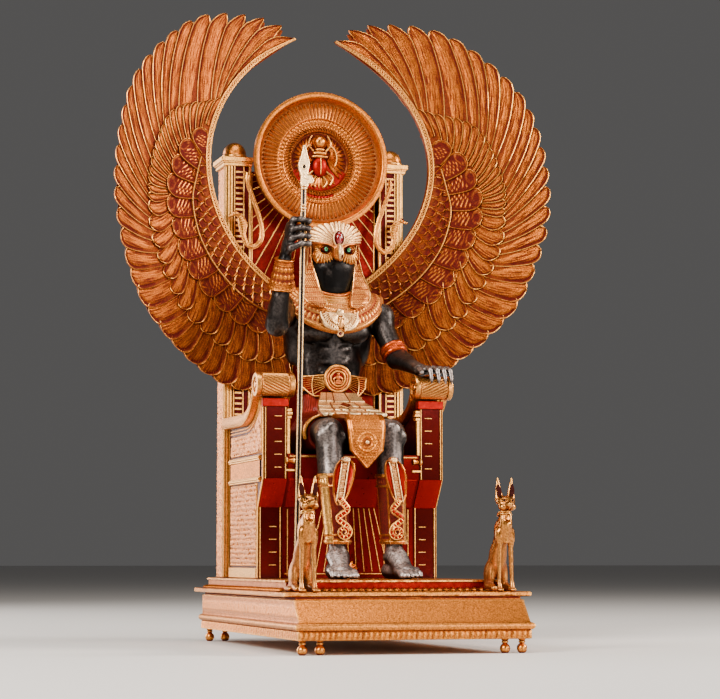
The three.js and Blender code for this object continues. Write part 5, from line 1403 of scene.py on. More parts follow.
def model_hands(clay):
    palm = (-62.5, 3, 361)
    clay.limb(WRIST_R, palm, 5.4, 6.2, soft=3, flat=(0.9, 1.1, 1))
    clay.egg((-61, 3, 370), (4.6, 7.8, 13), soft=3)
    staff_x, staff_y = STAFF_AT_HAND
    for k in range(4):
        knuckle = (-61.4 + 0.9 * k, -5.4 + 0.6 * k, 357.0 + 8.6 * k)
        middle = (staff_x - 3.4, -8.8, 361.0 + 7.4 * k)
        end = (staff_x + 4.2, -6.8, 361.6 + 6.8 * k)
        tip = (staff_x + 5.8, 0.6, 360.4 + 6.8 * k)
        clay.chain([(-64.5, 2, 351 + 3.5 * k), knuckle, middle, end, tip], [3.0, 3.2, 2.6, 2.5, 1.9], soft=0.8)
        clay.egg(knuckle, (3.7, 3.7, 3.4), soft=1.2).egg(middle, 3.1, soft=0.8).egg(end, 2.8, soft=0.8)
    clay.chain([(-62, 8, 362), (-56, 9.5, 371), (-47.5, 8.6, 379), (-43.5, 4.6, 384)], [4.6, 3.7, 3.2, 2.4], soft=1.2)
    clay.limb(WRIST_L, (70, 4, 250.8), 5.2, 4.4, soft=3, flat=(1, 1, 0.9))
    for k in range(4):
        x = 68.0 + 6.4 * k
        reach = (1.0, 1.14, 1.08, 0.96)[k]
        knuckle = (x, -1.5, 251.2 - 0.35 * abs(k - 1.3))
        middle = (x + 0.9, -8.4 * reach, 249.0)
        tip = (x + 1.4, -11.4 * reach, 240.8)
        clay.limb((68.5 + 2.6 * k, 6, 250.6), knuckle, 3.6, 3.0, soft=1.6)
        clay.egg(knuckle, 3.3, soft=1.2)
        clay.chain([knuckle, middle, tip], [2.8, 2.5, 1.9], soft=0.6)
        clay.limb(tip, (x + 1.5, -11.6 * reach, 236.8), 1.8, 0.8, soft=0.6)
    clay.chain([(66, 8, 249.5), (62.2, 0, 249.5), (61.4, -7, 247.2)], [4.2, 3.4, 2.5], soft=1.2)


def model_legs(clay):
    for s in (-1, 1):
        hip, knee, ankle = (s * 17, 82, 191), (s * KNEE_X, KNEE_Y, KNEE_Z), (s * ANKLE_X, ANKLE_Y, ANKLE_Z)
        clay.limb(hip, on_bone(hip, knee, 0.9), 20.0, 13.0, soft=4)
        clay.limb(on_bone(hip, knee, 0.5, (s * 6, 0, 5)), on_bone(hip, knee, 0.93, (s * 6.5, 0, 0.5)), 9.5, 6.6, soft=1.8)
        clay.limb(on_bone(hip, knee, 0.55, (-s * 5, 0, 4)), on_bone(hip, knee, 0.95, (-s * 7.5, 0, -1)), 9.5, 7.2, soft=1.8)
        clay.limb(on_bone(hip, knee, 0.5, (0, 0, 8)), on_bone(hip, knee, 0.9, (0, 0, 4.5)), 9.5, 6.6, soft=1.8)
        clay.egg((s * KNEE_X, KNEE_Y + 0.5, KNEE_Z - 1), (13.8, 12.8, 13.6), soft=3)
        clay.egg((s * KNEE_X, KNEE_Y - 9.2, KNEE_Z + 1.5), (7.4, 4.8, 7.8), soft=1.2)
        for d in (-1, 1):
            clay.egg((s * KNEE_X + d * 9.2, KNEE_Y - 5.4, KNEE_Z - 4.5), (5.0, 4.8, 6.4), soft=1.2)
        clay.limb((s * KNEE_X, KNEE_Y - 9.4, KNEE_Z - 6), (s * KNEE_X, KNEE_Y - 9.8, KNEE_Z - 19), 3.2, 3.0, soft=2)
        clay.limb((s * KNEE_X, KNEE_Y + 1, KNEE_Z - 4), on_bone(knee, ankle, 0.42, (0, 2, 0)), 12.8, 11.4, soft=4)
        clay.limb(on_bone(knee, ankle, 0.35, (0, 1, 0)), ankle, 11.0, 7.2, soft=4)
        clay.limb(on_bone(knee, ankle, 0.12, (s * 4, -3, 0)), on_bone(knee, ankle, 0.9, (-s * 1.5, -2.4, 0)), 5.6, 4.2,
                  soft=3)
        clay.egg(on_bone(knee, ankle, 0.3, (0, 9, 0)), (9.6, 7.2, 22), soft=5)
        for d in (-1, 1):
            clay.egg((s * ANKLE_X + d * 6.6, ANKLE_Y + 1.5, ANKLE_Z - 2.5), (3.0, 3.6, 3.6), soft=2)
        heel, ball_of = (s * 26, -27, 67.5), (s * 29.5, -61, 65.2)
        clay.limb(ankle, heel, 7.2, 7.0, soft=4)
        clay.limb(on_bone(ankle, heel, 0.15, (s, -5, 0)), (s * 29, -58, 68), 7.6, 5.6, soft=4, flat=(1.4, 1, 0.9))
        clay.limb(heel, ball_of, 6.8, 5.6, soft=4, flat=(1.35, 1, 1))
        for k in range(5):
            x0 = s * (21.2 + 4.6 * k)
            long = (15.4, 15.8, 13.6, 11.0, 8.4)[k]
            r = (3.6, 2.7, 2.5, 2.3, 2.2)[k]
            x1 = x0 + s * 0.15 * (k - 1)
            clay.limb((x0, -58, 68), (x0, -64, 66.4), 3.0, r, soft=1.6)
            clay.chain([(x0, -62, 66.2), (x1, -62 - long * 0.55, 65.8), (x1, -61 - long, 63.2)], [r, r * 1.02, r * 0.94],
                       soft=0.7)
            clay.limb((s * (25 + 1.4 * k), -44, 76 - 1.2 * k), (x0, -60, 69.2), 1.5, 1.4, soft=1.8)


def polished_black():
    """Black metal paint, lighter grey on the high forms, partly wear and partly painted highlight,
    and, where gild is 1, painted light in grey on all that faces forward or up toward the key light; painted shade from
    ambient occlusion darkens its hollows"""
    material = bpy.data.materials.new("polished_black")
    material.use_nodes = True
    tree = material.node_tree
    shader = tree.nodes["Principled BSDF"]
    place = node_in(tree, "ShaderNodeTexCoord").outputs["Object"]
    ridge = node_in(tree, "ShaderNodeNewGeometry").outputs["Pointiness"]
    drift = node_in(tree, "ShaderNodeTexNoise", Vector=place, Scale=60.0, Detail=6.0).outputs["Fac"]
    fine = node_in(tree, "ShaderNodeTexNoise", Vector=place, Scale=520.0, Detail=5.0).outputs["Fac"]
    high = node_in(tree, "ShaderNodeMapRange", in0=ridge, in1=0.515, in2=0.6, in3=0.0, in4=0.8)
    worn_and_highlit = node_in(tree, "ShaderNodeMath", operation="MULTIPLY", in0=high.outputs[0], in1=drift)
    given = node_in(tree, "ShaderNodeAttribute", attribute_name="gild").outputs["Fac"]
    # Painted light: grey laid on what faces front, left and up, toward the key light.
    facing = node_in(tree, "ShaderNodeVectorMath", operation="DOT_PRODUCT", in1=(-0.45, -0.75, 0.5),
                     in0=node_in(tree, "ShaderNodeNewGeometry").outputs["Normal"]).outputs["Value"]
    toward = node_in(tree, "ShaderNodeMapRange", in0=facing, in1=0.25, in2=0.95, in3=0.0, in4=1.0)
    patch = node_in(tree, "ShaderNodeMapRange", in0=drift, in1=0.34, in2=0.62, in3=0.35, in4=1.0)
    lit_facing = node_in(tree, "ShaderNodeMath", operation="MULTIPLY", in0=toward.outputs[0], in1=patch.outputs[0])
    most = node_in(tree, "ShaderNodeMath", operation="MULTIPLY_ADD", in0=lit_facing.outputs[0], in1=given,
                   in2=worn_and_highlit.outputs[0])
    speck = node_in(tree, "ShaderNodeMapRange", in0=fine, in1=0.34, in2=0.62, in3=0.35, in4=1.35)
    most = node_in(tree, "ShaderNodeMath", operation="MULTIPLY", in0=most.outputs[0], in1=speck.outputs[0])
    tone = node_in(tree, "ShaderNodeMix", data_type="RGBA", in0=most.outputs[0],
                   in6=(0.0018, 0.0013, 0.0012, 1), in7=(0.5, 0.41, 0.375, 1))
    # Ambient occlusion within 10 mm darkens the base colour: painted shade in hollows.
    hollow = node_in(tree, "ShaderNodeAmbientOcclusion", samples=4, in0=tone.outputs[2], Distance=10 * MM)
    tree.links.new(hollow.outputs["Color"], shader.inputs["Base Color"])
    gloss = node_in(tree, "ShaderNodeMapRange", in0=fine, in1=0.3, in2=0.7, in3=0.3, in4=0.46)
    tree.links.new(gloss.outputs[0], shader.inputs["Roughness"])
    bump = node_in(tree, "ShaderNodeBump", Strength=0.3, Distance=0.0005, Height=fine)
    tree.links.new(bump.outputs[0], shader.inputs["Normal"])
    shader.inputs["Metallic"].default_value = 0.8
    shader.inputs["Specular IOR Level"].default_value = 0.3
    shader.inputs["Coat Weight"].default_value = 0.03
    return material


black = polished_black()
clay = Clay((-84, -84, 59), (94, 114, 386), 1.3)
model_torso(clay)
model_arms(clay)
model_hands(clay)
model_legs(clay)
clay.keep(2, DAIS_HIGH[2] + 0.1, 1)
body = Casting()
clay.into(body)
body_at = body.points[-1]
# gild sets how strongly the painted light on forward- and upward-facing black shows: most on the feet, then from the
# knees down and on the left hand, and a little on the chest and the right hand.
low_part = 0.5 * (1 - ramp(body_at[:, 2], 202, 214)) + 0.7 * (1 - ramp(body_at[:, 2], 88, 100))
chest = 0.1 * ramp(body_at[:, 2], 236, 246) * (1 - ramp(body_at[:, 2], 318, 328))
right_hand = 0.12 * ramp(body_at[:, 2], 350, 358) * (body_at[:, 0] < -40)
left_hand = 0.5 * (1 - ramp(body_at[:, 1], 4, 30)) * (body_at[:, 0] > 55)
body.gild[-1] = np.maximum.reduce([low_part, chest, right_hand, left_hand])
body.build("seated_figure", [black], "black", ["figure"], crease=70)

# Kilt. A short wrap of dark red cloth over hips and thighs, finely pleated, with a gold
# hem that rises over each knee.
KILT_FRONT, KILT_TOP = 8.0, 233.0
cloth = Clay((-56, 4, 168), (56, 118, 240), 1.3)
for s in (-1, 1):
    cloth.limb((s * 18, 84, 189), (s * 28.5, 0, 191.5), 22.6, 14.9, soft=4)
cloth.limb((0, 88, 194), (0, 86, 234), 26, 22, soft=8, flat=(1.2, 0.9, 1))
cloth.keep(1, KILT_FRONT, 1).keep(2, KILT_TOP, -1).keep(2, SEAT_TOP + 0.2, 1)
kilt = Casting()
cloth.into(kilt, look=0)
for s in (-1, 1):
    around = np.linspace(-0.35, np.pi + 0.35, 40)
    for y, r, wide in ((KILT_FRONT - 0.2, 15.9, 1.4), (KILT_FRONT + 3.6, 16.4, 0.8)):
        hem = np.stack([s * 27.8 + r * 1.06 * np.cos(around), np.full(40, y), 191.5 + r * np.sin(around)], -1)
        hem = hem[hem[:, 2] > SEAT_TOP + 1.5]
        bar(kilt, hem, wide, sides=10, look=1)


def pleated(name):
    """Dark red cloth with fine pleats that run over the thighs"""
    material = enamel(name, (0.17, 0.012, 0.006), rough=0.42, coat=0.05)
    tree = material.node_tree
    shader = tree.nodes["Principled BSDF"]
    place = node_in(tree, "ShaderNodeTexCoord").outputs["Object"]
    bands = node_in(tree, "ShaderNodeTexWave", Vector=place, Scale=170.0, Distortion=1.2, Detail=1.0)
    bands.wave_type, bands.bands_direction, bands.inputs["Detail Scale"].default_value = "BANDS", "Y", 0.6
    bump = node_in(tree, "ShaderNodeBump", Strength=0.45, Distance=0.0008, Height=bands.outputs["Fac"])
    tree.links.new(bump.outputs[0], shader.inputs["Normal"])
    return material


kilt.build("pleated_kilt", [pleated("kilt_cloth"), gold], "enamel", ["kilt"], crease=60)

# Cats. Two slim seated cats in smooth polished gold, upright on straight forelegs, with
# tall pointed ears that are dark inside.
CAT_X, CAT_Y = 86.0, -157.5
cat_gold = gilt_metal("cat_gold", metal=(0.4, 0.145, 0.03), cover=0.5, crevice=6.0, rough=0.2, grain=0.06)
ear_dark = enamel("ear_dark", (0.03, 0.004, 0.003), rough=0.5, coat=0.0)


def model_cat():
    clay = Clay((-15, -18, -2), (15, 38, 98), 0.85)
    clay.egg((0, 4.5, 52), (7.4, 5.6, 10), soft=4).egg((0, 19, 30), (6.2, 8, 14), soft=5)
    clay.limb((0, 7, 51), (0, 22, 18), 5.8, 7.4, soft=4)
    clay.limb((0, 2.5, 56), (0, -1.5, 71), 5.2, 3.6, soft=3)
    clay.egg((0, -3.0, 75.4), (8.2, 6.8, 5.0), soft=2.5).egg((0, -9.8, 72.6), (3.4, 5.0, 2.8), soft=2)
    clay.egg((0, -14.0, 73.6), (1.4, 1.2, 1.0), soft=0.8)
    for s in (-1, 1):
        clay.limb((s * 4.6, -0.8, 50), (s * 5.6, -1.6, 8), 2.5, 1.5, soft=1.4)
        clay.limb((s * 5.6, -1.4, 8), (s * 5.6, -3.4, 2.2), 1.6, 2.1, soft=1.0)
        for toe in (-1, 0, 1):
            clay.limb((s * 5.6 + toe * 1.4, -3, 2.2), (s * 5.6 + toe * 1.6, -6.2, 1.7), 1.2, 1.0, soft=0.6)
        clay.egg((s * 6.0, 23, 13.5), (4.0, 8.6, 11.6), soft=3)
        clay.limb((s * 7.2, 22, 5), (s * 7.4, 6, 2.4), 3.6, 2.6, soft=2)
        clay.egg((s * 5.4, 0, 47), (3.2, 4.0, 8), soft=3)
        clay.egg((s * 4.2, -6.4, 70.8), (3.4, 4.2, 3.0), soft=2)
        clay.egg((s * 3.6, -9.2, 76.2), (1.5, 1.3, 1.0), soft=0.7)
        clay.limb((s * 5.2, -1.2, 78), (s * 6.2, 0.2, 95.0), 3.8, 1.0, soft=1.2, flat=(1, 0.6, 1))
        clay.limb((s * 5.4, -4.2, 80.5), (s * 6.1, -2.4, 91.4), 2.2, 0.8, soft=0.6, cut=True)
        clay.egg((s * 3.2, -3.5, 58), (2.2, 3.0, 8), soft=2.5)
    clay.limb((0, -5.6, 56), (0, -3.4, 42), 2.6, 2.0, soft=3)
    clay.chain([(0, 30, 4), (5, 32, 3), (10.5, 26, 2.6), (11.6, 14, 2.4)], [2.4, 2.4, 2.2, 1.8], soft=1.2)
    clay.keep(2, 0.0, 1)
    return clay


cat_clay = model_cat()
cat = Casting()
cat_clay.into(cat)
# gild rises from 0.3 below 34 mm to 1 above 56 mm, so legs and lower body are darker: painted shade.
cat.gild[-1] = 0.3 + 0.7 * ramp(cat.points[-1][:, 2], 34, 56)
for s in (-1, 1):
    for (x0, z0, w0), (x1, z1, w1) in (((5.3, 80, 2.2), (6.1, 91, 0.8)),):
        leaf(cat, (s * x0, -3.0, z0), (s * 0.12, 0.16, 0.98), (-1, 0, 0.12 * s), (0, -1, 0.16), z1 - z0, w0 * 2, 0.1,
             look=1)
    ball(cat, (s * 3.6, -9.9, 76.3), (1.0, 0.8, 0.9), look=1, rows=8, sides=12)
for ring_z, ring_r in ((66, 5.4), (64.4, 5.8)):
    ring_path = [(ring_r * math.sin(a), 0.4 - ring_r * 1.02 * math.cos(a), ring_z + 1.4 * math.cos(a))
                 for a in np.linspace(0, 2 * math.pi, 33)]
    bar(cat, ring_path, 0.7, sides=8)
cat.points = [p + (CAT_X, CAT_Y, CORNICE_TOP) for p in cat.points]
cat.build("seated_cat_right", [cat_gold, ear_dark], "gold", ["cat_right"], crease=60)
cat.mirror().build("seated_cat_left", [cat_gold, ear_dark], "gold", ["cat_left"], crease=60)

# Falcon mask. A shell round the head with a hooked beak, fierce brows over green eyes, a
# crown of swept feathers with a dark red gem, and two scaled lappets to the collar.
pale_gold = gilt_metal("pale_gold", metal=(0.86, 0.48, 0.19), wash_and_shade=(0.25, 0.04, 0.01), cover=0.6, crevice=2.0,
                       rough=0.28, grain=0.12, bright=(1.0, 0.69, 0.36))
jewel_gold = gilt_metal("jewel_gold", metal=(0.62, 0.24, 0.045), wash_and_shade=(0.2, 0.01, 0.002), cover=0.75, crevice=2.0,
                        rough=0.26, grain=0.15, bright=(1.0, 0.62, 0.26))
red_gold = gilt_metal("red_gold", metal=(0.42, 0.06, 0.008), wash_and_shade=(0.12, 0.004, 0.0015), cover=0.7, crevice=2.5,
                      rough=0.28, grain=0.15, bright=(0.8, 0.3, 0.07))


def glassy(name, color, glow=0.0):
    """A polished stone; glow gives it a faint emission, a painted glow"""
    material = bpy.data.materials.new(name)
    material.use_nodes = True
    shader = material.node_tree.nodes["Principled BSDF"]
    place = node_in(material.node_tree, "ShaderNodeTexCoord").outputs["Object"]
    cloud = node_in(material.node_tree, "ShaderNodeTexNoise", Vector=place, Scale=420.0, Detail=3.0).outputs["Fac"]
    tone = node_in(material.node_tree, "ShaderNodeMix", data_type="RGBA", in0=cloud,
                   in6=(*[c * 0.5 for c in color], 1), in7=(*[min(1, c * 1.6) for c in color], 1))
    material.node_tree.links.new(tone.outputs[2], shader.inputs["Base Color"])
    shader.inputs["Roughness"].default_value = 0.08
    shader.inputs["Coat Weight"].default_value = 1.0
    # Emission makes the stone glow though it is no lamp: painted glow.
    shader.inputs["Emission Color"].default_value = (*color, 1)
    shader.inputs["Emission Strength"].default_value = glow
    return material


# The eyes get a faint painted glow.
eye_green = glassy("eye_green", (0.02, 0.3, 0.12), glow=0.16)
gem_red = glassy("gem_red", (0.16, 0.002, 0.004))
def plume(casting, path, facing, wide, high, gild=1.0, look=0, columns=7, sink=0.5):
    """A pointed feather or lock that lies along a path, wide at each of its points"""
    path = np.asarray(path, float)
    along = np.gradient(path, axis=0)
    along /= np.linalg.norm(along, axis=1)[:, None]
    across = np.cross(along, np.broadcast_to(np.asarray(facing, float), path.shape))
    across /= np.linalg.norm(across, axis=1)[:, None]
    out = np.cross(across, along)
    half = np.broadcast_to(np.asarray(wide, float), len(path))[:, None] / 2
    v = np.linspace(-1, 1, columns)[None, :]
    hump = high * (1 - np.abs(v) ** 1.6) * np.minimum(1, half / (0.4 * half.max()))
    rows = path[:, None] + across[:, None] * (half * v)[..., None] + out[:, None] * hump[..., None]
    under = path[:, None] + across[:, None] * (half * np.array([[0.9, -0.9]]))[..., None] - out[:, None] * sink
    shade = np.concatenate([gild * (0.45 + 0.55 * (1 - v ** 2)) * np.ones_like(half), np.full((len(path), 2), 0.2)], 1)
    casting.grid(np.concatenate([rows, under], 1), gild=shade, look=look, wrap=True, ends=True)


FEATHER_TAPER = np.array([0.4, 0.62, 0.8, 0.95, 1.0, 0.92, 0.66, 0.12])
mask = Casting()
shell = Clay((-32, 40, 344), (32, 106, 396), 0.8)
shell.egg((0, 81, 374), (22.6, 23.5, 16.5), soft=3)
for s in (-1, 1):
    shell.egg((s * 11.5, 67, 361), (10.5, 8, 8.4), soft=3)
    shell.egg((s * 8, 66, 378), (13, 7, 7), soft=4)
    shell.egg((s * 12, 57.8, 366.2), (5.2, 4.6, 3.6), soft=1.4, cut=True)
shell.chain([(0, 62, 374), (0, 58, 368), (0, 58, 360)], [6.4, 5.0, 4.2], soft=3)
shell.keep(2, 353.0, 1)
shell.into(mask, gild=0.55)


def cheek_place(x, z):
    """The front of the face under the brows"""
    skull = 81 - 23.5 * math.sqrt(max(0.02, 1 - (x / 23) ** 2 - ((z - 374) / 17) ** 2))
    pad = 67 - 8 * math.sqrt(max(0.0, 1 - ((abs(x) - 11.5) / 10.8) ** 2 - ((z - 361) / 8.8) ** 2))
    return np.array([x, min(skull, pad) - 0.1, z])


for s in (-1, 1):
    ball(mask, (s * 12, 61.4, 366.3), (3.5, 3.2, 3.0), look=5, rows=16, sides=24)
    ball(mask, (s * 11.2, 58.9, 366.5), (1.9, 0.9, 1.9), look=3, rows=10, sides=18)
    ball(mask, (s * 11.1, 58.1, 366.5), (0.7, 0.3, 0.9), look=5, rows=8, sides=12)
    lid = [(s * (12 + 4.9 * math.cos(a)), 58.0 + 1.2 * abs(math.cos(a)), 366.2 + 3.7 * math.sin(a))
           for a in np.linspace(0, 2 * math.pi, 29)]
    bar(mask, lid, 0.4, sides=8, look=5)
    for ring, count in ((5.4, 15), (7.6, 17), (9.8, 19), (12.0, 19), (14.2, 17)):
        for k in range(count):
            a = math.radians(30 - 236 * k / (count - 1))
            x, z = 12 + ring * math.cos(a), 366.0 + 0.82 * ring * math.sin(a)
            if 4.6 < x < 18.4 and z > 356.6:
                one = cheek_place(s * x, z)
                way = np.array([s * math.cos(a), 0.2, math.sin(a) - 0.2])
                plume(mask, [one, one + way * 1.2, one + way * 2.6, one + way * 3.8], (0, -1, 0), [0.9, 1.4, 1.1, 0.2],
                      0.35, gild=0.34 + 0.16 * (k % 2), columns=5)
beak = smooth_path([(0, 59, 371.5), (0, 53, 370), (0, 48.8, 366.2), (0, 47.0, 361.2), (0, 47.8, 357), (0, 49.6, 354.2)],
                   16)
bar(mask, beak, np.interp(np.linspace(0, 1, 16), [0, 0.25, 0.6, 0.85, 1], [1.2, 2.4, 2.9, 2.1, 0.6]), sides=18, look=1)
bar(mask, smooth_path([(0.6, 44.6, 361), (0.6, 45.0, 358.4), (0.4, 46.4, 355.6)], 7), [0.2, 0.6, 0.9, 1.0, 0.9, 0.7, 0.3],
    sides=8, look=5)
for s in (-1, 1):
    bar(mask, smooth_path([(s * 2.0, 54, 371), (s * 3.8, 54.6, 366), (s * 3.8, 56.5, 359)], 9),
        np.array([0.4, 0.8, 1.1, 1.3, 1.3, 1.1, 0.9, 0.6, 0.3]), sides=10, look=2)
    ball(mask, (s * 2.0, 47.4, 364.6), (0.5, 0.7, 0.9), look=5, rows=8, sides=10)
    # The brows are bars of red gold under the crown's lower edge; their dark red also stands for the shadow under the
    # crown: painted shade.
    brow = smooth_path([(s * 23, 68, 372.6), (s * 17, 61, 372.4), (s * 10, 57.0, 371.2), (s * 4.5, 54.6, 368.0),
                        (s * 3.0, 54, 366.4)], 16)
    bar(mask, brow, np.interp(np.linspace(0, 1, 16), [0, 0.3, 0.8, 1], [0.3, 0.9, 0.9, 0.4]), sides=10, look=2)


def crown_place(x, z):
    """The crown's surface over the forehead"""
    return np.array([x, 56.6 + 0.019 * x * x + 0.1 * max(0.0, z - 372) + 0.012 * max(0.0, z - 380) ** 2, z])


CROWN_EDGE = ((0, 391.6), (3.6, 390.6), (9.0, 389.9), (15.6, 389.0), (20.6, 387.0), (24.4, 383.2), (25.6, 379.6),
              (25.4, 376.4), (24.2, 373.8))
CROWN_LOCKS = 9
for s in (-1, 1):
    u = np.linspace(0, 1, CROWN_LOCKS * 12 + 1)
    t = np.linspace(0, 1, 46)[:, None]
    lock = (u * CROWN_LOCKS) % 1
    knots = np.linspace(0, 1, len(CROWN_EDGE))
    tooth = 1 + 0.15 * (np.sin(np.pi * lock) ** 0.8 - 0.35) * (1 - 0.7 * u)
    tip_x, tip_z = (np.interp(u, knots, [edge[k] for edge in CROWN_EDGE]) for k in (0, 1))
    root_x, root_z = 0.4 + 1.8 * u * (1 - u), 374.5 - 6.6 * u ** 1.5
    bend_x = root_x + (tip_x - root_x) * (0.5 + 0.1 * u)
    bend_z = root_z + (tip_z - root_z) * (0.3 + 0.45 * u) + 0.4
    far = t * tooth
    x = (1 - far) ** 2 * root_x + 2 * far * (1 - far) * bend_x + far ** 2 * tip_x
    z = (1 - far) ** 2 * root_z + 2 * far * (1 - far) * bend_z + far ** 2 * tip_z
    comb = 0.5 + 0.5 * np.cos(2 * np.pi * (u * CROWN_LOCKS * 2 + 0.3 * np.sin(5 * t)))
    hump = np.sin(np.pi * lock) ** 0.6
    lift = 1.6 - 0.8 * t + 1.1 * hump * (0.35 + 0.65 * t) + 0.35 * comb
    place = np.vectorize(lambda a, b: crown_place(a, b)[1])(x, z)
    front = np.stack([s * x, place - lift, z], -1)
    back = np.stack([s * x, place + 1.6, z], -1)
    # Lock humps reach gild 1.2: a painted highlight along each lock.
    shade = np.clip(0.2 + 1.0 * hump ** 2 * (0.55 + 0.45 * comb), 0, 1.2)
    sheet = np.concatenate([front, back[::-1]], 0)
    shades = np.concatenate([shade, 0.4 * shade[::-1]], 0)
    turn = -1 if s > 0 else 1
    mask.grid(np.transpose(sheet, (1, 0, 2))[::-turn], gild=shades.T[::-turn], look=1, wrap=True, ends=True)
GEM = np.array((0, 52.2, 376.4))
ball(mask, GEM, (3.2, 2.2, 5.8), look=4, rows=18, sides=28)
for wide, back, thick, look in ((3.9, 0.6, 0.8, 5), (5.1, 1.4, 0.75, 1)):
    ring_path = [GEM + (wide * math.cos(a), back, (wide + 2.1) * math.sin(a)) for a in np.linspace(0, 2 * math.pi, 41)]
    bar(mask, ring_path, thick, sides=8, look=look)


LAPPET_EDGES = ((374, 22.2, 24.8), (359, 21.7, 25.2), (344, 18.2, 28.4), (334, 15.8, 33.0), (328, 14.4, 34.6),
                (322, 12.6, 34.0), (317, 11.0, 30.6), (313.5, 11.0, 26.6), (311.6, 13.0, 22.4), (311, 16.4, 18.0))


def lappet(casting, s):
    """A hanging side piece: rows of small scales between plain edges"""
    rows, columns = 84, 30
    t = np.linspace(0, 1, rows)[:, None]
    v = np.linspace(-1, 1, columns)[None, :]
    z = 374 - 63 * t
    inner, outer = (np.interp(-z, [-zz for zz, *_ in LAPPET_EDGES], [edge[k] for edge in LAPPET_EDGES]) for k in (1, 2))
    centre, half = (inner + outer) / 2, (outer - inner) / 2
    y = 75 - 9.5 * ramp(t, 0.2, 0.8) - 10.5 * ramp(t, 0.68, 0.97) + 5.0 * np.maximum(v, 0) ** 2 * ramp(t, 0.4, 0.9)
    cell_u, cell_w = v * half / 1.9, z / 1.75
    shift = (np.floor(cell_w) % 2) * 0.5
    bump = np.clip(1 - np.hypot((cell_u + shift) % 1 - 0.5, cell_w % 1 - 0.35) / 0.62, 0, 1)
    bump = bump * (half > 2.6)
    edge = np.exp(-((np.abs(v) - 0.92) * half / 0.75) ** 2)
    height = 1.0 * bump * (np.abs(v) < 0.84) + 1.5 * edge
    front = np.stack(np.broadcast_arrays(s * (centre + half * v), y - 1.6 - height, z), -1)
    back = np.stack(np.broadcast_arrays(s * (centre + half * np.array([[0.96, -0.96]])), y[:, [-1, 0]] + 5, z), -1)
    # Scale bumps and edges reach gild 1.05: a faint painted highlight.
    shade = np.concatenate([np.clip(0.05 + 1.0 * bump + 0.9 * edge, 0, 1.05), np.full((rows, 2), 0.3)], 1)
    points = np.concatenate([front, back], 1)
    turn = -1 if s > 0 else 1
    casting.grid(points[:, ::turn], gild=shade[:, ::turn], look=6, wrap=True, ends=True)


for s in (-1, 1):
    lappet(mask, s)
mask_looks = [gold, pale_gold, red_gold, eye_green, gem_red, dark_enamel, jewel_gold]
crown_base = Clay((-32, 44, 364), (32, 92, 396), 0.8)
crown_base.egg((0, 70, 378), (24, 11.5, 9.5), soft=3).egg((0, 66, 383), (18, 9.0, 7), soft=3)
crown_base.keep(2, 372.4, 1)
crown_base.into(mask, look=1)
mask.build("falcon_mask", mask_looks, "gold", ["mask"], crease=50)

# Broad collar. Bands of fine ticks and drop beads round the neck between smooth lines,
# with a winged beetle and its sun on the breast and a small ring that hangs below.
COLLAR_DROPS, COLLAR_TICKS = 64, 128


def collar_neck(around):
    return np.stack([21 * np.sin(around), 85 - 20 * np.cos(around), 334 - 12 * (0.5 + 0.5 * np.cos(around))], -1)


def collar_rim(around):
    """The outer edge: low on the breast, up on the shoulders and a little down behind"""
    front = 0.5 + 0.5 * np.cos(around)
    z = 336 - 49 * front ** 1.9 - 13 * ramp(-np.cos(around), 0.0, 1.0)
    return np.stack([51 * np.sin(around), 84 - (24 + 10 * front) * np.cos(around), z], -1)


def collar_place(around, share, rise):
    """A place on the collar, from the neck (share 0) to the rim (share 1)"""
    inner, outer = collar_neck(around), collar_rim(around)
    lift = np.stack([np.sin(around) * 0.5, -np.cos(around) * 0.6, np.full_like(around, 0.6)], -1)
    lift /= np.linalg.norm(lift, axis=-1)[..., None]
    return inner + (outer - inner) * share[..., None] + lift * rise[..., None]


share = np.concatenate([[0.0, 0.02], np.linspace(0.05, 0.97, 56), [0.985, 1.0, 1.0, 0.6, 0.1]])
around = np.linspace(0, 2 * np.pi, 384, endpoint=False)
a_grid, s_grid = np.meshgrid(around, share, indexing="ij")


def collar_band(low, high):
    return ramp(s_grid, low - 0.01, low + 0.01) * (1 - ramp(s_grid, high - 0.01, high + 0.01))


body_rise = 1.0 + 3.6 * np.sin(np.pi * np.clip(s_grid, 0, 1) ** 0.75) ** 0.6
carved, bare = np.zeros_like(s_grid), np.full_like(s_grid, 0.45)
for low, high in ((0.05, 0.155), (0.165, 0.26)):
    hump = collar_band(low, high) * np.sin(np.pi * np.clip((s_grid - low) / (high - low), 0, 1))
    carved, bare = carved + 2.0 * hump, np.maximum(bare, hump)
# Ticks, drop beads and the ridge lines between bands reach gild 1.3 to 1.35: painted highlights.
for low, high, count in ((0.29, 0.37, COLLAR_TICKS), (0.41, 0.49, COLLAR_TICKS), (0.53, 0.61, COLLAR_TICKS // 2),
                         (0.66, 0.88, COLLAR_DROPS)):
    inside = collar_band(low, high)
    middle = (s_grid - low) / (high - low)
    if count == COLLAR_DROPS and low > 0.6:
        across = np.abs((a_grid * count / (2 * np.pi)) % 1 - 0.5) * 2
        drop = np.clip(1 - np.hypot(across / 0.75, (middle - 0.55) / 0.45), 0, 1) ** 0.6
        carved, bare = carved + inside * (1.3 * drop - 0.4), np.where(inside > 0.5, 0.02 + 1.35 * drop, bare)
    else:
        tick = np.clip(np.abs(np.cos(a_grid * count / 2)) * 1.5 - 0.5, 0, 1) * np.sin(np.pi * np.clip(middle, 0, 1)) ** 0.4
        carved, bare = carved + inside * (0.8 * tick - 0.2), np.where(inside > 0.5, 0.02 + 1.3 * tick, bare)
for line in (0.27, 0.39, 0.51, 0.635, 0.9):
    ridge = np.exp(-((s_grid - line) / 0.012) ** 2)
    carved, bare = carved + 0.8 * ridge, np.maximum(bare, 1.3 * ridge)
rim_line = np.exp(-((s_grid - 0.955) / 0.03) ** 2)
carved, bare = carved + 1.2 * rim_line, np.maximum(bare, rim_line)
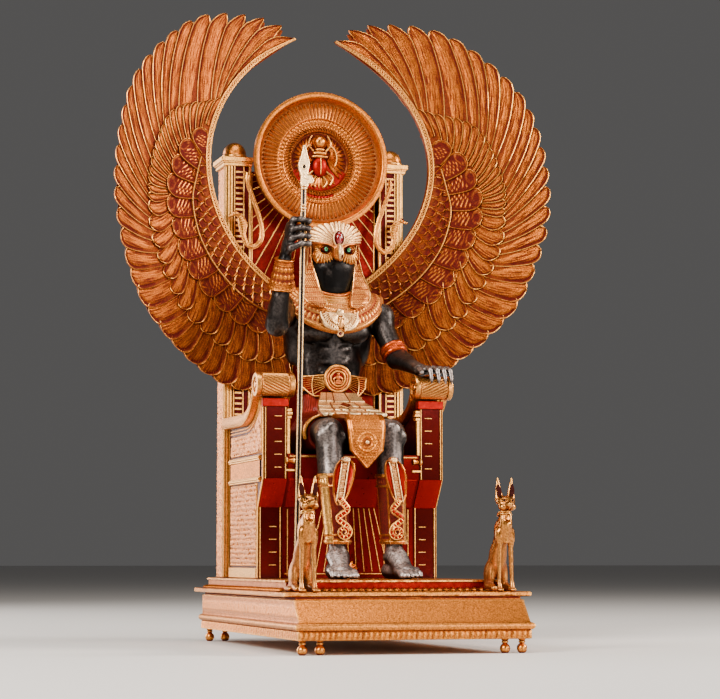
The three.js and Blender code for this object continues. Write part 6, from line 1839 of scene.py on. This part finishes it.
rise = np.where(np.arange(len(share))[None, :] >= len(share) - 3, -0.9, body_rise + carved)
rise[:, 0] = 0.0
points = collar_place(a_grid, s_grid, rise)
collar = Casting()
collar.grid(np.concatenate([points, points[:1]], 0)[:, ::-1], gild=np.concatenate([bare, bare[:1]], 0)[:, ::-1],
            wrap=True)


def chest_place(x, z, out=0.0):
    """A place on the front of the collar, out millimetres proud of it"""
    a = math.atan2(x, 30)
    neck, rim = collar_neck(a), collar_rim(a)
    y = neck[1] + (rim[1] - neck[1]) * (neck[2] - z) / (neck[2] - rim[2])
    return np.array([x, y - 4.6 - out, z + 2.5])


PECTORAL_Z = 299.5
ball(collar, chest_place(0, PECTORAL_Z + 4, 1.6), (4.4, 2.8, 4.4), look=1, rows=16, sides=24)
ball(collar, chest_place(0, PECTORAL_Z - 6, 1.0), (3.0, 2.4, 5.4), rows=12, sides=20)
for k in range(3):
    ball(collar, chest_place(0, PECTORAL_Z - 1 - 1.8 * k, 1.6), (3.4 - 0.4 * k, 2.2, 0.9), rows=8, sides=16)
for s in (-1, 1):
    for rank, (far, wide) in enumerate(((16.5, 3.8), (11.0, 3.2))):
        for k in range(9):
            a = math.radians(-84 + 9.6 * k)
            line = []
            for t in np.linspace(0.16, 1, 8):
                r, turn = far * t, a + 0.5 * (1 - t)
                place = chest_place(s * (1.5 + r * math.cos(turn)), PECTORAL_Z + 3 + r * math.sin(turn), 0.9 + rank * 1.1)
                line.append(place)
            plume(collar, line, (0.2 * s, -0.95, 0.25), wide * (1.15 - 0.55 * FEATHER_TAPER[::-1]) * FEATHER_TAPER, 1.0,
                  look=1)
    crescent = [chest_place(s * (1.5 + 16.2 * math.cos(a)), PECTORAL_Z + 3 + 16.2 * math.sin(a), 1.4)
                for a in np.linspace(0.12, -1.35, 17)]
    bar(collar, crescent, 0.5 + 1.7 * np.sin(np.linspace(0.1, np.pi - 0.1, 17)), sides=10, look=1)
    leg = smooth_path([chest_place(s * 2, PECTORAL_Z - 8, 1), chest_place(s * 5, PECTORAL_Z - 11, 1.4),
                       chest_place(s * 3, PECTORAL_Z - 14, 1)], 8)
    bar(collar, leg, 0.7, sides=8)
pendant = [(2.4 * math.cos(a), 48.6, 286.4 + 2.4 * math.sin(a)) for a in np.linspace(0, 2 * math.pi, 25)]
bar(collar, pendant, 0.95, sides=8)
ball(collar, (0, 49.2, 286.4), (1.5, 1.0, 1.5), look=2, rows=8, sides=14)
for k in range(3):
    neck_band = [(x, 63.6 - 1.7 * k + 0.02 * x * x, 323.6 - 3.6 * k + 0.016 * x * x)
                 for x in np.linspace(-16.5 - 1.4 * k, 16.5 + 1.4 * k, 25)]
    bar(collar, neck_band, 2.0, sides=12, look=(3, 0, 1)[k])
collar.build("broad_collar", [jewel_gold, pale_gold, gem_red, red_gold], "gold", ["collar"], crease=55)

# Belt. A sun ring with a small crouched figure over the kilt, and two stiff wings in dark
# red enamel with gold lines that spread from it round the waist.
belt = Casting()
RING_AT = np.array((0, 57.5, 245.2))
waist = np.linspace(0, 2 * math.pi, 97)
for z, r in ((235.6, 1.5), (238.6, 1.0), (241.4, 1.5)):
    loop = [(30.4 * math.sin(a), 86 - 23.8 * math.cos(a), z) for a in waist]
    bar(belt, loop, r, sides=8)


def belt_place(x, z, out=0.0):
    """A place on the belt's wings"""
    return np.array([x, 59.6 + 0.0125 * x * x - out, z])


WING_TOP = ((8, 249.0), (20, 248.0), (31.5, 247.4))
WING_FOOT = ((8, 232.0), (20, 229.0), (30.5, 237.6))
WING_FOLD = 21.5
for s in (-1, 1):
    reach = np.linspace(8, 31, 24)
    high = np.interp(reach, [x for x, z in WING_TOP], [z for x, z in WING_TOP])
    low = np.interp(reach, [x for x, z in WING_FOOT], [z for x, z in WING_FOOT])
    share = np.linspace(0, 1, 9)
    sheet = np.array([[belt_place(s * x, b + (t - b) * v) for v in share] for x, t, b in zip(reach, high, low)])
    back = sheet[:, ::-1] + (0, 3.2, 0)
    closed = np.concatenate([sheet, back], 1)
    belt.grid(closed[:, ::-1] if s > 0 else closed, gild=0.2, look=1, wrap=True, ends=True)
    for k in range(8):
        a = (k + 0.5) / 8
        edge_z = 229.6 + 17.2 * a if a > 0.34 else 228.6 + 20.0 * a
        far = 30.6 if a > 0.42 else 20.5 + 24 * a
        inner, outer = np.array((11.6, 236.6 + 10.6 * a)), np.array((far, edge_z + (0 if a > 0.42 else 0.5)))
        fold = inner + (outer - inner) * (WING_FOLD - 11.6) / max(outer[0] - 11.6, 10.6)
        for one, two, out in ((inner, fold, 1.1), (fold, outer, 0.3)):
            line = [belt_place(s * x, z, out) for x, z in np.linspace(one, two, 7)]
            bar(belt, line, 0.32, sides=6)
    fold_line = [belt_place(s * (WING_FOLD + 1.2 * math.sin(math.pi * t)), 230.4 + 17.4 * t, 0.8) for t in np.linspace(0, 1, 9)]
    bar(belt, fold_line, 0.6, sides=6)
    rim = [belt_place(s * x, z, 0.5) for x, z in (*WING_TOP, *WING_FOOT[::-1])]
    bar(belt, smooth_path(rim[:3], 16), 0.8, sides=8)
    bar(belt, smooth_path(rim[3:], 16), 0.8, sides=8)
    bar(belt, [rim[2], rim[3]], 0.8, sides=8)
ball(belt, RING_AT + (0, 2.2, 0), (12.4, 2.6, 12.4), look=2, rows=24, sides=40)
for radius, back, thick, look in ((12.0, 0.2, 1.5, 0), (9.4, -0.4, 0.9, 3), (6.9, -0.7, 1.1, 0)):
    ring_path = [RING_AT + (radius * math.cos(a), back, radius * math.sin(a)) for a in
                 np.linspace(0, 2 * math.pi, 65)]
    bar(belt, ring_path, thick, sides=10, look=look)
for z, w, h in ((-4.4, 4.6, 1.3), (-2.6, 2.6, 1.8), (0.6, 2.1, 2.6), (4.0, 1.6, 1.6)):
    ball(belt, RING_AT + (0, -1.6, z), (w, 1.7, h), look=3, rows=10, sides=18)
for s in (-1, 1):
    bar(belt, [RING_AT + (s * 1.6, -1.8, 1.6), RING_AT + (s * 4.2, -1.6, -0.4), RING_AT + (s * 3.6, -1.5, -3.6)],
        [0.8, 0.9, 0.6], sides=8, look=3)
belt.build("winged_belt", [gold, red_enamel, bright_enamel, red_gold], "gold", ["belt"], crease=50)

# Apron. A bent plate of stepped tile rows over the lap, and a long tongue between the
# knees with a rim, fine scales and a round boss.
APRON_LINE = ((57, 231.5, 17), (44, 221, 23), (26, 213.6, 28), (8, 208.8, 31), (0, 207.2, 31), (-1.6, 206.0, 19),
              (-16, 205.6, 18.6), (-27, 204.6, 18.2), (-34.4, 200.4, 17.6), (-37, 193, 17.2), (-37.5, 184, 16.4),
              (-37.5, 174, 15.2), (-37.5, 158.5, 1.2))
apron = Casting()
line = np.array(APRON_LINE, float)
steps = np.concatenate([[0], np.cumsum(np.hypot(*np.diff(line[:, :2], axis=0).T))])
CORNER = steps[4]


def apron_at(d):
    """Place (y, z), half width and outward direction at distance d down the apron"""
    y, z, w = (np.interp(d, steps, line[:, k]) for k in range(3))
    y0, z0 = np.interp(d - 2.5, steps, line[:, 0]), np.interp(d - 2.5, steps, line[:, 1])
    y1, z1 = np.interp(d + 2.5, steps, line[:, 0]), np.interp(d + 2.5, steps, line[:, 1])
    run = np.hypot(y1 - y0, z1 - z0)
    return y, z, w, (z1 - z0) / run, (y0 - y1) / run


def apron_place(x, d, out):
    y, z, w, ny, nz = apron_at(d)
    return np.stack(np.broadcast_arrays(x, y + ny * out, z + nz * out), -1)


def apron_sheet(d, v, height, gild, sink=1.6):
    """A closed sheet down the apron, rows at distances d, columns across at shares v"""
    half = apron_at(d)[2]
    top = apron_place(half[:, None] * v[None, :], d[:, None] + 0 * v[None, :], height)
    under = apron_place(half[:, None] * np.array([[1.0, -1.0]]), d[:, None] + np.zeros((1, 2)), -sink)
    shade = np.concatenate([gild, np.ones((len(d), 2)) * 0.5], 1)
    apron.grid(np.concatenate([top, under], 1), gild=shade, wrap=True, ends=True)


v = np.linspace(-1, 1, 41)
d = np.linspace(0.2, CORNER, 44)
apron_sheet(d, v, 0.9 + 0 * d[:, None] * v[None, :], 0.35 + 0 * d[:, None] * v[None, :])
TILE_ROWS = ((1.0, 17.0, 3), (17.7, 31.4, 4), (32.1, 45.6, 4), (46.3, CORNER + 0.8, 5))
for row, (near, far, count) in enumerate(TILE_ROWS):
    for k in range(count):
        for part in range(2 if (k + row) % 3 == 0 else 1):
            half_near, half_far = apron_at(near)[2], apron_at(far - 1)[2]
            left, right = -1 + 2 * k / count + 0.03, -1 + 2 * (k + 1) / count - 0.03
            if (k + row) % 3 == 0:
                left, right = (left, (left + right) / 2 - 0.012) if part == 0 else ((left + right) / 2 + 0.012, right)
            tip = 1.0 if (k + row) % 2 else 0.0
            rings = []
            for inset, out_near, out_far in ((0.0, 0.4, 0.4), (0.05, 1.3, 2.3), (0.55, 1.7, 2.8)):
                a, b = near + inset, far - inset
                xs = (left * half_near + inset, right * half_near - inset, right * half_far - inset,
                      (left + right) / 2 * half_far, left * half_far + inset)
                ds = (a, a, b, b + tip, b)
                outs = (out_near, out_near, out_far, out_far, out_far)
                rings.append([apron_place(x, dd, out) for x, dd, out in zip(xs, ds, outs)])
            # Tile gild of 1.3 on every other tile and 1.1 on the rest lays on painted highlights.
            apron.grid(np.array(rings), gild=1.3 if (row + k) % 2 else 1.1, look=1, wrap=True, ends=True)
diamond = [apron_place(x, dd, 2.9) for x, dd in ((0, 22), (6.4, 29.5), (0, 38), (-6.4, 29.5))]
inner_diamond = [apron_place(x, dd, 3.6) for x, dd in ((0, 23.4), (5.2, 29.5), (0, 36.6), (-5.2, 29.5))]
low_diamond = [apron_place(x, dd, 0.5) for x, dd in ((0, 22), (6.4, 29.5), (0, 38), (-6.4, 29.5))]
apron.grid(np.array([low_diamond, diamond, inner_diamond]), look=2, wrap=True, ends=True)
bar(apron, diamond + diamond[:1], 0.6, sides=6, look=1)
BOSS_D = steps[10] + 3.0
d = np.linspace(CORNER + 1.5, steps[-1], 160)
v = np.linspace(-1, 1, 61)
dd, vv = np.meshgrid(d, v, indexing="ij")
half = apron_at(d)[2][:, None]
x = vv * half
cell_u, cell_w = x / 2.5, dd / 2.3
shift = (np.floor(cell_w) % 2) * 0.5
scale_bump = np.clip(1 - np.hypot((cell_u + shift) % 1 - 0.5, cell_w % 1 - 0.25) / 0.72, 0, 1)
from_edge = (1 - np.abs(vv)) * half
rim_hump = np.exp(-((from_edge - 1.3) / 0.9) ** 2)
second = np.exp(-((from_edge - 3.6) / 0.4) ** 2)
away = np.hypot(x, dd - BOSS_D)
rings = np.exp(-((away - 8.2) / 0.7) ** 2) + np.exp(-((away - 5.0) / 0.6) ** 2) + 0.9 * (away < 2.0)
spokes = ((away > 5.6) & (away < 7.6)) * (0.5 + 0.5 * np.cos(12 * np.arctan2(x, dd - BOSS_D)))
plain = (away < 9.0) | (from_edge < 4.4)
fan = np.exp(-((away % 3.1 - 1.5) / 0.45) ** 2) * (away > 9.5) * (away < 19) * (dd > BOSS_D - 4)
height = 1.2 + 0.8 * scale_bump * ~plain + 1.2 * rim_hump + 0.6 * second + 1.1 * rings + 0.4 * spokes + 0.3 * fan
bare = np.clip(0.25 + 0.8 * scale_bump * ~plain + rim_hump + second + rings + 0.5 * spokes, 0, 1)
apron_sheet(d, v, height, bare)
ball(apron, apron_place(0.0, BOSS_D, 2.2), (1.9, 1.4, 1.9), look=1, rows=10, sides=18)
apron.build("stepped_apron", [gold, pale_gold, red_enamel], "gold", ["apron"], crease=40)

# Greaves. A gold shell round each shin with cuffs and segments, and in front a cobra that
# rears from a coil, its wide hood red inside with a ladder of gold scales.
SHIN_TOP, SHIN_FOOT = (27.6, -20.5, 158.5), (26.0, -35.5, 91.0)


def shin_place(around, z, out):
    """A place on the right greave, around 0 in front"""
    t = (SHIN_TOP[2] - z) / (SHIN_TOP[2] - SHIN_FOOT[2])
    cx, cy = (SHIN_TOP[k] + (SHIN_FOOT[k] - SHIN_TOP[k]) * t for k in (0, 1))
    r = 13.0 - 2.2 * t + 0.9 * np.exp(-((t - 0.02) / 0.06) ** 2) + 0.7 * np.exp(-((t - 0.98) / 0.06) ** 2) + out
    return np.stack(np.broadcast_arrays(cx + r * np.sin(around), cy - r * 1.02 * np.cos(around), z), -1)


greave = Casting()
GREAVE_TOP = 153.5
around, z = np.meshgrid(np.linspace(0, 2 * math.pi, 97)[:-1], np.linspace(GREAVE_TOP, 91.2, 90), indexing="ij")
half_turn = np.abs(np.sin(around / 2))
side_share = np.where(np.sin(around) > 0, ramp(half_turn, 0.26, 0.34), ramp(half_turn, 0.74, 0.8))
segments = np.exp(-(((z - 91) % 8.6 - 1.0) / 0.6) ** 2)
cuffs = np.exp(-((z - GREAVE_TOP + 2) / 1.3) ** 2) + np.exp(-((z - GREAVE_TOP + 11) / 0.8) ** 2) + np.exp(-((z - 93.5) / 1.5) ** 2) \
    + np.exp(-((z - 99) / 0.7) ** 2)
seam = np.exp(-((half_turn - 0.3) / 0.02) ** 2) + np.exp(-((half_turn - 0.77) / 0.02) ** 2) * (np.sin(around) < 0)
dots = np.clip(np.cos(around * 30) * np.cos((z - 147) / 5 * np.pi) * 1.5, 0, 1) * (z > 143) * (z < 150)
height = 0.3 * side_share * (z < 140) * segments + 1.2 * cuffs + 0.8 * seam + 0.6 * dots
# gild above 1 on the outer side band, the cuffs and the seams lays on a painted highlight.
bare = np.clip(0.02 + 1.25 * side_share + cuffs + seam, 0, 1.25)
front = shin_place(around, z, height)
inner = shin_place(around[:, :2], np.array([[91.2, GREAVE_TOP]]), -1.5)
points = np.concatenate([front, inner], 1)
shade = np.concatenate([bare, np.full((96, 2), 0.3)], 1)
greave.grid(np.concatenate([points, points[:1]], 0), gild=np.concatenate([shade, shade[:1]], 0), wrap=True)
HOOD = ((167.0, 0.4, -42.5), (165.2, 4.8, -44.0), (161.5, 8.0, -45.6), (156.0, 9.6, -46.4), (149.0, 9.5, -46.6),
        (142.0, 8.6, -46.8), (135.0, 7.0, -47.0), (129.0, 4.6, -47.2), (125.0, 2.4, -47.2))
hood_z, hood_w, hood_y = (np.array([row[k] for row in HOOD]) for k in range(3))
COBRA_X = 26.2
t = np.linspace(0, 1, 60)
hz = 167.0 - 42.0 * t
hw = np.interp(-hz, -hood_z, hood_w)
hy = np.interp(-hz, -hood_z, hood_y)
v = np.linspace(-1, 1, 33)[None, :]
lean = (7.0 * t - 5.0)[:, None]
belly = np.exp(-(v * hw[:, None] / 2.6) ** 4)
ladder = 0.5 + 0.5 * np.cos(2 * np.pi * hz[:, None] / 2.0)
rim_lift = 1.4 * np.exp(-(((1 - np.abs(v)) * hw[:, None] - 0.7) / 0.8) ** 2)
hood_height = 1.6 * belly * (0.55 + 0.45 * ladder) + rim_lift + 0.22 * np.cos(2 * np.pi * np.abs(v) * 4) * (1 - belly)
face = np.stack(np.broadcast_arrays(COBRA_X + lean + hw[:, None] * v, hy[:, None] + 1.6 - 2.2 * v ** 2 - hood_height,
                                    hz[:, None]), -1)
rear = np.stack(np.broadcast_arrays(COBRA_X + lean + hw[:, None] * np.array([[0.97, 0, -0.97]]),
                                    hy[:, None] + np.array([[1.8, 4.6, 1.8]]), hz[:, None]), -1)
hood_gild = np.clip(0.02 + belly * (0.45 + 0.75 * ladder) + rim_lift, 0, 1)
greave.grid(np.concatenate([face, rear], 1), gild=np.concatenate([hood_gild, np.full((60, 3), 0.8)], 1), wrap=True,
            ends=True)
first_quads = greave.quad_looks[-1].reshape(59, 36)
red_inside = (hood_gild[:-1, :-1] < 0.28)
first_quads[:, :32][red_inside] = 1
first_quads[:, :32][belly[:-1, :-1] > 0.5] = 2
for s in (-1, 1):
    bar(greave, [(COBRA_X + lean[k, 0] + s * 3.1, hy[k] - 0.4, hz[k]) for k in range(3, 57)], 0.62, sides=8, look=2)
HEAD_X = COBRA_X - 4.6
ball(greave, (HEAD_X, -46.2, 165.4), (4.2, 5.4, 3.0), look=2, rows=14, sides=24)
ball(greave, (HEAD_X, -50.4, 164.2), (2.9, 3.0, 2.1), look=2, rows=12, sides=20)
for s in (-1, 1):
    ball(greave, (HEAD_X + s * 2.9, -49.0, 166.2), (0.9, 0.9, 0.9), look=1, rows=8, sides=12)
curl = [(24.2 + 5.4 * (1 - 0.6 * k / 22) * math.cos(a), -49.0 - 0.05 * k, 101.6 + 5.4 * (1 - 0.6 * k / 22) * math.sin(a))
        for k, a in enumerate(np.linspace(math.pi, math.pi + 7.6, 23))]
body_path = smooth_path([(27.6, -46.6, 131), (25.2, -46.9, 127.6), (21.0, -47.2, 121), (29.4, -47.8, 113.8),
                         (21.6, -48.4, 107), (19.0, -48.8, 103.4)], 34)
body_path = np.concatenate([body_path, curl])
size = np.interp(np.linspace(0, 1, len(body_path)), [0, 0.5, 0.85, 1], [2.6, 2.3, 1.6, 0.8])
bar(greave, body_path, size, sides=12, look=1)
along = np.gradient(body_path, axis=0)
along /= np.linalg.norm(along, axis=1)[:, None]
beside = np.cross(along, (0, -1, 0))
for s in (-1, 1):
    bar(greave, body_path + beside * (s * size * 0.8)[:, None] - np.stack([0 * size, 0.55 * size, 0 * size], -1),
        np.maximum(0.5, size * 0.34), sides=6)
for k in range(3, len(body_path) - 8, 2):
    across = beside[k] * size[k] * 0.75
    lift = np.array((0, -size[k] * 0.95, 0))
    bar(greave, [body_path[k] - across + lift, body_path[k] + lift * 1.1, body_path[k] + across + lift], 0.36, sides=6)
greave_looks = [gold, bright_enamel, pale_gold]
greave.build("cobra_greave_right", greave_looks, "gold", ["greave_right"], crease=50)
greave.mirror().build("cobra_greave_left", greave_looks, "gold", ["greave_left"], crease=50)

# Bracer and armband. A flared cuff with a carved middle on the raised forearm, and two
# plain bands with a ribbed one between them on the lowered arm.
bracer = Casting()
axis_from, axis_to = np.array(ELBOW_R, float), np.array(WRIST_R, float)
arm_way = (axis_to - axis_from) / np.linalg.norm(axis_to - axis_from)
arm_side = np.cross(arm_way, (0, 1, 0))
arm_side /= np.linalg.norm(arm_side)
arm_front = np.cross(arm_side, arm_way)


def cuff(casting, centre, way, side, front, lengths, radii, carve, turns=72):
    """A turned sleeve on a slanted axis, carve(t, around) is its relief and its gilding"""
    t = np.linspace(0, 1, len(lengths))
    around = np.linspace(0, 2 * math.pi, turns, endpoint=False)
    relief, bare = carve(t[:, None], around[None, :])
    r = radii[:, None] + relief
    rows = (centre + way * lengths[:, None, None] + side * (r * np.cos(around))[..., None]
            + front * (r * np.sin(around))[..., None])
    inner = rows[[-1, 0]] * 0
    for k, j in enumerate((-1, 0)):
        inner[k] = (centre + way * lengths[j] + side * ((radii[j] - 1.8) * np.cos(around))[:, None]
                    + front * ((radii[j] - 1.8) * np.sin(around))[:, None])
    rows = np.concatenate([rows, inner, rows[:1]], 0)
    bare = np.concatenate([bare, bare[[-1, 0, 0]]], 0)
    casting.grid(rows, gild=bare, wrap=True)


def bracer_carving(t, around):
    ends = np.exp(-((t - 0.03) / 0.03) ** 2) + np.exp(-((t - 0.97) / 0.03) ** 2)
    lines = sum(np.exp(-((t - at) / 0.012) ** 2) for at in (0.14, 0.2, 0.8, 0.86))
    inside = ramp(t, 0.22, 0.24) * (1 - ramp(t, 0.76, 0.78))
    cells = np.clip(np.cos(8 * around + 14 * t) * np.cos(8 * around - 14 * t) * 1.6, 0, 1)
    ticks = np.clip(np.cos(24 * around) * 1.4, 0, 1) * (ramp(t, 0.06, 0.07) * (1 - ramp(t, 0.12, 0.13)))
    relief = 1.1 * ends + 0.7 * lines + 0.8 * inside * cells + 0.6 * ticks
    return relief, np.clip(0.2 + ends + lines + inside * cells + ticks + 0 * around, 0, 1)


lengths = np.linspace(33.5, 61.5, 80)
share = (lengths - lengths[0]) / (lengths[-1] - lengths[0])
radii = 7.6 + 5.2 * (1 - share) ** 1.5 + 0.6 * share ** 4
cuff(bracer, axis_from, arm_way, arm_side, arm_front, lengths, radii, bracer_carving)
bracer.build("carved_bracer", [gold], "gold", ["bracer"], crease=50)

armband = Casting()
low_from, low_to = np.array(SHOULDER_L, float), np.array(ELBOW_L, float)
low_way = (low_to - low_from) / np.linalg.norm(low_to - low_from)
low_side = np.cross(low_way, (0, 1, 0))
low_side /= np.linalg.norm(low_side)


def band_carving(t, around):
    bands = np.exp(-((t - 0.22) / 0.16) ** 4) + np.exp(-((t - 0.78) / 0.16) ** 4)
    ribs = np.clip(np.cos(34 * around), 0, 1) * np.exp(-((t - 0.5) / 0.1) ** 4)
    return 1.5 * bands + 0.7 * ribs, np.clip(0.15 + bands + ribs + 0 * around, 0, 1)


band_lengths = np.linspace(36.4, 47.4, 40)
cuff(armband, low_from, low_way, low_side, np.cross(low_side, low_way), band_lengths,
     np.interp(band_lengths, [36.4, 47.4], [11.4, 11.0]), band_carving)
armband.build("ribbed_armband", [red_gold], "gold", ["armband"], crease=50)

# Staff. A thin dark shaft between two bright gold edges, ringed above the hand, with a
# pale leaf-shaped head that forks to one side round a small hole.
STAFF_FOOT, STAFF_TIP = np.array((-54.5, 0, 60.8)), np.array((-48.0, 0, 452.0))
dark_metal = enamel("dark_metal", (0.012, 0.006, 0.005), rough=0.25, coat=0.2)
staff = Casting()


def staff_at(z):
    return STAFF_FOOT + (STAFF_TIP - STAFF_FOOT) * (z - STAFF_FOOT[2]) / (STAFF_TIP[2] - STAFF_FOOT[2])


shaft = [staff_at(z) for z in np.linspace(61.0, 416.0, 40)]
bar(staff, shaft, 1.55, sides=12, look=2)
for s in (-1, 1):
    bar(staff, [p + (s * 1.5, -0.2, 0) for p in shaft], 0.95, sides=10, look=1)
bar(staff, [p + (0, 1.3, 0) for p in shaft], 1.1, sides=8, look=1)
for z, r, high in ((62.0, 3.2, 1.2), (392.0, 2.9, 0.8), (394.6, 3.3, 1.0), (397.2, 2.9, 0.8), (412.6, 3.4, 1.1),
                   (415.2, 2.9, 0.8)):
    turned(staff, [(0.5, -high), (r * 0.8, -high), (r, -high * 0.4), (r, high * 0.4), (r * 0.8, high), (0.5, high)],
           staff_at(z), sides=20, look=1)
HEAD_EDGE = ((0.0, 0.3), (-1.4, -5), (-2.6, -10), (-4.6, -16), (-5.0, -19), (-4.0, -24), (-2.6, -29), (-2.6, -37),
             (2.4, -38), (3.2, -34.5), (7.4, -33.5), (8.2, -31.5), (6.0, -27.6), (3.0, -26.4), (3.6, -21), (4.4, -17),
             (2.8, -10), (1.4, -5))
head = np.array([(STAFF_TIP[0] + x, STAFF_TIP[2] + z) for x, z in HEAD_EDGE])
prism(staff, head, 1, -1.1, 1.1, look=1)
edge = smooth_path([(x, -0.9, z) for x, z in head] + [(head[0][0], -0.9, head[0][1])], 90)
bar(staff, edge, 0.75, sides=8, look=1)
bar(staff, edge * (1, -1, 1), 0.75, sides=8, look=1)
for y in (-1, 1):
    hole = [(STAFF_TIP[0] - 0.3 + 1.9 * math.cos(a), y * 1.25, STAFF_TIP[2] - 19.5 + 2.4 * math.sin(a))
            for a in np.linspace(0, 2 * math.pi, 25)]
    bar(staff, hole, 0.6, sides=8, look=1)
    ball(staff, (STAFF_TIP[0] - 0.3, y * 0.75, STAFF_TIP[2] - 19.5), (1.7, 0.6, 2.2), look=2, rows=8, sides=16)
    rib = [(STAFF_TIP[0] + x, y * 1.2, STAFF_TIP[2] + z) for x, z in ((0, -3), (0.2, -9), (0.1, -15))]
    bar(staff, smooth_path(rib, 10), np.linspace(0.3, 0.8, 10), sides=8, look=1)
    barb = [(STAFF_TIP[0] + x, y * 1.2, STAFF_TIP[2] + z) for x, z in ((-0.4, -25), (0.4, -30), (4.6, -30.6))]
    bar(staff, smooth_path(barb, 10), np.linspace(0.8, 0.4, 10), sides=8, look=1)
staff.build("forked_staff", [gold, pale_gold, dark_metal], "gold", ["staff"], crease=45)

# Hanging cobras. Two smooth gold ribbons that fall from the disc's sides, swing in and
# round, and rear up with a small hood and head.
COBRA_LINE = ((71.4, 447), (71.2, 438), (66.6, 424), (60.0, 406), (57.0, 392), (58.6, 381), (65.3, 375.2),
              (72.4, 378.8), (75.4, 388.0), (75.6, 396.5), (78.4, 403.6), (83.0, 406.2), (88.0, 404.4))
hanging = Casting()
line = smooth_path([(x, 124.6, z) for x, z in COBRA_LINE], 80)
t = np.linspace(0, 1, 80)
girth = np.interp(t, [0, 0.1, 0.45, 0.62, 0.72, 0.8, 0.9, 1], [1.5, 2.0, 2.4, 2.2, 2.6, 2.3, 1.7, 0.7])
along = np.gradient(line, axis=0)
along /= np.linalg.norm(along, axis=1)[:, None]
beside = np.cross(along, (0, -1, 0))
section = np.linspace(0, 2 * math.pi, 17)[:-1]
hood = np.exp(-((t - 0.76) / 0.07) ** 2)
rows = line[:, None] + (beside[:, None] * ((girth + 1.9 * hood)[:, None] * np.cos(section))[..., None]
                        + np.array((0, 1.0, 0)) * ((girth * (0.9 - 0.2 * hood))[:, None] * np.sin(section))[..., None])
hanging.grid(rows, wrap=True, ends=True)
for s in (-1, 1):
    edge = line + beside * (s * (girth + 1.9 * hood) * 0.86)[:, None] - np.stack([0 * t, girth * 0.5, 0 * t], -1)
    bar(hanging, edge[2:-4], 0.5, sides=6)
for k in range(44, 68, 2):
    across = beside[k] * (girth[k] + 1.9 * hood[k]) * 0.62
    lift = np.array((0, -girth[k] * 0.86, 0))
    bar(hanging, [line[k] - across + lift * 0.86, line[k] + lift * 1.1, line[k] + across + lift * 0.86], 0.4, sides=6)
ball(hanging, line[-8] + (0, -0.4, 0.6), (3.1, 2.3, 2.3), rows=12, sides=20)
ball(hanging, line[-2] + (0, -0.4, 0), (2.4, 1.7, 1.5), rows=10, sides=16)
ball(hanging, line[-7] + (0.4, -2.2, 1.4), (0.8, 0.7, 0.8), look=1, rows=8, sides=12)
hanging.build("hanging_cobra_right", [smooth_gold, dark_enamel], "gold", ["cobra_right"], crease=60)
hanging.mirror().build("hanging_cobra_left", [smooth_gold, dark_enamel], "gold", ["cobra_left"], crease=60)

# The place where it stands: a plain pale floor, soft studio lights and the camera.
EYE, YAW, PITCH = (-567.1, -1959.5, 77.0), 16.27, 5.33
FOCAL_PX, FRAME_PX, SENSOR = 2259, 720, 36
floor = bpy.data.meshes.new("floor")
reach_m = 30
floor.from_pydata([(-reach_m, -reach_m, 0), (reach_m, -reach_m, 0), (reach_m, reach_m, 0), (-reach_m, reach_m, 0)],
                  [], [(0, 1, 2, 3)])
ground = bpy.data.objects.new("floor", floor)
bpy.context.scene.collection.objects.link(ground)
pale = bpy.data.materials.new("pale_floor")
pale.use_nodes = True
pale.node_tree.nodes["Principled BSDF"].inputs["Base Color"].default_value = (0.62, 0.6, 0.58, 1)
pale.node_tree.nodes["Principled BSDF"].inputs["Roughness"].default_value = 0.55
floor.materials.append(pale)


def softbox(name, place, size, power, color=(1, 1, 1)):
    """A square studio light that faces the statue's middle"""
    light = bpy.data.lights.new(name, "AREA")
    light.size, light.energy, light.color = size, power, color
    lamp = bpy.data.objects.new(name, light)
    lamp.location = place
    lamp.rotation_mode = "QUATERNION"
    lamp.rotation_quaternion = (Vector((0, 0, 0.3)) - Vector(place)).to_track_quat("-Z", "Y")
    bpy.context.scene.collection.objects.link(lamp)


softbox("key_left", (-1.5, -1.1, 1.1), 0.7, 66, (1, 0.94, 0.86))
softbox("fill_front", (0.95, -2.1, 0.65), 1.2, 34, (1, 0.92, 0.86))
softbox("rim_right", (1.7, -0.5, 1.05), 0.8, 74, (1, 0.9, 0.8))
softbox("top", (-0.1, -0.5, 1.7), 0.9, 26, (1, 0.94, 0.88))
softbox("back_left", (-1.1, 1.35, 0.6), 1.1, 38, (1, 0.95, 0.9))
world = bpy.data.worlds.new("studio")
world.use_nodes = True
world.node_tree.nodes["Background"].inputs["Color"].default_value = (0.78, 0.76, 0.75, 1)
world.node_tree.nodes["Background"].inputs["Strength"].default_value = 0.12
bpy.context.scene.world = world

camera = bpy.data.cameras.new("camera")
camera.sensor_width = SENSOR
camera.lens = FOCAL_PX / FRAME_PX * SENSOR
camera.clip_start, camera.clip_end = 0.05, 100
viewer = bpy.data.objects.new("camera", camera)
viewer.location = [v * MM for v in EYE]
yaw, pitch = math.radians(YAW), math.radians(PITCH)
ahead = Vector((math.sin(yaw) * math.cos(pitch), math.cos(yaw) * math.cos(pitch), math.sin(pitch)))
viewer.rotation_mode = "QUATERNION"
viewer.rotation_quaternion = ahead.to_track_quat("-Z", "Y")
bpy.context.scene.collection.objects.link(viewer)
bpy.context.scene.camera = viewer
